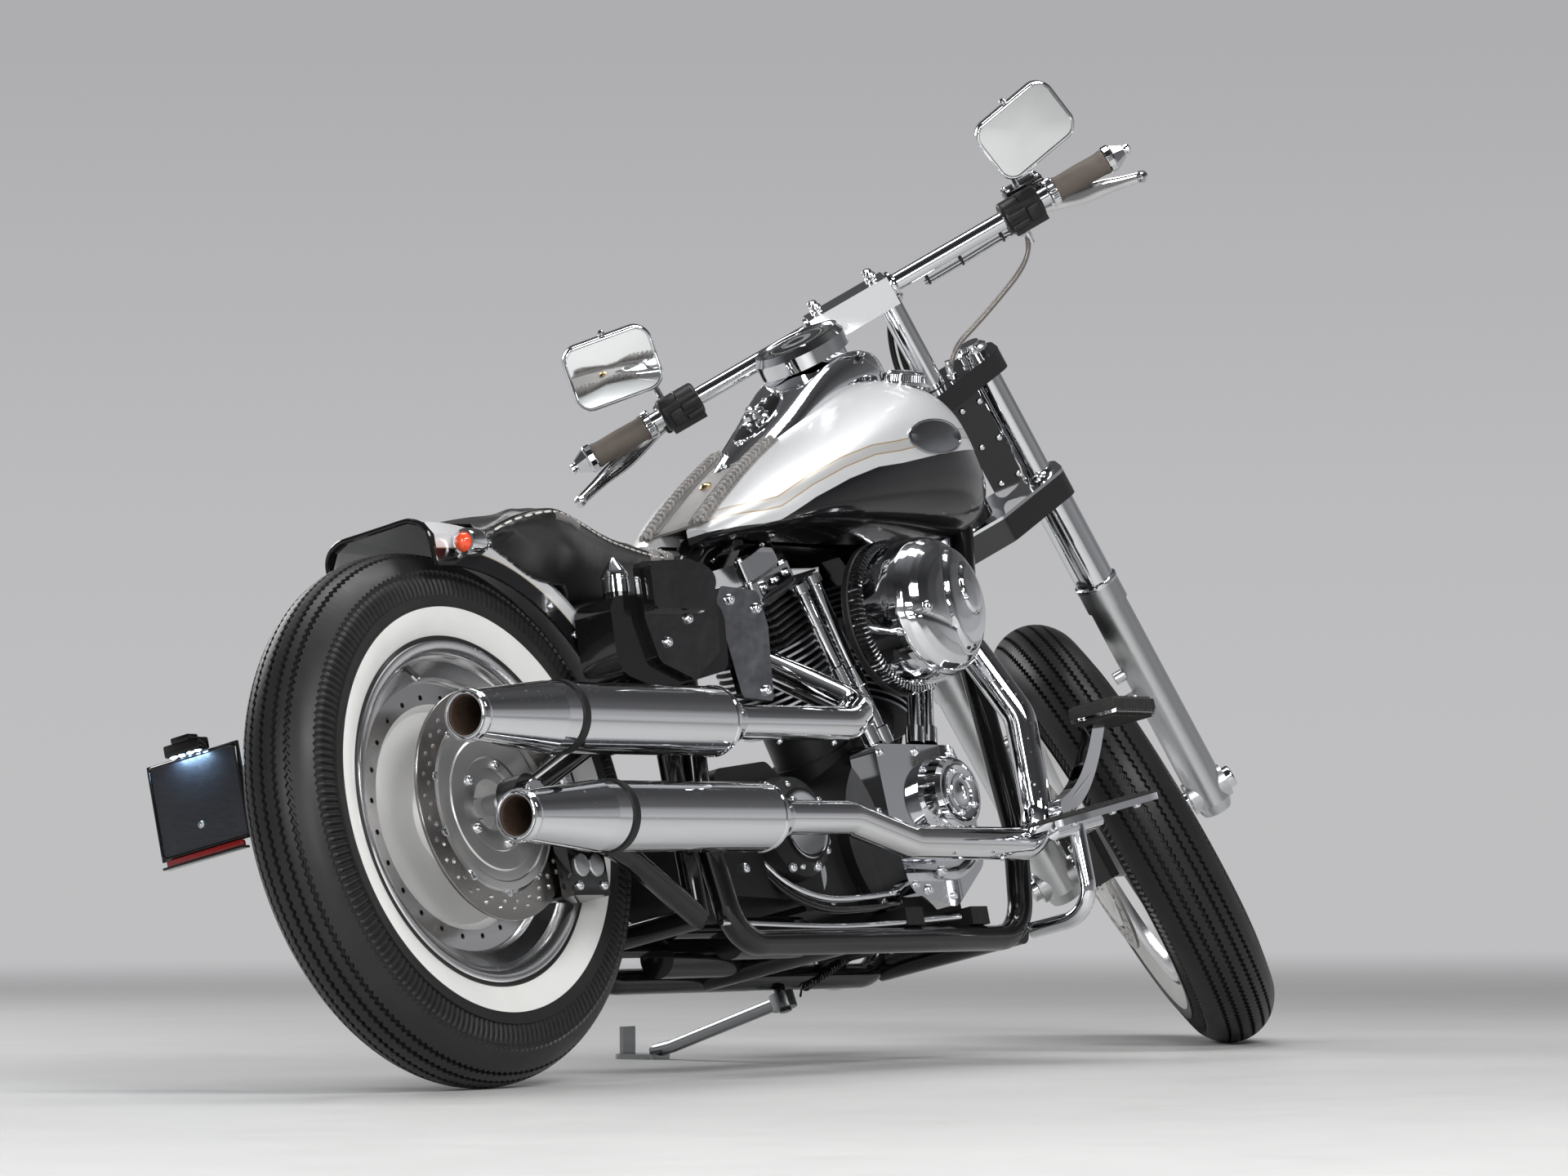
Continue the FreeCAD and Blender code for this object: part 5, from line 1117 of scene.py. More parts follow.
def mirror_looks(side):
    """Chrome shell with a thick rim, silvered glass and a small nub on top."""
    name = SIDES[side]
    rings = ((4, -2.0), (0.8, -1.2), (0, 0.6), (0, 12.6), (1.0, 14.6), (2.4, 15.6), (4.2, 15.6),
             (5.2, 14.4))
    points = []
    for shrink, level in rings:
        forward = BAR_F - 10 + (14.4 - level)
        points += [at(FORK, forward, spot.x, spot.y) for spot in mirror_outline(side, shrink)]
    faces = capped(len(rings), len(points) // len(rings), last=False)
    shell = solid("mirror_shell_" + name, points, faces, ROW, "steering", "chrome", 50)
    glass = [at(FORK, BAR_F - 10 + 0.3, spot.x, spot.y) for spot in mirror_outline(side, 5.4)]
    middle = sum(glass, Vector()) / len(glass)
    back = way(FORK, 1, 0, 0)
    count = len(glass)
    points = glass + [middle + (point - middle) * 0.5 - back * 0.0007 for point in glass] + [middle
            - back * 0.001]
    faces = skin_faces(2, count, False, True)
    faces += [(count + index, count + (index + 1) % count, 2 * count) for index in range(count)]
    solid("mirror_glass_" + name, points, faces, ROW, "steering", "silvered", 60)
    build("mirror_nub_" + name, [turned([(0, 5), (4, 5), (6, 3.5), (6.8, 0)], at(FORK, BAR_F - 4,
            side * 322, 1040),
                                        way(FORK, 0, 0, 1), 14)], "chrome", "steering")
    stem = [(BAR_F + 33, 290, 917 if side < 0 else 899), (BAR_F + 33, 290, 925), (BAR_F + 30, 291, 935),
            (BAR_F + 14, 296, 948), (BAR_F - 4, 302, 962)]
    bar("mirror_stem_" + name, run(FORK, stem, 7, side), 0.0054, "chrome", 14, body="steering")
    return shell


def silvered():
    """Mirror glass: clear, with a faint film of dust."""
    f = Finish("silvered_glass", (0.88, 0.90, 0.90), 1.0, 0.02)
    p = f.place()
    f.rough(f.math("MULTIPLY", f.noise(p, 20, 4), f.noise(p, 240, 2)), 0.015, 0.08)
    return f.mat


MATERIALS["silvered"] = silvered()
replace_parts(mirror_looks(1), "mirrors")
mirror_looks(-1)


def grip_looks(side):
    """Smooth rubber sleeve, knurled collar and faceted pointed end with a small ball."""
    name = SIDES[side]
    axis = way(FORK, 0, side, 0)
    origin = at(FORK, BAR_F, 0, BAR_Z)
    sleeve = turned([(330.5, 12.8), (330.5, 17.6), (332, 18.2), (334.5, 18.2), (336, 17), (345, 16.8),
                     (370, 17.4), (395, 16.8), (404, 17.1), (407.5, 18), (410.5, 18), (412, 17), (412,
                             12.8)],
                    origin, axis, 40)
    rubber_part = build("grip_sleeve_" + name, [sleeve], "grip", "steering", 40)
    collar = [(0.318, 0.0128), (0.318, 0.0195), (0.3195, 0.0206), (0.321, 0.0206), (0.3214, 0.0200),
              (0.3286, 0.0200), (0.329, 0.0206), (0.330, 0.0206), (0.3304, 0.0190), (0.3304, 0.0128)]
    ring = turned_parts(collar, origin, axis, 72,
                lambda step, height, radius: radius - (0.0008 if radius == 0.0200 and step % 2 else 0))
    build("grip_collar_" + name, [ring], "chrome", "steering", 30)
    end = [(0.412, 0.0128), (0.412, 0.0196), (0.4135, 0.0203), (0.421, 0.0203), (0.4225, 0.0196),
           (0.424, 0.0180), (0.4245, 0.0186), (0.440, 0.0100), (0.4405, 0.0085), (0.4425, 0.0062),
           (0.4445, 0.0078), (0.4480, 0.0080), (0.4505, 0.0050), (0.4510, 0)]
    cone = turned_parts(end, origin, axis, 16,
                lambda step, height, radius: radius * (0.93 if 0.4243 < height < 0.4402 and step % 2
                                                       else 1))
    build("grip_end_" + name, [cone], "chrome", "steering", 18)
    return rubber_part


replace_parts(grip_looks(1), "grips")
grip_looks(-1)


def swept(line, corners_at):
    """A bar along a line whose section at each step is given by corners_at(step, ahead)."""
    points = []
    for index, spot in enumerate(line):
        ahead = (line[min(index + 1, len(line) - 1)] - line[max(index - 1, 0)]).normalized()
        points += [spot + corner for corner in corners_at(index, ahead)]
    return points, capped(len(line), len(points) // len(line))


def lever_blade(line):
    """A flat blade that widens like a long drop."""
    def corners_at(index, ahead):
        up = way(FORK, 0.1, 0, 1)
        up = (up - ahead * up.dot(ahead)).normalized()
        out = ahead.cross(up)
        share = index / (len(line) - 1)
        end = 0.4 if index in (0, len(line) - 1) else 1
        tall = (0.0075 + 0.0055 * math.exp(-((share - 0.55) / 0.24) ** 2)) * end
        thick = (0.0052 - 0.0012 * share) * end
        return [up * tall * math.cos(angle) + out * thick * math.sin(angle) for angle in turns(16)]

    return swept(line, corners_at)


def lever_looks(side):
    """The polished blade with its ball end and knuckle, the perch and the brake's reservoir."""
    name = SIDES[side]
    route = [(BAR_F + 46, 286, 869), (BAR_F + 48, 300, 868), (BAR_F + 50, 320, 865), (BAR_F + 52, 345, 859),
             (BAR_F + 56, 375, 851), (BAR_F + 58, 405, 845), (BAR_F + 60, 430, 838), (BAR_F + 60, 456, 831)]
    line = run(FORK, route, 6, side)
    tip = turned([(-9.2, 0), (-8.5, 3.5), (-6.2, 6.8), (0, 9.2), (6.2, 6.8), (8.5, 3.5), (9.2, 0)],
                 line[-1],
                 way(FORK, 0, 1, 0), 18)
    knuckle = turned([(-13.5, 0), (-13.5, 9), (-12, 10.5), (-2, 10.8), (12, 10.5), (13.5, 9), (13.5, 0)],
                     at(FORK, BAR_F + 46, side * 288, 869), way(FORK, 0, 0, 1), 20)
    build("lever_blade_" + name, [lever_blade(line), tip, knuckle], "polished", "steering",
          40)
    low = min(side * 268, side * 306)
    parts = [box_mesh(FORK, (BAR_F + 24.3, low, 859), (BAR_F + 59, low + 38, 899), 5)]
    spots = facing(FORK, [(BAR_F + 46, side * 288, 859)], 0, 0, -1)
    if side < 0:
        parts.append(box_mesh(FORK, (BAR_F + 24.3, low - 22, 887), (BAR_F + 62, low + 38, 913), 5))
        parts.append(box_mesh(FORK, (BAR_F + 25.5, low - 20.5, 912), (BAR_F + 60.5, low + 36.5, 917), 1.6))
        spots += facing(FORK, [(f, y, 917) for f in (BAR_F + 30, BAR_F + 56) for y in (low - 15, low + 31)],
                        0, 0, 1)
    perch = build("lever_perch_" + name, parts, "black", "steering", 40)
    bolts("lever_screws_" + name, spots, 0.0034, "steering")
    return perch


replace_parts(lever_looks(1), "hand_levers")
lever_looks(-1)


def switch_looks(side):
    """Raised buttons, a parting line and screws on the switch housing."""
    name = SIDES[side]
    parts = []
    for f, y, z, long, tall in ((-19.5, 262, 884, 12, 8), (-19.5, 262, 900, 14, 9), (-19.5, 286, 892, 9,
            20)):
        low = min(side * (y - long), side * (y + long))
        parts.append(box_mesh(FORK, (f - 5.5, low, z - tall / 2), (f + 2, low + 2 * long, z + tall / 2),
                              1.6))
    build("switch_buttons_" + name, parts, "plastic", "steering", 40)
    seam = [at(FORK, BAR_F + 24.2 * math.cos(angle), side * 275, BAR_Z + 24.2 * math.sin(angle))
            for angle in turns(40)]
    bar("switch_seam_" + name, seam, 0.0009, "black", 6, True, "steering")
    spots = []
    for y in (side * 253, side * 297):
        spots += facing(FORK, [(BAR_F, y, BAR_Z - 23.6)], 0, 0, -1)
        spots += facing(FORK, [(BAR_F + 23.6, y, BAR_Z)], 1, 0, 0)
    bolts("switch_screws_" + name, spots, 0.0036, "steering")


for each_side in SIDES:
    switch_looks(each_side)


def bar_dressing():
    """Clamp bolts with ball heads, hard brake lines along the bar and their clips."""
    spots = facing(FORK, [(BAR_F + f, y, BAR_Z + 18.5) for f in (-12, 12) for y in (-44, 44)], 0, 0, 1)
    ball = [(0, 7.5), (4, 7.5), (5.5, 5.5), (6.2, 4.5), (8, 6.6), (11.2, 7.8), (14.5, 6.6), (16.6, 3),
            (17, 0)]
    build("clamp_balls", [turned(ball, spot, axis) for spot, axis in spots], "chrome", "steering")
    collar = [(0, 19), (2, 20), (6, 20), (8, 16), (10, 13.5)]
    build("clamp_collars", [turned(collar, at(FORK, BAR_F, side * 62, BAR_Z), way(FORK, 0, side, 0), 28)
                            for side in SIDES], "chrome", "steering")
    for index, (drop, ahead) in enumerate(((24, 22), (30, 27))):
        route = [(BAR_F + 50, -292, 868), (BAR_F + 48, -284, 858 - index * 5), (BAR_F + ahead, -262,
                858 - index * 4),
                 (BAR_F + ahead - 4, -246, BAR_Z - drop), (BAR_F + ahead - 6, -180, BAR_Z - drop),
                 (BAR_F + ahead - 8, -110, BAR_Z - drop)]
        bar(f"hard_line_{index}", run(FORK, route, 8), 0.0024, "chrome", 10, body="steering")
    clips = [tube_mesh([at(FORK, BAR_F + 18 + 9 * math.cos(turn), y, BAR_Z - 22 + 9 * math.sin(turn))
                        for turn in turns(16)], 0.0016, 6, True) for y in (-236, -170, -116)]
    build("line_clips", clips, "plastic", "steering")


bar_dressing()


def fork_metal():
    """Dark glossy fork clamps, with the bar's risers above them in chrome."""
    f = Finish("fork_clamp_metal", (0.02, 0.02, 0.02), 0.0, 0.1, Coat_Weight=0.6, Coat_Roughness=0.05)
    _, _, z = f.parts(f.place(FORK))
    p = f.place()
    bright = f.between(z, 0.7355, 3.0, 0.0003)
    edge = f.between(z, 0.5315, 0.5375, 0.0003)
    bright = f.math("MAXIMUM", bright, edge)
    f.color(f.mix(bright, (0.014, 0.014, 0.015), (0.80, 0.81, 0.83)))
    f.put(bright, f.shader.inputs["Metallic"])
    f.rough(f.noise(p, 30, 4), 0.05, 0.16)
    f.bump(f.noise(p, 35, 2), 0.02, 0.0006)
    return f.mat


dress("fork_clamps", fork_metal())


def fork_dressing():
    """Bolts of the clamps and panels, tube caps, collar rings and drain screws."""
    spots = []
    rings = []
    profiles = [[(351.5, 29), (351.5, 31.8), (354.5, 32.2), (357.5, 31.8), (359, 29.5), (359, 29)],
                [(490.5, 28.8), (490.5, 30.5), (494.5, 30.5), (494.5, 28.8)],
                [(740, 0), (740, 22.5), (744.5, 22.5), (747.5, 19), (747.5, 0)],
                [(536, 20.8), (536, 23.5), (541, 22.5), (543, 20.8)]]
    for side in SIDES:
        spots += facing(FORK, [(53.6, side * 126, 744.5)], 0, 0, 1)
        spots += facing(FORK, [(20, side * 108, 495)], 0, 0, -1)
        spots += facing(FORK, [(26.8, side * y, height) for height in (560, 620, 680) for y in (70, 98)],
                        -1, 0, 0)
        centre = at(FORK, 53.6, side * 126, 0)
        rings += [turned(profile, centre, way(FORK, 0, 0, 1), 40) for profile in profiles]
    bolts("fork_bolts", spots, 0.0048, "steering")
    build("fork_rings", rings, "chrome", "steering")


fork_dressing()


def cord_curve(name, route, radius, material):
    """A smooth round line through a few given points of the fork's frame."""
    curve = bpy.data.curves.new(name, "CURVE")
    curve.dimensions = "3D"
    spline = curve.splines.new("NURBS")
    spline.points.add(len(route) - 1)
    for point, spot in zip(spline.points, route):
        point.co = (*at(FORK, *spot), 1)
    spline.order_u = 3
    spline.use_endpoint_u = True
    spline.resolution_u = 12
    curve.bevel_depth = radius
    curve.bevel_resolution = 4
    curve.use_fill_caps = True
    curve.materials.append(MATERIALS[material])
    cord = bpy.data.objects.new(name, curve)
    bpy.context.scene.collection.objects.link(cord)
    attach(cord, "steering")
    return cord


def cord_ends(name, route, width):
    """Metal fittings over both ends of a cord."""
    profile = [(-0.001, 0), (-0.001, width), (0.006, width), (0.007, width * 0.82), (0.018, width * 0.79),
               (0.020, width * 0.68), (0.026, width * 0.65), (0.026, 0)]
    fittings = []
    for near, far in ((route[0], route[1]), (route[-1], route[-2])):
        spot = at(FORK, *near)
        fittings.append(turned_parts(profile, spot, (at(FORK, *far) - spot).normalized(), 12))
    return build(name, fittings, "chrome", "steering", sharp=30)


def hose():
    """The front brake hose, with the fittings at both ends."""
    route = [(57, -273, 858.7), (57, -273, 819), (31, -170, 785), (6, -84, 767), (6, -78, 734.8)]
    cord = cord_curve("brake_hose", route, 0.0039, "hose")
    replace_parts(cord, "brake_line")
    ends = cord_ends("hose_fittings", route, 0.0068)


hose()


# Air cleaner
CLEANER = Vector((CRANK.x - 0.002, -0.128, 0.582))


def cleaner_point(radius, angle, level):
    """A point on the cover: angle runs from the front, upwards; level is out to the right."""
    return BIKE @ Vector((CLEANER.x + radius * math.cos(angle), CLEANER.y - level,
                          CLEANER.z + radius * math.sin(angle)))


def cover_level(x, z):
    """How far out the chrome cover stands at a point, with its raised oval."""
    radius = math.hypot(x, z)
    stops = ((0, 0.1235), (0.030, 0.1222), (0.048, 0.1195), (0.062, 0.1155), (0.075, 0.1095),
             (0.084, 0.1025),
             (0.0905, 0.094), (0.0945, 0.084), (0.0962, 0.073), (0.0962, 0.060))
    level = stops[-1][1]
    for (r0, l0), (r1, l1) in zip(stops, stops[1:]):
        if radius <= r1:
            level = l0 + (l1 - l0) * (radius - r0) / (r1 - r0)
            break
    for centre_x, centre_z, wide, tall, step in ((0.020, 0.004, 0.047, 0.070, 0.0050),
                                                 (0.026, 0.016, 0.024, 0.034, 0.0036)):
        inside = math.hypot((x - centre_x) / wide, (z - centre_z) / tall)
        level += step / (1 + math.exp((inside - 1) * 28)) - 0.0020 * math.exp(-((inside
                - 1.04) / 0.04) ** 2)
    if x < -0.018:
        crease = abs(z + 0.030 + 0.35 * (x + 0.04))
        level -= 0.0028 * math.exp(-(crease / 0.0035) ** 2)
    return level - 0.0035


def cleaner_dome():
    """Chrome dome with a raised oval and a crease, and its skirt."""
    rings = 58
    steps = 112
    points = []
    for ring in range(1, rings + 1):
        radius = 0.0962 * math.sin(ring / rings * math.pi / 2) ** 0.9
        for angle in turns(steps):
            level = cover_level(radius * math.cos(angle), radius * math.sin(angle))
            points.append(cleaner_point(radius, angle, level))
    faces = capped(rings, steps, last=False)
    base = len(points) - steps
    for radius, level in ((0.0965, 0.062), (0.0972, 0.058), (0.0972, 0.030)):
        points += [cleaner_point(radius, angle, level) for angle in turns(steps)]
    faces += [tuple(base + index for index in face) for face in skin_faces(4, steps, False, True)]
    cover = solid("cleaner_cover", points, faces, ROW, "chassis", "chrome", 42)


def cleaner_cover():
    """The dome and its screw over a ribbed black back plate, with the intake behind."""
    cleaner_dome()
    axis = way(BIKE, 0, -1, 0)
    middle = BIKE @ CLEANER
    plate = turned([(0, 0), (0, 103), (2.5, 105), (10, 105), (12, 103.5), (12, 99), (29, 98.5), (29, 0)],
                   middle, axis, 96)
    back = build("cleaner_plate", [plate], "engine")
    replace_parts(back, "air_cleaner")
    section = ((0.0975, 0.0125), (0.1032, 0.0135), (0.1032, 0.0275), (0.0975, 0.0285))
    ribs = [tube_mesh([cleaner_point(radius, angle, level) for radius, level in section], 0.0015, 5)
            for angle in turns(96)]
    build("cleaner_ribs", ribs, "chrome")
    spot = cleaner_point(0.066, math.radians(188), cover_level(-0.066, -0.009) - 0.001)
    bolts("cleaner_screw", [(spot, way(BIKE, -0.35, -1, 0))], 0.0075)
    inlet = [turned([(-52, 0), (-52, 30), (1, 30), (1, 0)], middle, axis, 40),
             turned([(-138, 0), (-138, 21), (-48, 21), (-48, 0)], middle, axis, 32),
             tube_mesh([BIKE @ Vector((CRANK.x + x, 0, 0.582)) for x in (-0.032, 0, 0.032)], 0.012, 24)]
    build("cleaner_throat", inlet, "satin")


cleaner_cover()


# Engine
def cylinder_frame(sign):
    """A cylinder's own frame: Z along its axis from the crank."""
    return BIKE @ Matrix.Translation(CRANK) @ Matrix.Rotation(sign * CYLINDER_TILT, 4, "Y")


CYLINDERS = {"rear": cylinder_frame(-1), "front": cylinder_frame(1)}


def finned_metal():
    """Black cylinders whose fin edges are machined bright."""
    f = Finish("finned_black", (0.012, 0.012, 0.0125), 0.0, 0.42, Specular_IOR_Level=0.3)
    bright = []
    for which in ("rear", "front"):
        x, y, z = f.parts(f.place(CYLINDERS[which]))
        rim = f.between(f.radius(x, y), 0.0733, 0.0748, 0.0002)
        bright.append(f.math("MULTIPLY", rim, f.between(z, 0.19, 0.366, 0.001)))
    edges = f.math("MAXIMUM", *bright)
    p = f.place()
    f.color(f.mix(edges, (0.018, 0.018, 0.019), (0.66, 0.67, 0.69)))
    f.put(edges, f.shader.inputs["Metallic"])
    f.rough(f.noise(p, 40, 3), 0.26, 0.5)
    f.bump(f.noise(p, 1500, 2), 0.25, 0.0003)
    return f.mat


dress("cylinders", finned_metal())


def rocker_dressing():
    """Bolts round the rocker covers, and the seams of their gaskets."""
    for which, place in CYLINDERS.items():
        spots = facing(place, [(x, y, 392) for x in (-44, 44) for y in (-50, 50)], 0, 0, 1)
        spots += facing(place, [(x, y, 424) for x in (-34, 34) for y in (-42, 42)], 0, 0, 1)
        for x in (-30, 0, 30):
            for sense in (-1, 1):
                spots += facing(place, [(x, sense * 60, 380)], 0, sense, 0)
        bolts("rocker_bolts_" + which, spots, 0.0058)
        seams = []
        for height, half_x, half_y in ((367, 54.4, 60.4), (392.6, 46.5, 52.5)):
            corners = []
            for x, y in ((-1, -1), (1, -1), (1, 1), (-1, 1)):
                ends = [(x * half_x, y * (half_y - 14)), (x * (half_x - 14), y * half_y)]
                corners += ends if x * y < 0 else ends[::-1]
            seams.append(tube_mesh([at(place, x, y, height) for x, y in corners], 0.0011, 6, True))
        build("rocker_seams_" + which, seams, "engine")


rocker_dressing()


def round_cover(name, centre, side, profile, bolt_ring, bolt_count):
    """A bright turned cover with a ring of screws; the profile lists (out, radius) in millimetres."""
    build(name, [turned(profile, at(BIKE, *centre), way(BIKE, 0, side, 0), 64)], "chrome")
    radius, level = bolt_ring
    x, y, z = centre
    angles = [2 * math.pi * (index + 0.5) / bolt_count for index in range(bolt_count)]
    spots = facing(BIKE, [(x + radius * math.cos(angle), y + side * level, z + radius * math.sin(angle))
                          for angle in angles], 0, side, 0)
    bolts(name + "_screws", spots, 0.0045)


round_cover("cam_ring", (913, -130, 340), -1,
            [(29.8, 0), (29.8, 38), (30.6, 39.5), (32.4, 39.5), (33.0, 37), (32.2, 35), (32.2, 25),
             (33.4, 23.5),
             (33.4, 21.5), (31.6, 20), (31.0, 10), (31.8, 8), (32.2, 0)], (30, 31.8), 5)
round_cover("derby_ring", (545, 186, 310), 1,
            [(17.8, 0), (17.8, 58), (19.4, 59), (20.4, 56), (19.4, 52), (19.0, 30), (20.2, 28), (20.2, 24),
             (19.0, 22), (19.4, 0)], (66, 12.6), 6)
round_cover("primary_ring", (868, 186, 300), 1,
            [(19.8, 0), (19.8, 46), (21.0, 47), (21.8, 44), (20.8, 40), (21.0, 0)], (74, 12.4), 6)
round_cover("gearbox_ring", (575, -104, 300), -1,
            [(33.8, 0), (33.8, 44), (35.0, 45), (35.6, 42), (34.6, 38), (34.9, 0)], (57, 28.0), 5)


def case_screws():
    """Screws round the cam cover and the primary cover."""
    right = ((792, 296), (812, 222), (896, 206), (972, 258), (974, 346), (950, 400), (868, 402), (786, 400))
    left = ((470, 260), (470, 360), (520, 226), (640, 214), (760, 214), (884, 215), (950, 260), (958, 340),
            (900, 388), (780, 396), (640, 398), (530, 396))
    spots = facing(BIKE, [(x, -130, z) for x, z in right], 0, -1, 0)
    spots += facing(BIKE, [(x, 186, z) for x, z in left], 0, 1, 0)
    bolts("case_screws", spots, 0.0056)


case_screws()


# Console, dial and filler caps
DIAL = BIKE @ Matrix.Translation((0.978, 0, 0.988)) @ Matrix.Rotation(math.radians(-26), 4, "Y")


def dial_face():
    """Dark face with a pale ring and marks, no words or figures."""
    f = Finish("dial_face", (0.02, 0.02, 0.02), 0.0, 0.4)
    x, y, _ = f.parts(f.place(DIAL))
    radius = f.radius(x, y)
    angle = f.math("ARCTAN2", y, x)
    ring = f.between(radius, 0.0365, 0.0375, 0.0002)
    pale = f.between(radius, 0.012, 0.022, 0.0002)
    teeth = f.math("SINE", f.math("MULTIPLY", angle, 36.0))
    marks = f.math("MULTIPLY", f.between(radius, 0.041, 0.048, 0.0002), f.between(teeth, 0.90, 2.0, 0.02))
    both = f.math("MAXIMUM", marks, ring)
    tone = f.mix(pale, (0.014, 0.015, 0.017), (0.30, 0.31, 0.32))
    f.color(f.mix(both, tone, (0.80, 0.80, 0.76)))
    f.rough(f.noise(f.place(), 60, 2), 0.3, 0.5)
    return f.mat


def dial_parts():
    """The dial's face, clear cover, rim and pointer."""
    axis = way(DIAL, 0, 0, 1)
    centre = DIAL.translation
    face = turned([(19.2, 53.5), (20.4, 53.5), (20.6, 48), (20.6, 20), (20.7, 0)], centre, axis, 64)
    build("dial_face", [face], dial_face(), sharp=40)
    glass = turned([(22.5, 54.5), (24.5, 54), (26.2, 42), (27.8, 25), (28.4, 0)], centre, axis, 64)
    build("dial_glass", [glass], "glass", sharp=60)
    rim = turned([(26.5, 60), (27.2, 61.2), (27.5, 59), (26.2, 56), (23.5, 54.5), (21.5, 54.5)], centre,
                 axis, 72)
    build("dial_rim", [rim], "chrome", sharp=60)
    needle = [DIAL @ Vector((reach * math.cos(2.4), reach * math.sin(2.4), 0.0222)) for reach in (-0.010,
            0.040)]
    hub = turned([(20.6, 6), (23.6, 5.5), (24.2, 3), (24.3, 0)], centre, axis, 24)
    build("dial_pointer", [tube_mesh(needle, [0.0013, 0.0006], 6), hub], "plastic")


dial_parts()
CONSOLE_SKIN = surface_of(frame["nodes"]["dash_console"])


def console_spot(x, y, lift):
    """A point over the console's top."""
    return on_skin(CONSOLE_SKIN, at(BIKE, x, y, 1200), way(BIKE, 0, 0, -1), lift)


def console_ring(size, lift, steps):
    """Points of an oval on the console's top."""
    return [console_spot(842 + 52 * size * math.cos(turn), 27 * size * math.sin(turn), lift)
            for turn in turns(steps)]


def console_looks():
    """Black oval inset with its bright border, the ignition switch and the console's screws."""
    points = []
    for size, lift in ((1.0, 0.0002), (1.0, 0.0012), (0.7, 0.0013), (0.3, 0.0014)):
        points += console_ring(size, lift, 48)
    solid("console_inset", points, capped(4, 48, first=False), ROW, "chassis", "black", 50)
    bar("console_inset_rim", console_ring(1.0, 0.0012, 64), 0.0018, "chrome", 8, True)
    axis = way(BIKE, -0.5, 0, 0.86)
    spot = console_spot(838, 0, 0)
    base = turned([(0, 19), (4, 19), (6, 16.5), (12, 15.5), (13.5, 13), (13.5, 0)], spot, axis, 36)
    build("ignition_base", [base], "chrome")
    across = way(BIKE, 0.5, 0.8, 0.3)
    lever = [spot + axis * 0.0155 + across * reach for reach in (-0.017, -0.012, 0, 0.012, 0.017)]
    bar("ignition_lever", lever, [0.002, 0.0042, 0.005, 0.0042, 0.002], "chrome")
    for index, y in enumerate((-13, 13)):
        light = turned([(0, 4.2), (2.2, 4.2), (3, 3), (3.2, 0)], console_spot(884, y, 0.0010), axis, 16)
        build(f"console_light_{index}", [light], "glass")
    bolts("console_screws", [(console_spot(x, 0, 0), axis) for x in (788, 740)], 0.0045)


console_looks()


def cap_looks(side):
    """Knurled edge and a domed top on each filler cap."""
    place = BIKE @ Matrix.Translation((1.062, side * 0.098, 0.926))
    place = place @ Matrix.Rotation(math.radians(-side * 18), 4, "X")
    parts = []
    for angle in turns(60):
        rib = [place @ Vector((radius * math.cos(angle), radius * math.sin(angle), height))
               for radius, height in ((0.0310, 0.0055), (0.0300, 0.0150))]
        parts.append(tube_mesh(rib, 0.0009, 5))
    parts.append(turned([(18.5, 25), (20, 24), (20.6, 20), (20, 16), (21.2, 14), (22.2, 6), (22.4, 0)],
                        place.translation, way(place, 0, 0, 1), 48))
    build("cap_edge_" + SIDES[side], parts, "chrome")


for each_side in SIDES:
    cap_looks(each_side)


# Exhaust
def worn_chrome():
    """Plated exhaust metal with water spots and a faint blue and gold bloom near the heads."""
    f = Finish("exhaust_chrome", (0.78, 0.79, 0.81), 1.0, 0.05)
    p = f.place()
    x, _, _ = f.parts(f.place(BIKE))
    heat = f.between(x, 0.60, 0.80, 0.12)
    warm = f.mix(f.noise(p, 9, 3), (0.80, 0.74, 0.66), (0.70, 0.72, 0.80))
    f.color(f.mix(f.math("MULTIPLY", heat, 0.55), (0.80, 0.81, 0.83), warm))
    spots = f.between(f.cells(p, 95), 0.0, 0.20, 0.05)
    f.rough(f.math("MULTIPLY", spots, f.noise(p, 18, 3)), 0.045, 0.34)
    f.bump(f.noise(p, 30, 2), 0.02, 0.0006)
    return f.mat


MATERIALS["exhaust"] = worn_chrome()
dress("mufflers", MATERIALS["exhaust"])
dress("exhaust_pipes", MATERIALS["exhaust"])


def exhaust_trim():
    """Rolled tips, rusty liners, black clamp bands with their bolts and the shields' seams."""
    ahead = way(BIKE, 1, 0, 0)
    tips = []
    liners = []
    bands = []
    seams = []
    for rear, front, height in ((-199, 340, 414), (-135, 405, 291)):
        end = at(BIKE, rear, -215, height)
        tips.append(turned([(4.5, 24.6), (1, 25.2), (-0.6, 27.5), (0.6, 30.4), (3, 32.2), (10, 32.6)],
                           end, ahead, 56))
        liners.append(turned([(1, 25), (3.5, 22.8), (90, 22.6), (92, 0)], end, ahead, 40))
        bands.append(turned([(178, 43.6), (178, 46.2), (189, 46.2), (189, 43.6)], end, ahead, 56))
        for x, size in ((front - 40, 44.8), (front - 2, 27.5)):
            seams.append(turned([(-3, size - 1.2), (-2, size + 0.6), (2, size + 0.6), (3, size - 1.2)],
                                at(BIKE, x, -215, height), ahead, 56))
    for name, parts, material in (("exhaust_tips", tips, "exhaust"), ("exhaust_liners", liners, "rusty"),
                                  ("exhaust_bands", bands, "engine"), ("exhaust_seams", seams, "exhaust")):
        build(name, parts, material, sharp=40)
    screws = [(560, -214, 390), (440, -214, 390), (800, -214, 238), (900, -214, 238)]
    bolts("exhaust_screws", facing(BIKE, screws, 0, -0.6, -1), 0.004)


exhaust_trim()


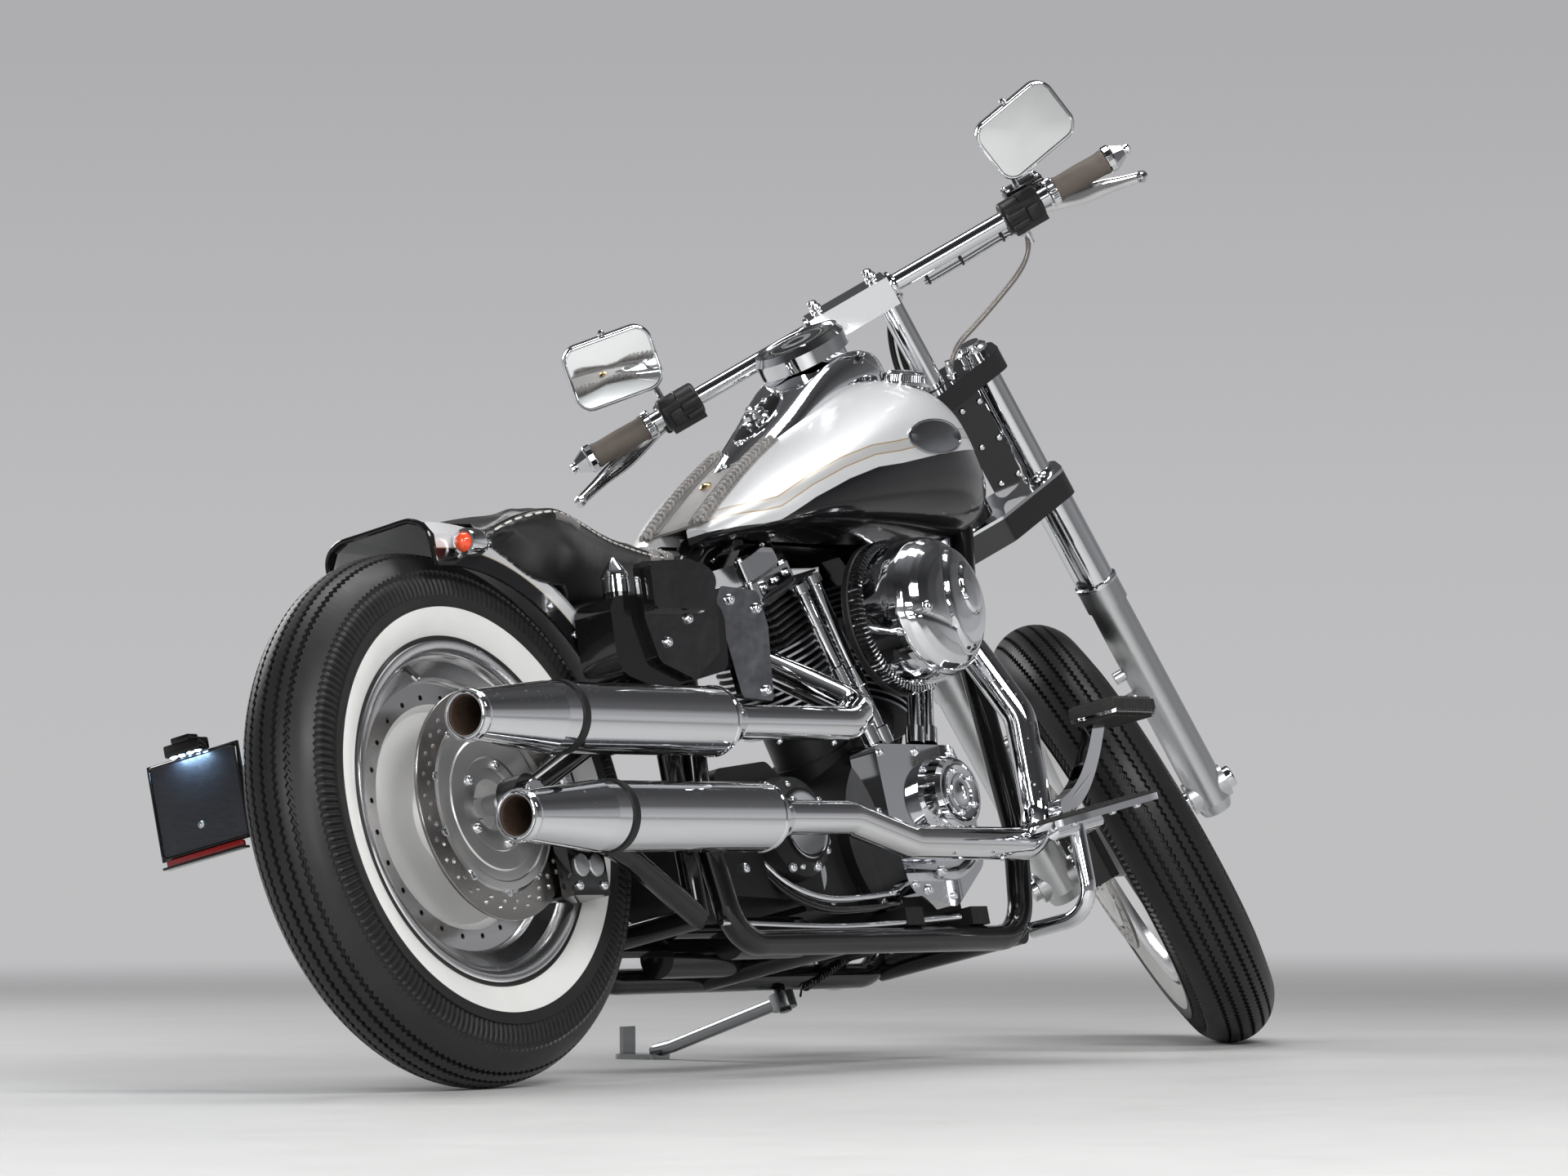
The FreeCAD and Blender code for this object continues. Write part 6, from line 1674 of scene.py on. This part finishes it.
# Tail lamps and plate
def lens(name, color, glow, power):
    """Coloured lens with a moulded prism pattern, faintly lit."""
    f = Finish(name, color, 0.0, 0.12, Coat_Weight=0.6, Coat_Roughness=0.04)
    p = f.place()
    f.color(f.mix(f.noise(p, 60, 2), color, tuple(min(c * 1.4, 1) for c in color)))
    f.bump(f.cells(p, 420), 0.4, 0.0006)
    f.put(glow, f.shader.inputs["Emission Color"])
    f.put(power, f.shader.inputs["Emission Strength"])
    return f.mat


MATERIALS["red_lens"] = lens("red_lens", (0.20, 0.005, 0.004), (1.0, 0.04, 0.03), 0.02)
MATERIALS["amber_lens"] = lens("amber_lens", (0.60, 0.06, 0.018), (1.0, 0.12, 0.04), 0.12)
MATERIALS["led"] = lens("white_led", (0.75, 0.80, 0.85), (0.45, 0.70, 1.0), 110.0)


def tail_looks():
    """Plate light with its diodes, red bar lens and bullet signals."""
    case = build("plate_lamp_case", [box_mesh(BIKE, (-138, 248, 484.3), (-116, 306, 500), 2.5),
                                     box_mesh(BIKE, (-138, 262, 499), (-118, 292, 507), 2.0)],
                 "black", sharp=40)
    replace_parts(case, "rear_lamps")
    spots = facing(BIKE, [(-130, y, 484.4) for y in (257, 270, 284, 297)], 0, 0, -1)
    build("plate_lamp_diodes", [turned([(0, 4.2), (0.8, 4.2), (1.8, 2.2), (2, 0)], spot, axis, 16)
                                for spot, axis in spots], "led")
    build("tail_lens", [box_mesh(BIKE, (-128, 216, 352), (-117, 340, 361.7), 2.5)], "red_lens",
          sharp=40)
    build("tail_base", [box_mesh(BIKE, (-132, 212, 350), (-116, 344, 353.5), 1.2)], "black", sharp=40)
    back = way(BIKE, -1, 0, 0)
    for side, name in SIDES.items():
        spot = at(BIKE, 40, side * 104, 664)
        shell = turned([(0, 0), (0, 12.5), (4, 16), (12, 17.2), (30, 17.2), (34, 16), (34.5, 12.8),
                        (33, 12),
                        (33, 0)], spot, back, 36)
        nose = turned([(0, 12.5), (-10, 10.5), (-18, 6), (-22, 0)], spot, back, 36)
        stem = tube_mesh([at(BIKE, 20, side * y, z) for y, z in ((82, 652), (92, 658), (104, 664))],
                         0.0052, 14)
        build("signal_shell_" + name, [shell, nose, stem], "chrome")
        lens_part = turned([(32.5, 12.2), (37, 11.2), (41, 8.8), (44, 5.2), (45, 0)], spot, back, 32)
        build("signal_lens_" + name, [lens_part], "amber_lens", sharp=50)


tail_looks()


def blank_plate():
    """Bare dark plate with a rolled edge and one screw."""
    f = Finish("plate_face", (0.03, 0.032, 0.04), 0.3, 0.4)
    p = f.place()
    f.color(f.mix(f.noise(f.stretched(p, (1, 1, 14)), 60, 4), (0.018, 0.019, 0.024), (0.055, 0.058, 0.07)))
    f.rough(f.noise(p, 160, 4), 0.3, 0.6)
    f.bump(f.noise(p, 900, 3), 0.3, 0.0003)
    build("plate_blank", [box_mesh(BIKE, (-121.4, 208, 366), (-119.6, 346, 480), 0.7)], f.mat, sharp=40)
    corners = [(205, 365), (349, 365), (349, 481), (205, 481)]
    line = []
    for (y, z), (next_y, next_z) in zip(corners, corners[1:] + corners[:1]):
        for part in (0.04, 0.5, 0.96):
            line.append(at(BIKE, -120.6, y + (next_y - y) * part, z + (next_z - z) * part))
    bar("plate_edge", line, 0.0022, "black", 8, True)
    bolts("plate_screws", facing(BIKE, [(-121.2, 277, 394)], -1, 0, 0), 0.0055, material="satin")


blank_plate()


# Side cover, filler and post
def cover_metal():
    """Cast black gloss of the side cover, and the post plate in dark chrome."""
    f = Finish("side_cover_metal", (0.006, 0.006, 0.0065), 0.0, 0.08, Coat_Weight=0.7, Coat_Roughness=0.04)
    p = f.place()
    x, _, _ = f.parts(f.place(BIKE))
    post = f.between(x, 0.478, 2.0, 0.0004)
    f.color(f.mix(post, (0.006, 0.006, 0.0065), (0.34, 0.35, 0.37)))
    f.put(post, f.shader.inputs["Metallic"])
    f.rough(f.noise(p, 25, 3), 0.06, 0.18)
    f.bump(f.noise(p, 11, 3), 0.5, 0.006)
    f.bump(f.noise(p, 320, 2), 0.06, 0.0002)
    return f.mat


dress("side_cover", cover_metal())


def side_details():
    """Socket bolts on the casting and the chrome oil filler."""
    casting = [(x, -160.2, z) for x, z in ((367, 562), (397, 577), (314, 530))]
    post = [(x, -128.1, z) for x, z in ((512, 600), (568, 590), (556, 480))]
    bolts("side_bolts", facing(BIKE, casting + post, 0, -1, 0), 0.0072)
    cap = turned([(30, 17.2), (30, 17.8), (46, 17.8), (47, 16.8), (49.5, 16.8), (50.5, 17.8), (53.5, 17.8),
                  (60, 15), (70, 8.5), (77.5, 3), (78.5, 0)], at(BIKE, 262, -131, 568), way(BIKE, 0.12, 0,
                          1), 40)
    build("oil_filler_cap", [cap], "chrome")


side_details()


# Lever pads, boards, stand, belt, calipers and lamp glass
def rubber_pad(name, low, high, ribs):
    """A rubber block with raised ribs across its upper face."""
    parts = [box_mesh(BIKE, low, (high[0], high[1], high[2] - 2.5), 3.0)]
    span = high[0] - low[0] - 8
    half = span / ribs * 0.3
    for index in range(ribs):
        centre = low[0] + 4 + span * (index + 0.5) / ribs
        parts.append(box_mesh(BIKE, (centre - half, low[1] + 4, high[2] - 4), (centre + half, high[1] - 4,
                high[2]),
                              0.6))
    build(name, parts, "tread", sharp=40)


def pedals():
    """Flat chrome arm and ribbed rubber pad of each foot lever."""
    across = way(BIKE, 0, 1, 0)

    def corners_at(index, ahead):
        up = ahead.cross(across).normalized()
        return [up * u * 0.0125 + across * v * 0.0086 for u, v in ((-1, -1), (1, -1), (1, 1), (-1, 1))]

    for side, name in SIDES.items():
        low = min(side * 226, side * 300)
        rubber_pad("pedal_pad_" + name, (1110, low - 1, 424), (1214, low + 75, 443), 15)
        under = [box_mesh(BIKE, (1112, low, 419), (1212, low + 74, 426), 2.5)]
        for index in range(13):
            x = 1118 + 7.3 * index
            under.append(box_mesh(BIKE, (x - 1.9, low + 4, 415.2), (x + 1.9, low + 70, 420), 0.7))
            under.append(box_mesh(BIKE, (x - 1.9, low - 1.2, 421), (x + 1.9, low + 1, 438), 0.5))
        build("pedal_under_" + name, under, "tread", sharp=40)
        route = [(1048, 223, 303), (1078, 225, 318), (1106, 228, 342), (1132, 232, 378), (1154, 236, 420)]
        build("pedal_arm_" + name, [swept(run(BIKE, route, 6, side), corners_at)], "chrome",
              sharp=40)


pedals()


def boards():
    """Rubber mat with studs on each footboard, and the bolts under it."""
    for side, name in SIDES.items():
        place = BIKE @ Matrix.Translation((1.058, side * 0.218,
                                           0.282)) @ Matrix.Rotation(math.radians(-9), 4, "Y")
        low_y = min(side * 8, side * 84)
        parts = [box_mesh(place, (-104, low_y, 8.5), (104, low_y + 76, 13), 2.0)]
        for column in range(16):
            for row in range(5):
                x = -96 + 12.8 * column + (6.4 if row % 2 else 0)
                if x < 102:
                    parts.append(turned([(12.5, 3.6), (15, 3), (15.5, 0)],
                                        at(place, x, side * (16 + row * 15), 0),
                                        way(place, 0, 0, 1), 8))
        build("board_mat_" + name, parts, "tread", sharp=40)
        corners = ((-80, 30), (80, 30), (-80, 66), (80, 70))
        bolts("board_bolts_" + name, facing(place, [(x, side * y, -0.3) for x, y in corners], 0, 0, -1),
              0.0052)


boards()


def stand_spring():
    """Black coiled return spring from the stand's bracket up to the frame, hooked at both ends."""
    low = at(BIKE, 846, 110, 131)
    high = at(BIKE, 972, 99, 178)
    ahead = (high - low).normalized()
    side = ahead.cross(Vector((0, 0, 1))).normalized()
    above = side.cross(ahead).normalized()
    reach = (high - low).length
    steps = 18 * 12
    line = [low - above * 0.010, low - above * 0.002 + ahead * 0.006]
    for step in range(steps + 1):
        angle = 2 * math.pi * step / 12
        along = 0.012 + (reach - 0.024) * step / steps
        line.append(low + ahead * along + (side * math.cos(angle) + above * math.sin(angle)) * 0.0068)
    line += [high - ahead * 0.006, high + above * 0.010]
    bar("stand_spring", line, 0.0017, "black", 7)


def belt_teeth():
    """Ribs across the drive belt's inner face along its two straight runs."""
    rear = Vector((0, 0, 0.3365))
    front = Vector((0.560, 0, 0.310))
    left = Vector((0, 1, 0))
    levels = [1000 * (BIKE.inverted() @ vertex.co).y
              for vertex in frame["nodes"]["drive_belt"].data.vertices]
    low = min(levels) + 2
    high = max(levels) - 2
    span = front - rear
    tilt = math.atan2(span.z, span.x)
    swing = math.acos((0.1225 - 0.0445) / span.length)
    count = 40
    parts = []
    for lean in (tilt + swing, tilt - swing):
        out = Vector((math.cos(lean), 0, math.sin(lean)))
        start = rear + out * 0.1215
        stop = front + out * 0.0435
        ahead = (stop - start).normalized()
        for index in range(count):
            middle = start.lerp(stop, (index + 0.5) / count)
            place = BIKE @ axes_frame(middle, ahead, left, ahead.cross(left))
            parts.append(box_mesh(place, (-3.2, low, -1.4), (3.2, high, 1.4), 0.8))
    build("belt_ribs", parts, "belt", sharp=40)


dress("side_stand", cast_alloy("stand_steel", (0.34, 0.35, 0.36), 0.14, 0.30, 900, 0.0001))
stand_spring()
belt_teeth()


def caliper_details():
    """Bolts and piston caps on the brake calipers."""
    out = (0, -1, 0)
    bolts("rear_caliper_bolts", facing(BIKE, [(x, -108.7, z) for z in (228, 280) for x in (108, 158)],
                                       *out), 0.0062)
    pots = [turned([(0, 15), (2, 15), (4, 13.5), (4.5, 0)], spot, axis, 28)
            for spot, axis in facing(BIKE, [(118, -108.6, 254), (148, -108.6, 254)], *out)]
    build("rear_caliper_pots", pots, "satin")
    offset = 1000 * (FORK.inverted() @ FRONT.translation).x
    spots = []
    for f, z in ((-160, 34), (-104, 34), (-160, 84), (-104, 84)):
        spot, _ = on_node("front_caliper", at(FORK, offset + f, 300, z), way(FORK, 0, -1, 0))
        if spot is not None:
            spots.append((spot, way(FORK, 0, 1, 0)))
    bolts("front_caliper_bolts", spots, 0.0058, "steering")


caliper_details()


def valve(which, place, turn):
    """Rubber valve stem with its metal cap, through the rim's right side."""
    inward = way(place, -math.sin(turn), -0.55, -math.cos(turn))
    foot = place @ Vector((0.1985 * math.sin(turn), -0.030, 0.1985 * math.cos(turn)))
    stem = turned([(-2, 0), (-2, 6.2), (4, 5.8), (8, 4), (20, 3.6), (20, 0)], foot, inward, 14)
    cap = turned([(19.5, 4.4), (19.5, 4.6), (27, 4.6), (29, 3), (29, 0)], foot, inward, 10)
    build(which + "_valve_stem", [stem], "tread", which + "_wheel")
    build(which + "_valve_cap", [cap], "chrome", which + "_wheel")


valve("rear", REAR, math.radians(-18))
valve("front", FRONT, math.radians(150))


def headlight_glass():
    """Fluted lens and bright ring of the headlight."""
    axis = way(FORK, 1, 0, 0)
    across = way(FORK, 0, 1, 0)
    up = way(FORK, 0, 0, 1)
    centre = at(FORK, 62, 0, 612)
    ring = turned([(98, 90.5), (100, 94.5), (108, 95), (113, 93), (114.5, 88), (112.5, 83.5), (108, 81.5)],
                  centre, axis, 72)
    build("headlight_ring", [ring], "chrome", "steering")
    edge = 0.0825
    steps = 96
    rings = 12
    points = []
    for number in range(rings + 1):
        radius = edge * number / rings
        for angle in turns(steps):
            y = radius * math.cos(angle)
            z = radius * math.sin(angle)
            lift = 0.104 + 0.012 * (1 - (radius / edge) ** 2) + 0.0006 * math.cos(y * 2 * math.pi / 0.011)
            points.append(centre + axis * lift + across * y + up * z)
    lens_piece = solid("headlight_lens", points, skin_faces(rings + 1, steps, False, True), ROW, "steering",
                       "glass", 60)
    bowl = turned([(99, 81.5), (100.5, 78), (99.8, 50), (99, 20), (100.5, 12), (104, 9), (106, 0)],
                  centre, axis, 48)
    build("headlight_bowl", [bowl], "silvered", "steering")


headlight_glass()


def cable_bundle():
    """Two black cables from the bar's middle down to the neck."""
    for index, shift in enumerate((-7, 5)):
        route = [(BAR_F + 14, shift - 62, 872), (BAR_F + 26, shift - 46, 842), (BAR_F + 30, shift - 30,
                800),
                 (BAR_F + 22, shift - 22, 762), (BAR_F + 8, shift - 20, 737)]
        cable = cord_curve(f"control_cable_{index}", route, 0.0042, "plastic")
        ends = cord_ends(f"cable_ends_{index}", route, 0.0066)


cable_bundle()


def nearest_hit(start, direction):
    """The first point of the carried-over chassis pieces that a ray meets."""
    hits = [on_node(node, start, direction)[0]
            for node in ("transmission", "crankcase", "frame", "swingarm", "oil_tank", "cam_cover")]
    return min((spot for spot in hits if spot is not None), key=lambda spot: (spot - start).length,
               default=None)


STARTER = (640, 250)


def lower_fittings():
    """Cap screws on the gearbox and crankcase, two oil pipes, the brake rod and the starter's end."""
    out = way(BIKE, 0, -1, 0)
    spots = []
    for x, z in ((541, 246), (589, 246), (520, 300), (556, 330), (610, 320), (640, 282), (660, 240),
                 (700, 214),
                 (744, 326), (790, 205), (840, 215), (880, 240), (500, 210), (470, 250), STARTER):
        found = nearest_hit(at(BIKE, x, -400, z), way(BIKE, 0, 1, 0))
        if found is not None:
            spots.append((found, out))
    starter = spots.pop()
    bolts("lower_screws", spots, 0.0072)
    for index, (lift, material, slot) in enumerate(((0, "black", "black_paint"), (15, "chrome", "chrome"))):
        route = [(812, -84, 212 + lift), (790, -112, 200 + lift), (700, -120, 192 + lift),
                 (610, -120, 192 + lift),
                 (545, -112, 214 + lift), (508, -92, 262 + lift), (500, -70, 300 + lift)]
        bar(f"oil_pipe_{index}", run(BIKE, route, 7), 0.0046, material, 12)
    rod = [(372, -122, 176), (640, -124, 168), (905, -126, 178)]
    bar("brake_rod", run(BIKE, rod, 6), 0.0042, "chrome", 12)
    end = turned([(-4, 0), (-4, 36), (14, 36), (18, 33), (19, 24), (23, 22), (24, 10), (28, 8), (29, 0)],
                 *starter, 48)
    build("starter_end", [end], "satin", sharp=30)


lower_fittings()


# Studio
CAMERA_FROM_HUB = Vector((-6.482, -5.135, 0.0107))
CAMERA_YAW = math.radians(35.45)
CAMERA_PITCH = math.radians(1.883)
CAMERA_ROLL = math.radians(-0.438)
FOCAL_IN_WIDTHS = 8202 / 1920
SENSOR_WIDTH = 36
HORIZON = (0.52, 0.52, 0.53)


def camera():
    """The photograph's viewpoint: low, behind the machine on its right, with a long lens."""
    data = bpy.data.cameras.new("camera")
    data.sensor_width = SENSOR_WIDTH
    data.lens = SENSOR_WIDTH * FOCAL_IN_WIDTHS
    data.clip_end = 60
    cam = bpy.data.objects.new("camera", data)
    bpy.context.scene.collection.objects.link(cam)
    look = Vector((math.cos(CAMERA_PITCH) * math.cos(CAMERA_YAW),
                   math.cos(CAMERA_PITCH) * math.sin(CAMERA_YAW), math.sin(CAMERA_PITCH)))
    level = Vector((math.sin(CAMERA_YAW), -math.cos(CAMERA_YAW), 0))
    top = level.cross(look)
    right = level * math.cos(CAMERA_ROLL) + top * math.sin(CAMERA_ROLL)
    above = top * math.cos(CAMERA_ROLL) - level * math.sin(CAMERA_ROLL)
    cam.matrix_world = axes_frame(REAR.translation + CAMERA_FROM_HUB, right, above, -look)
    bpy.context.scene.camera = cam


def softbox(name, place, target, width, height, power):
    """A rectangular lamp aimed at a point."""
    data = bpy.data.lights.new(name, "AREA")
    data.shape = "RECTANGLE"
    data.size = width
    data.size_y = height
    data.energy = power
    lamp = bpy.data.objects.new(name, data)
    lamp.location = place
    lamp.rotation_euler = (Vector(target) - Vector(place)).to_track_quat("-Z", "Y").to_euler()
    bpy.context.scene.collection.objects.link(lamp)


def seen(tree):
    """1 for rays that come from the camera, a mirror or through glass."""
    kinds = tree.add("LightPath").outputs
    total = tree.math("MAXIMUM", kinds["Is Camera Ray"], kinds["Is Glossy Ray"])
    return tree.math("MAXIMUM", total, kinds["Is Transmission Ray"])


def front_share(tree, direction):
    """1 towards the wall that the photograph looks at, less towards the dim side behind the camera."""
    ahead = (math.cos(CAMERA_YAW), math.sin(CAMERA_YAW), 0)
    toward = tree.add("VectorMath", {0: direction, 1: ahead}, operation="DOT_PRODUCT").outputs["Value"]
    inputs = {0: toward, 1: -0.6, 2: 0.5, 3: 0.38, 4: 1.0}
    return tree.add("MapRange", inputs, interpolation_type="SMOOTHSTEP").outputs[0]


def backdrop_tone(tree, direction):
    """Pale grey at the level, darker upwards and away to the sides, with a soft bright band overhead."""
    tones = [(position, (tone, tone, tone * 1.04))
             for position, tone in ((0.16, 0.40), (0.34, 0.12), (0.62, 0.06), (0.80, 0.10))]
    stops = [(0.0, HORIZON), *tones, (1.0, (0.30, 0.31, 0.33))]
    rise = tree.ramp(tree.parts(direction)["Z"], stops, "EASE")
    inputs = {0: rise, "Scale": front_share(tree, direction)}
    return tree.add("VectorMath", inputs, operation="SCALE").outputs[0]


def floor_material():
    """Pale floor that melts into the backdrop far from the machine."""
    f = Finish("floor_pale", (0.62, 0.62, 0.61), 0.0, 0.55)
    p = f.place()
    f.color(f.mix(f.noise(p, 3.0, 6), (0.58, 0.58, 0.575), (0.66, 0.66, 0.65)))
    f.rough(f.noise(p, 9, 5), 0.4, 0.65)
    far = f.add("VectorMath", {0: p}, operation="LENGTH").outputs["Value"]
    fade = f.add("MapRange", {0: far, 1: 2.0, 2: 7.0}, interpolation_type="SMOOTHSTEP").outputs[0]
    outwards = f.add("VectorMath", {0: p}, operation="NORMALIZE").outputs[0]
    glow = f.add("Emission", {0: HORIZON, 1: front_share(f, outwards)})
    share = f.math("MULTIPLY", fade, seen(f))
    blend = f.add("MixShader", {0: share, 1: f.shader.outputs[0], 2: glow.outputs[0]})
    output = next(node for node in f.nodes if node.type == "OUTPUT_MATERIAL")
    f.put(blend.outputs[0], output.inputs[0])
    return f.mat


def studio():
    """Pale floor, plain backdrop tone and soft lamps."""
    bpy.ops.mesh.primitive_plane_add(size=120, location=(0, 0, 0))
    floor = bpy.context.object
    floor.name = "floor"
    floor.data.materials.append(floor_material())
    world = bpy.data.worlds.new("studio")
    bpy.context.scene.world = world
    world.use_nodes = True
    tree = Nodes(world.node_tree)
    tone = backdrop_tone(tree, tree.add("TexCoord").outputs["Generated"])
    tree.put(tone, tree.nodes["Background"].inputs[0])
    tree.put(1.0, tree.nodes["Background"].inputs[1])
    softbox("key_right", (-1.6, -3.4, 3.0), (0, 0, 0.5), 2.2, 1.0, 105)
    softbox("top", (0.4, 0.2, 3.6), (0, 0, 0.4), 3.2, 0.8, 70)
    softbox("fill_left", (0.5, 3.6, 2.2), (0, 0, 0.5), 2.4, 1.4, 55)
    softbox("rear_strip", (-4.0, -1.0, 1.6), (0, 0, 0.5), 0.5, 2.2, 40)
    softbox("wheel_fill", (-3.1, -3.2, 1.25), (-0.7, 0, 0.35), 1.2, 0.8, 34)


camera()
studio()
bpy.context.scene.view_settings.view_transform = "Standard"
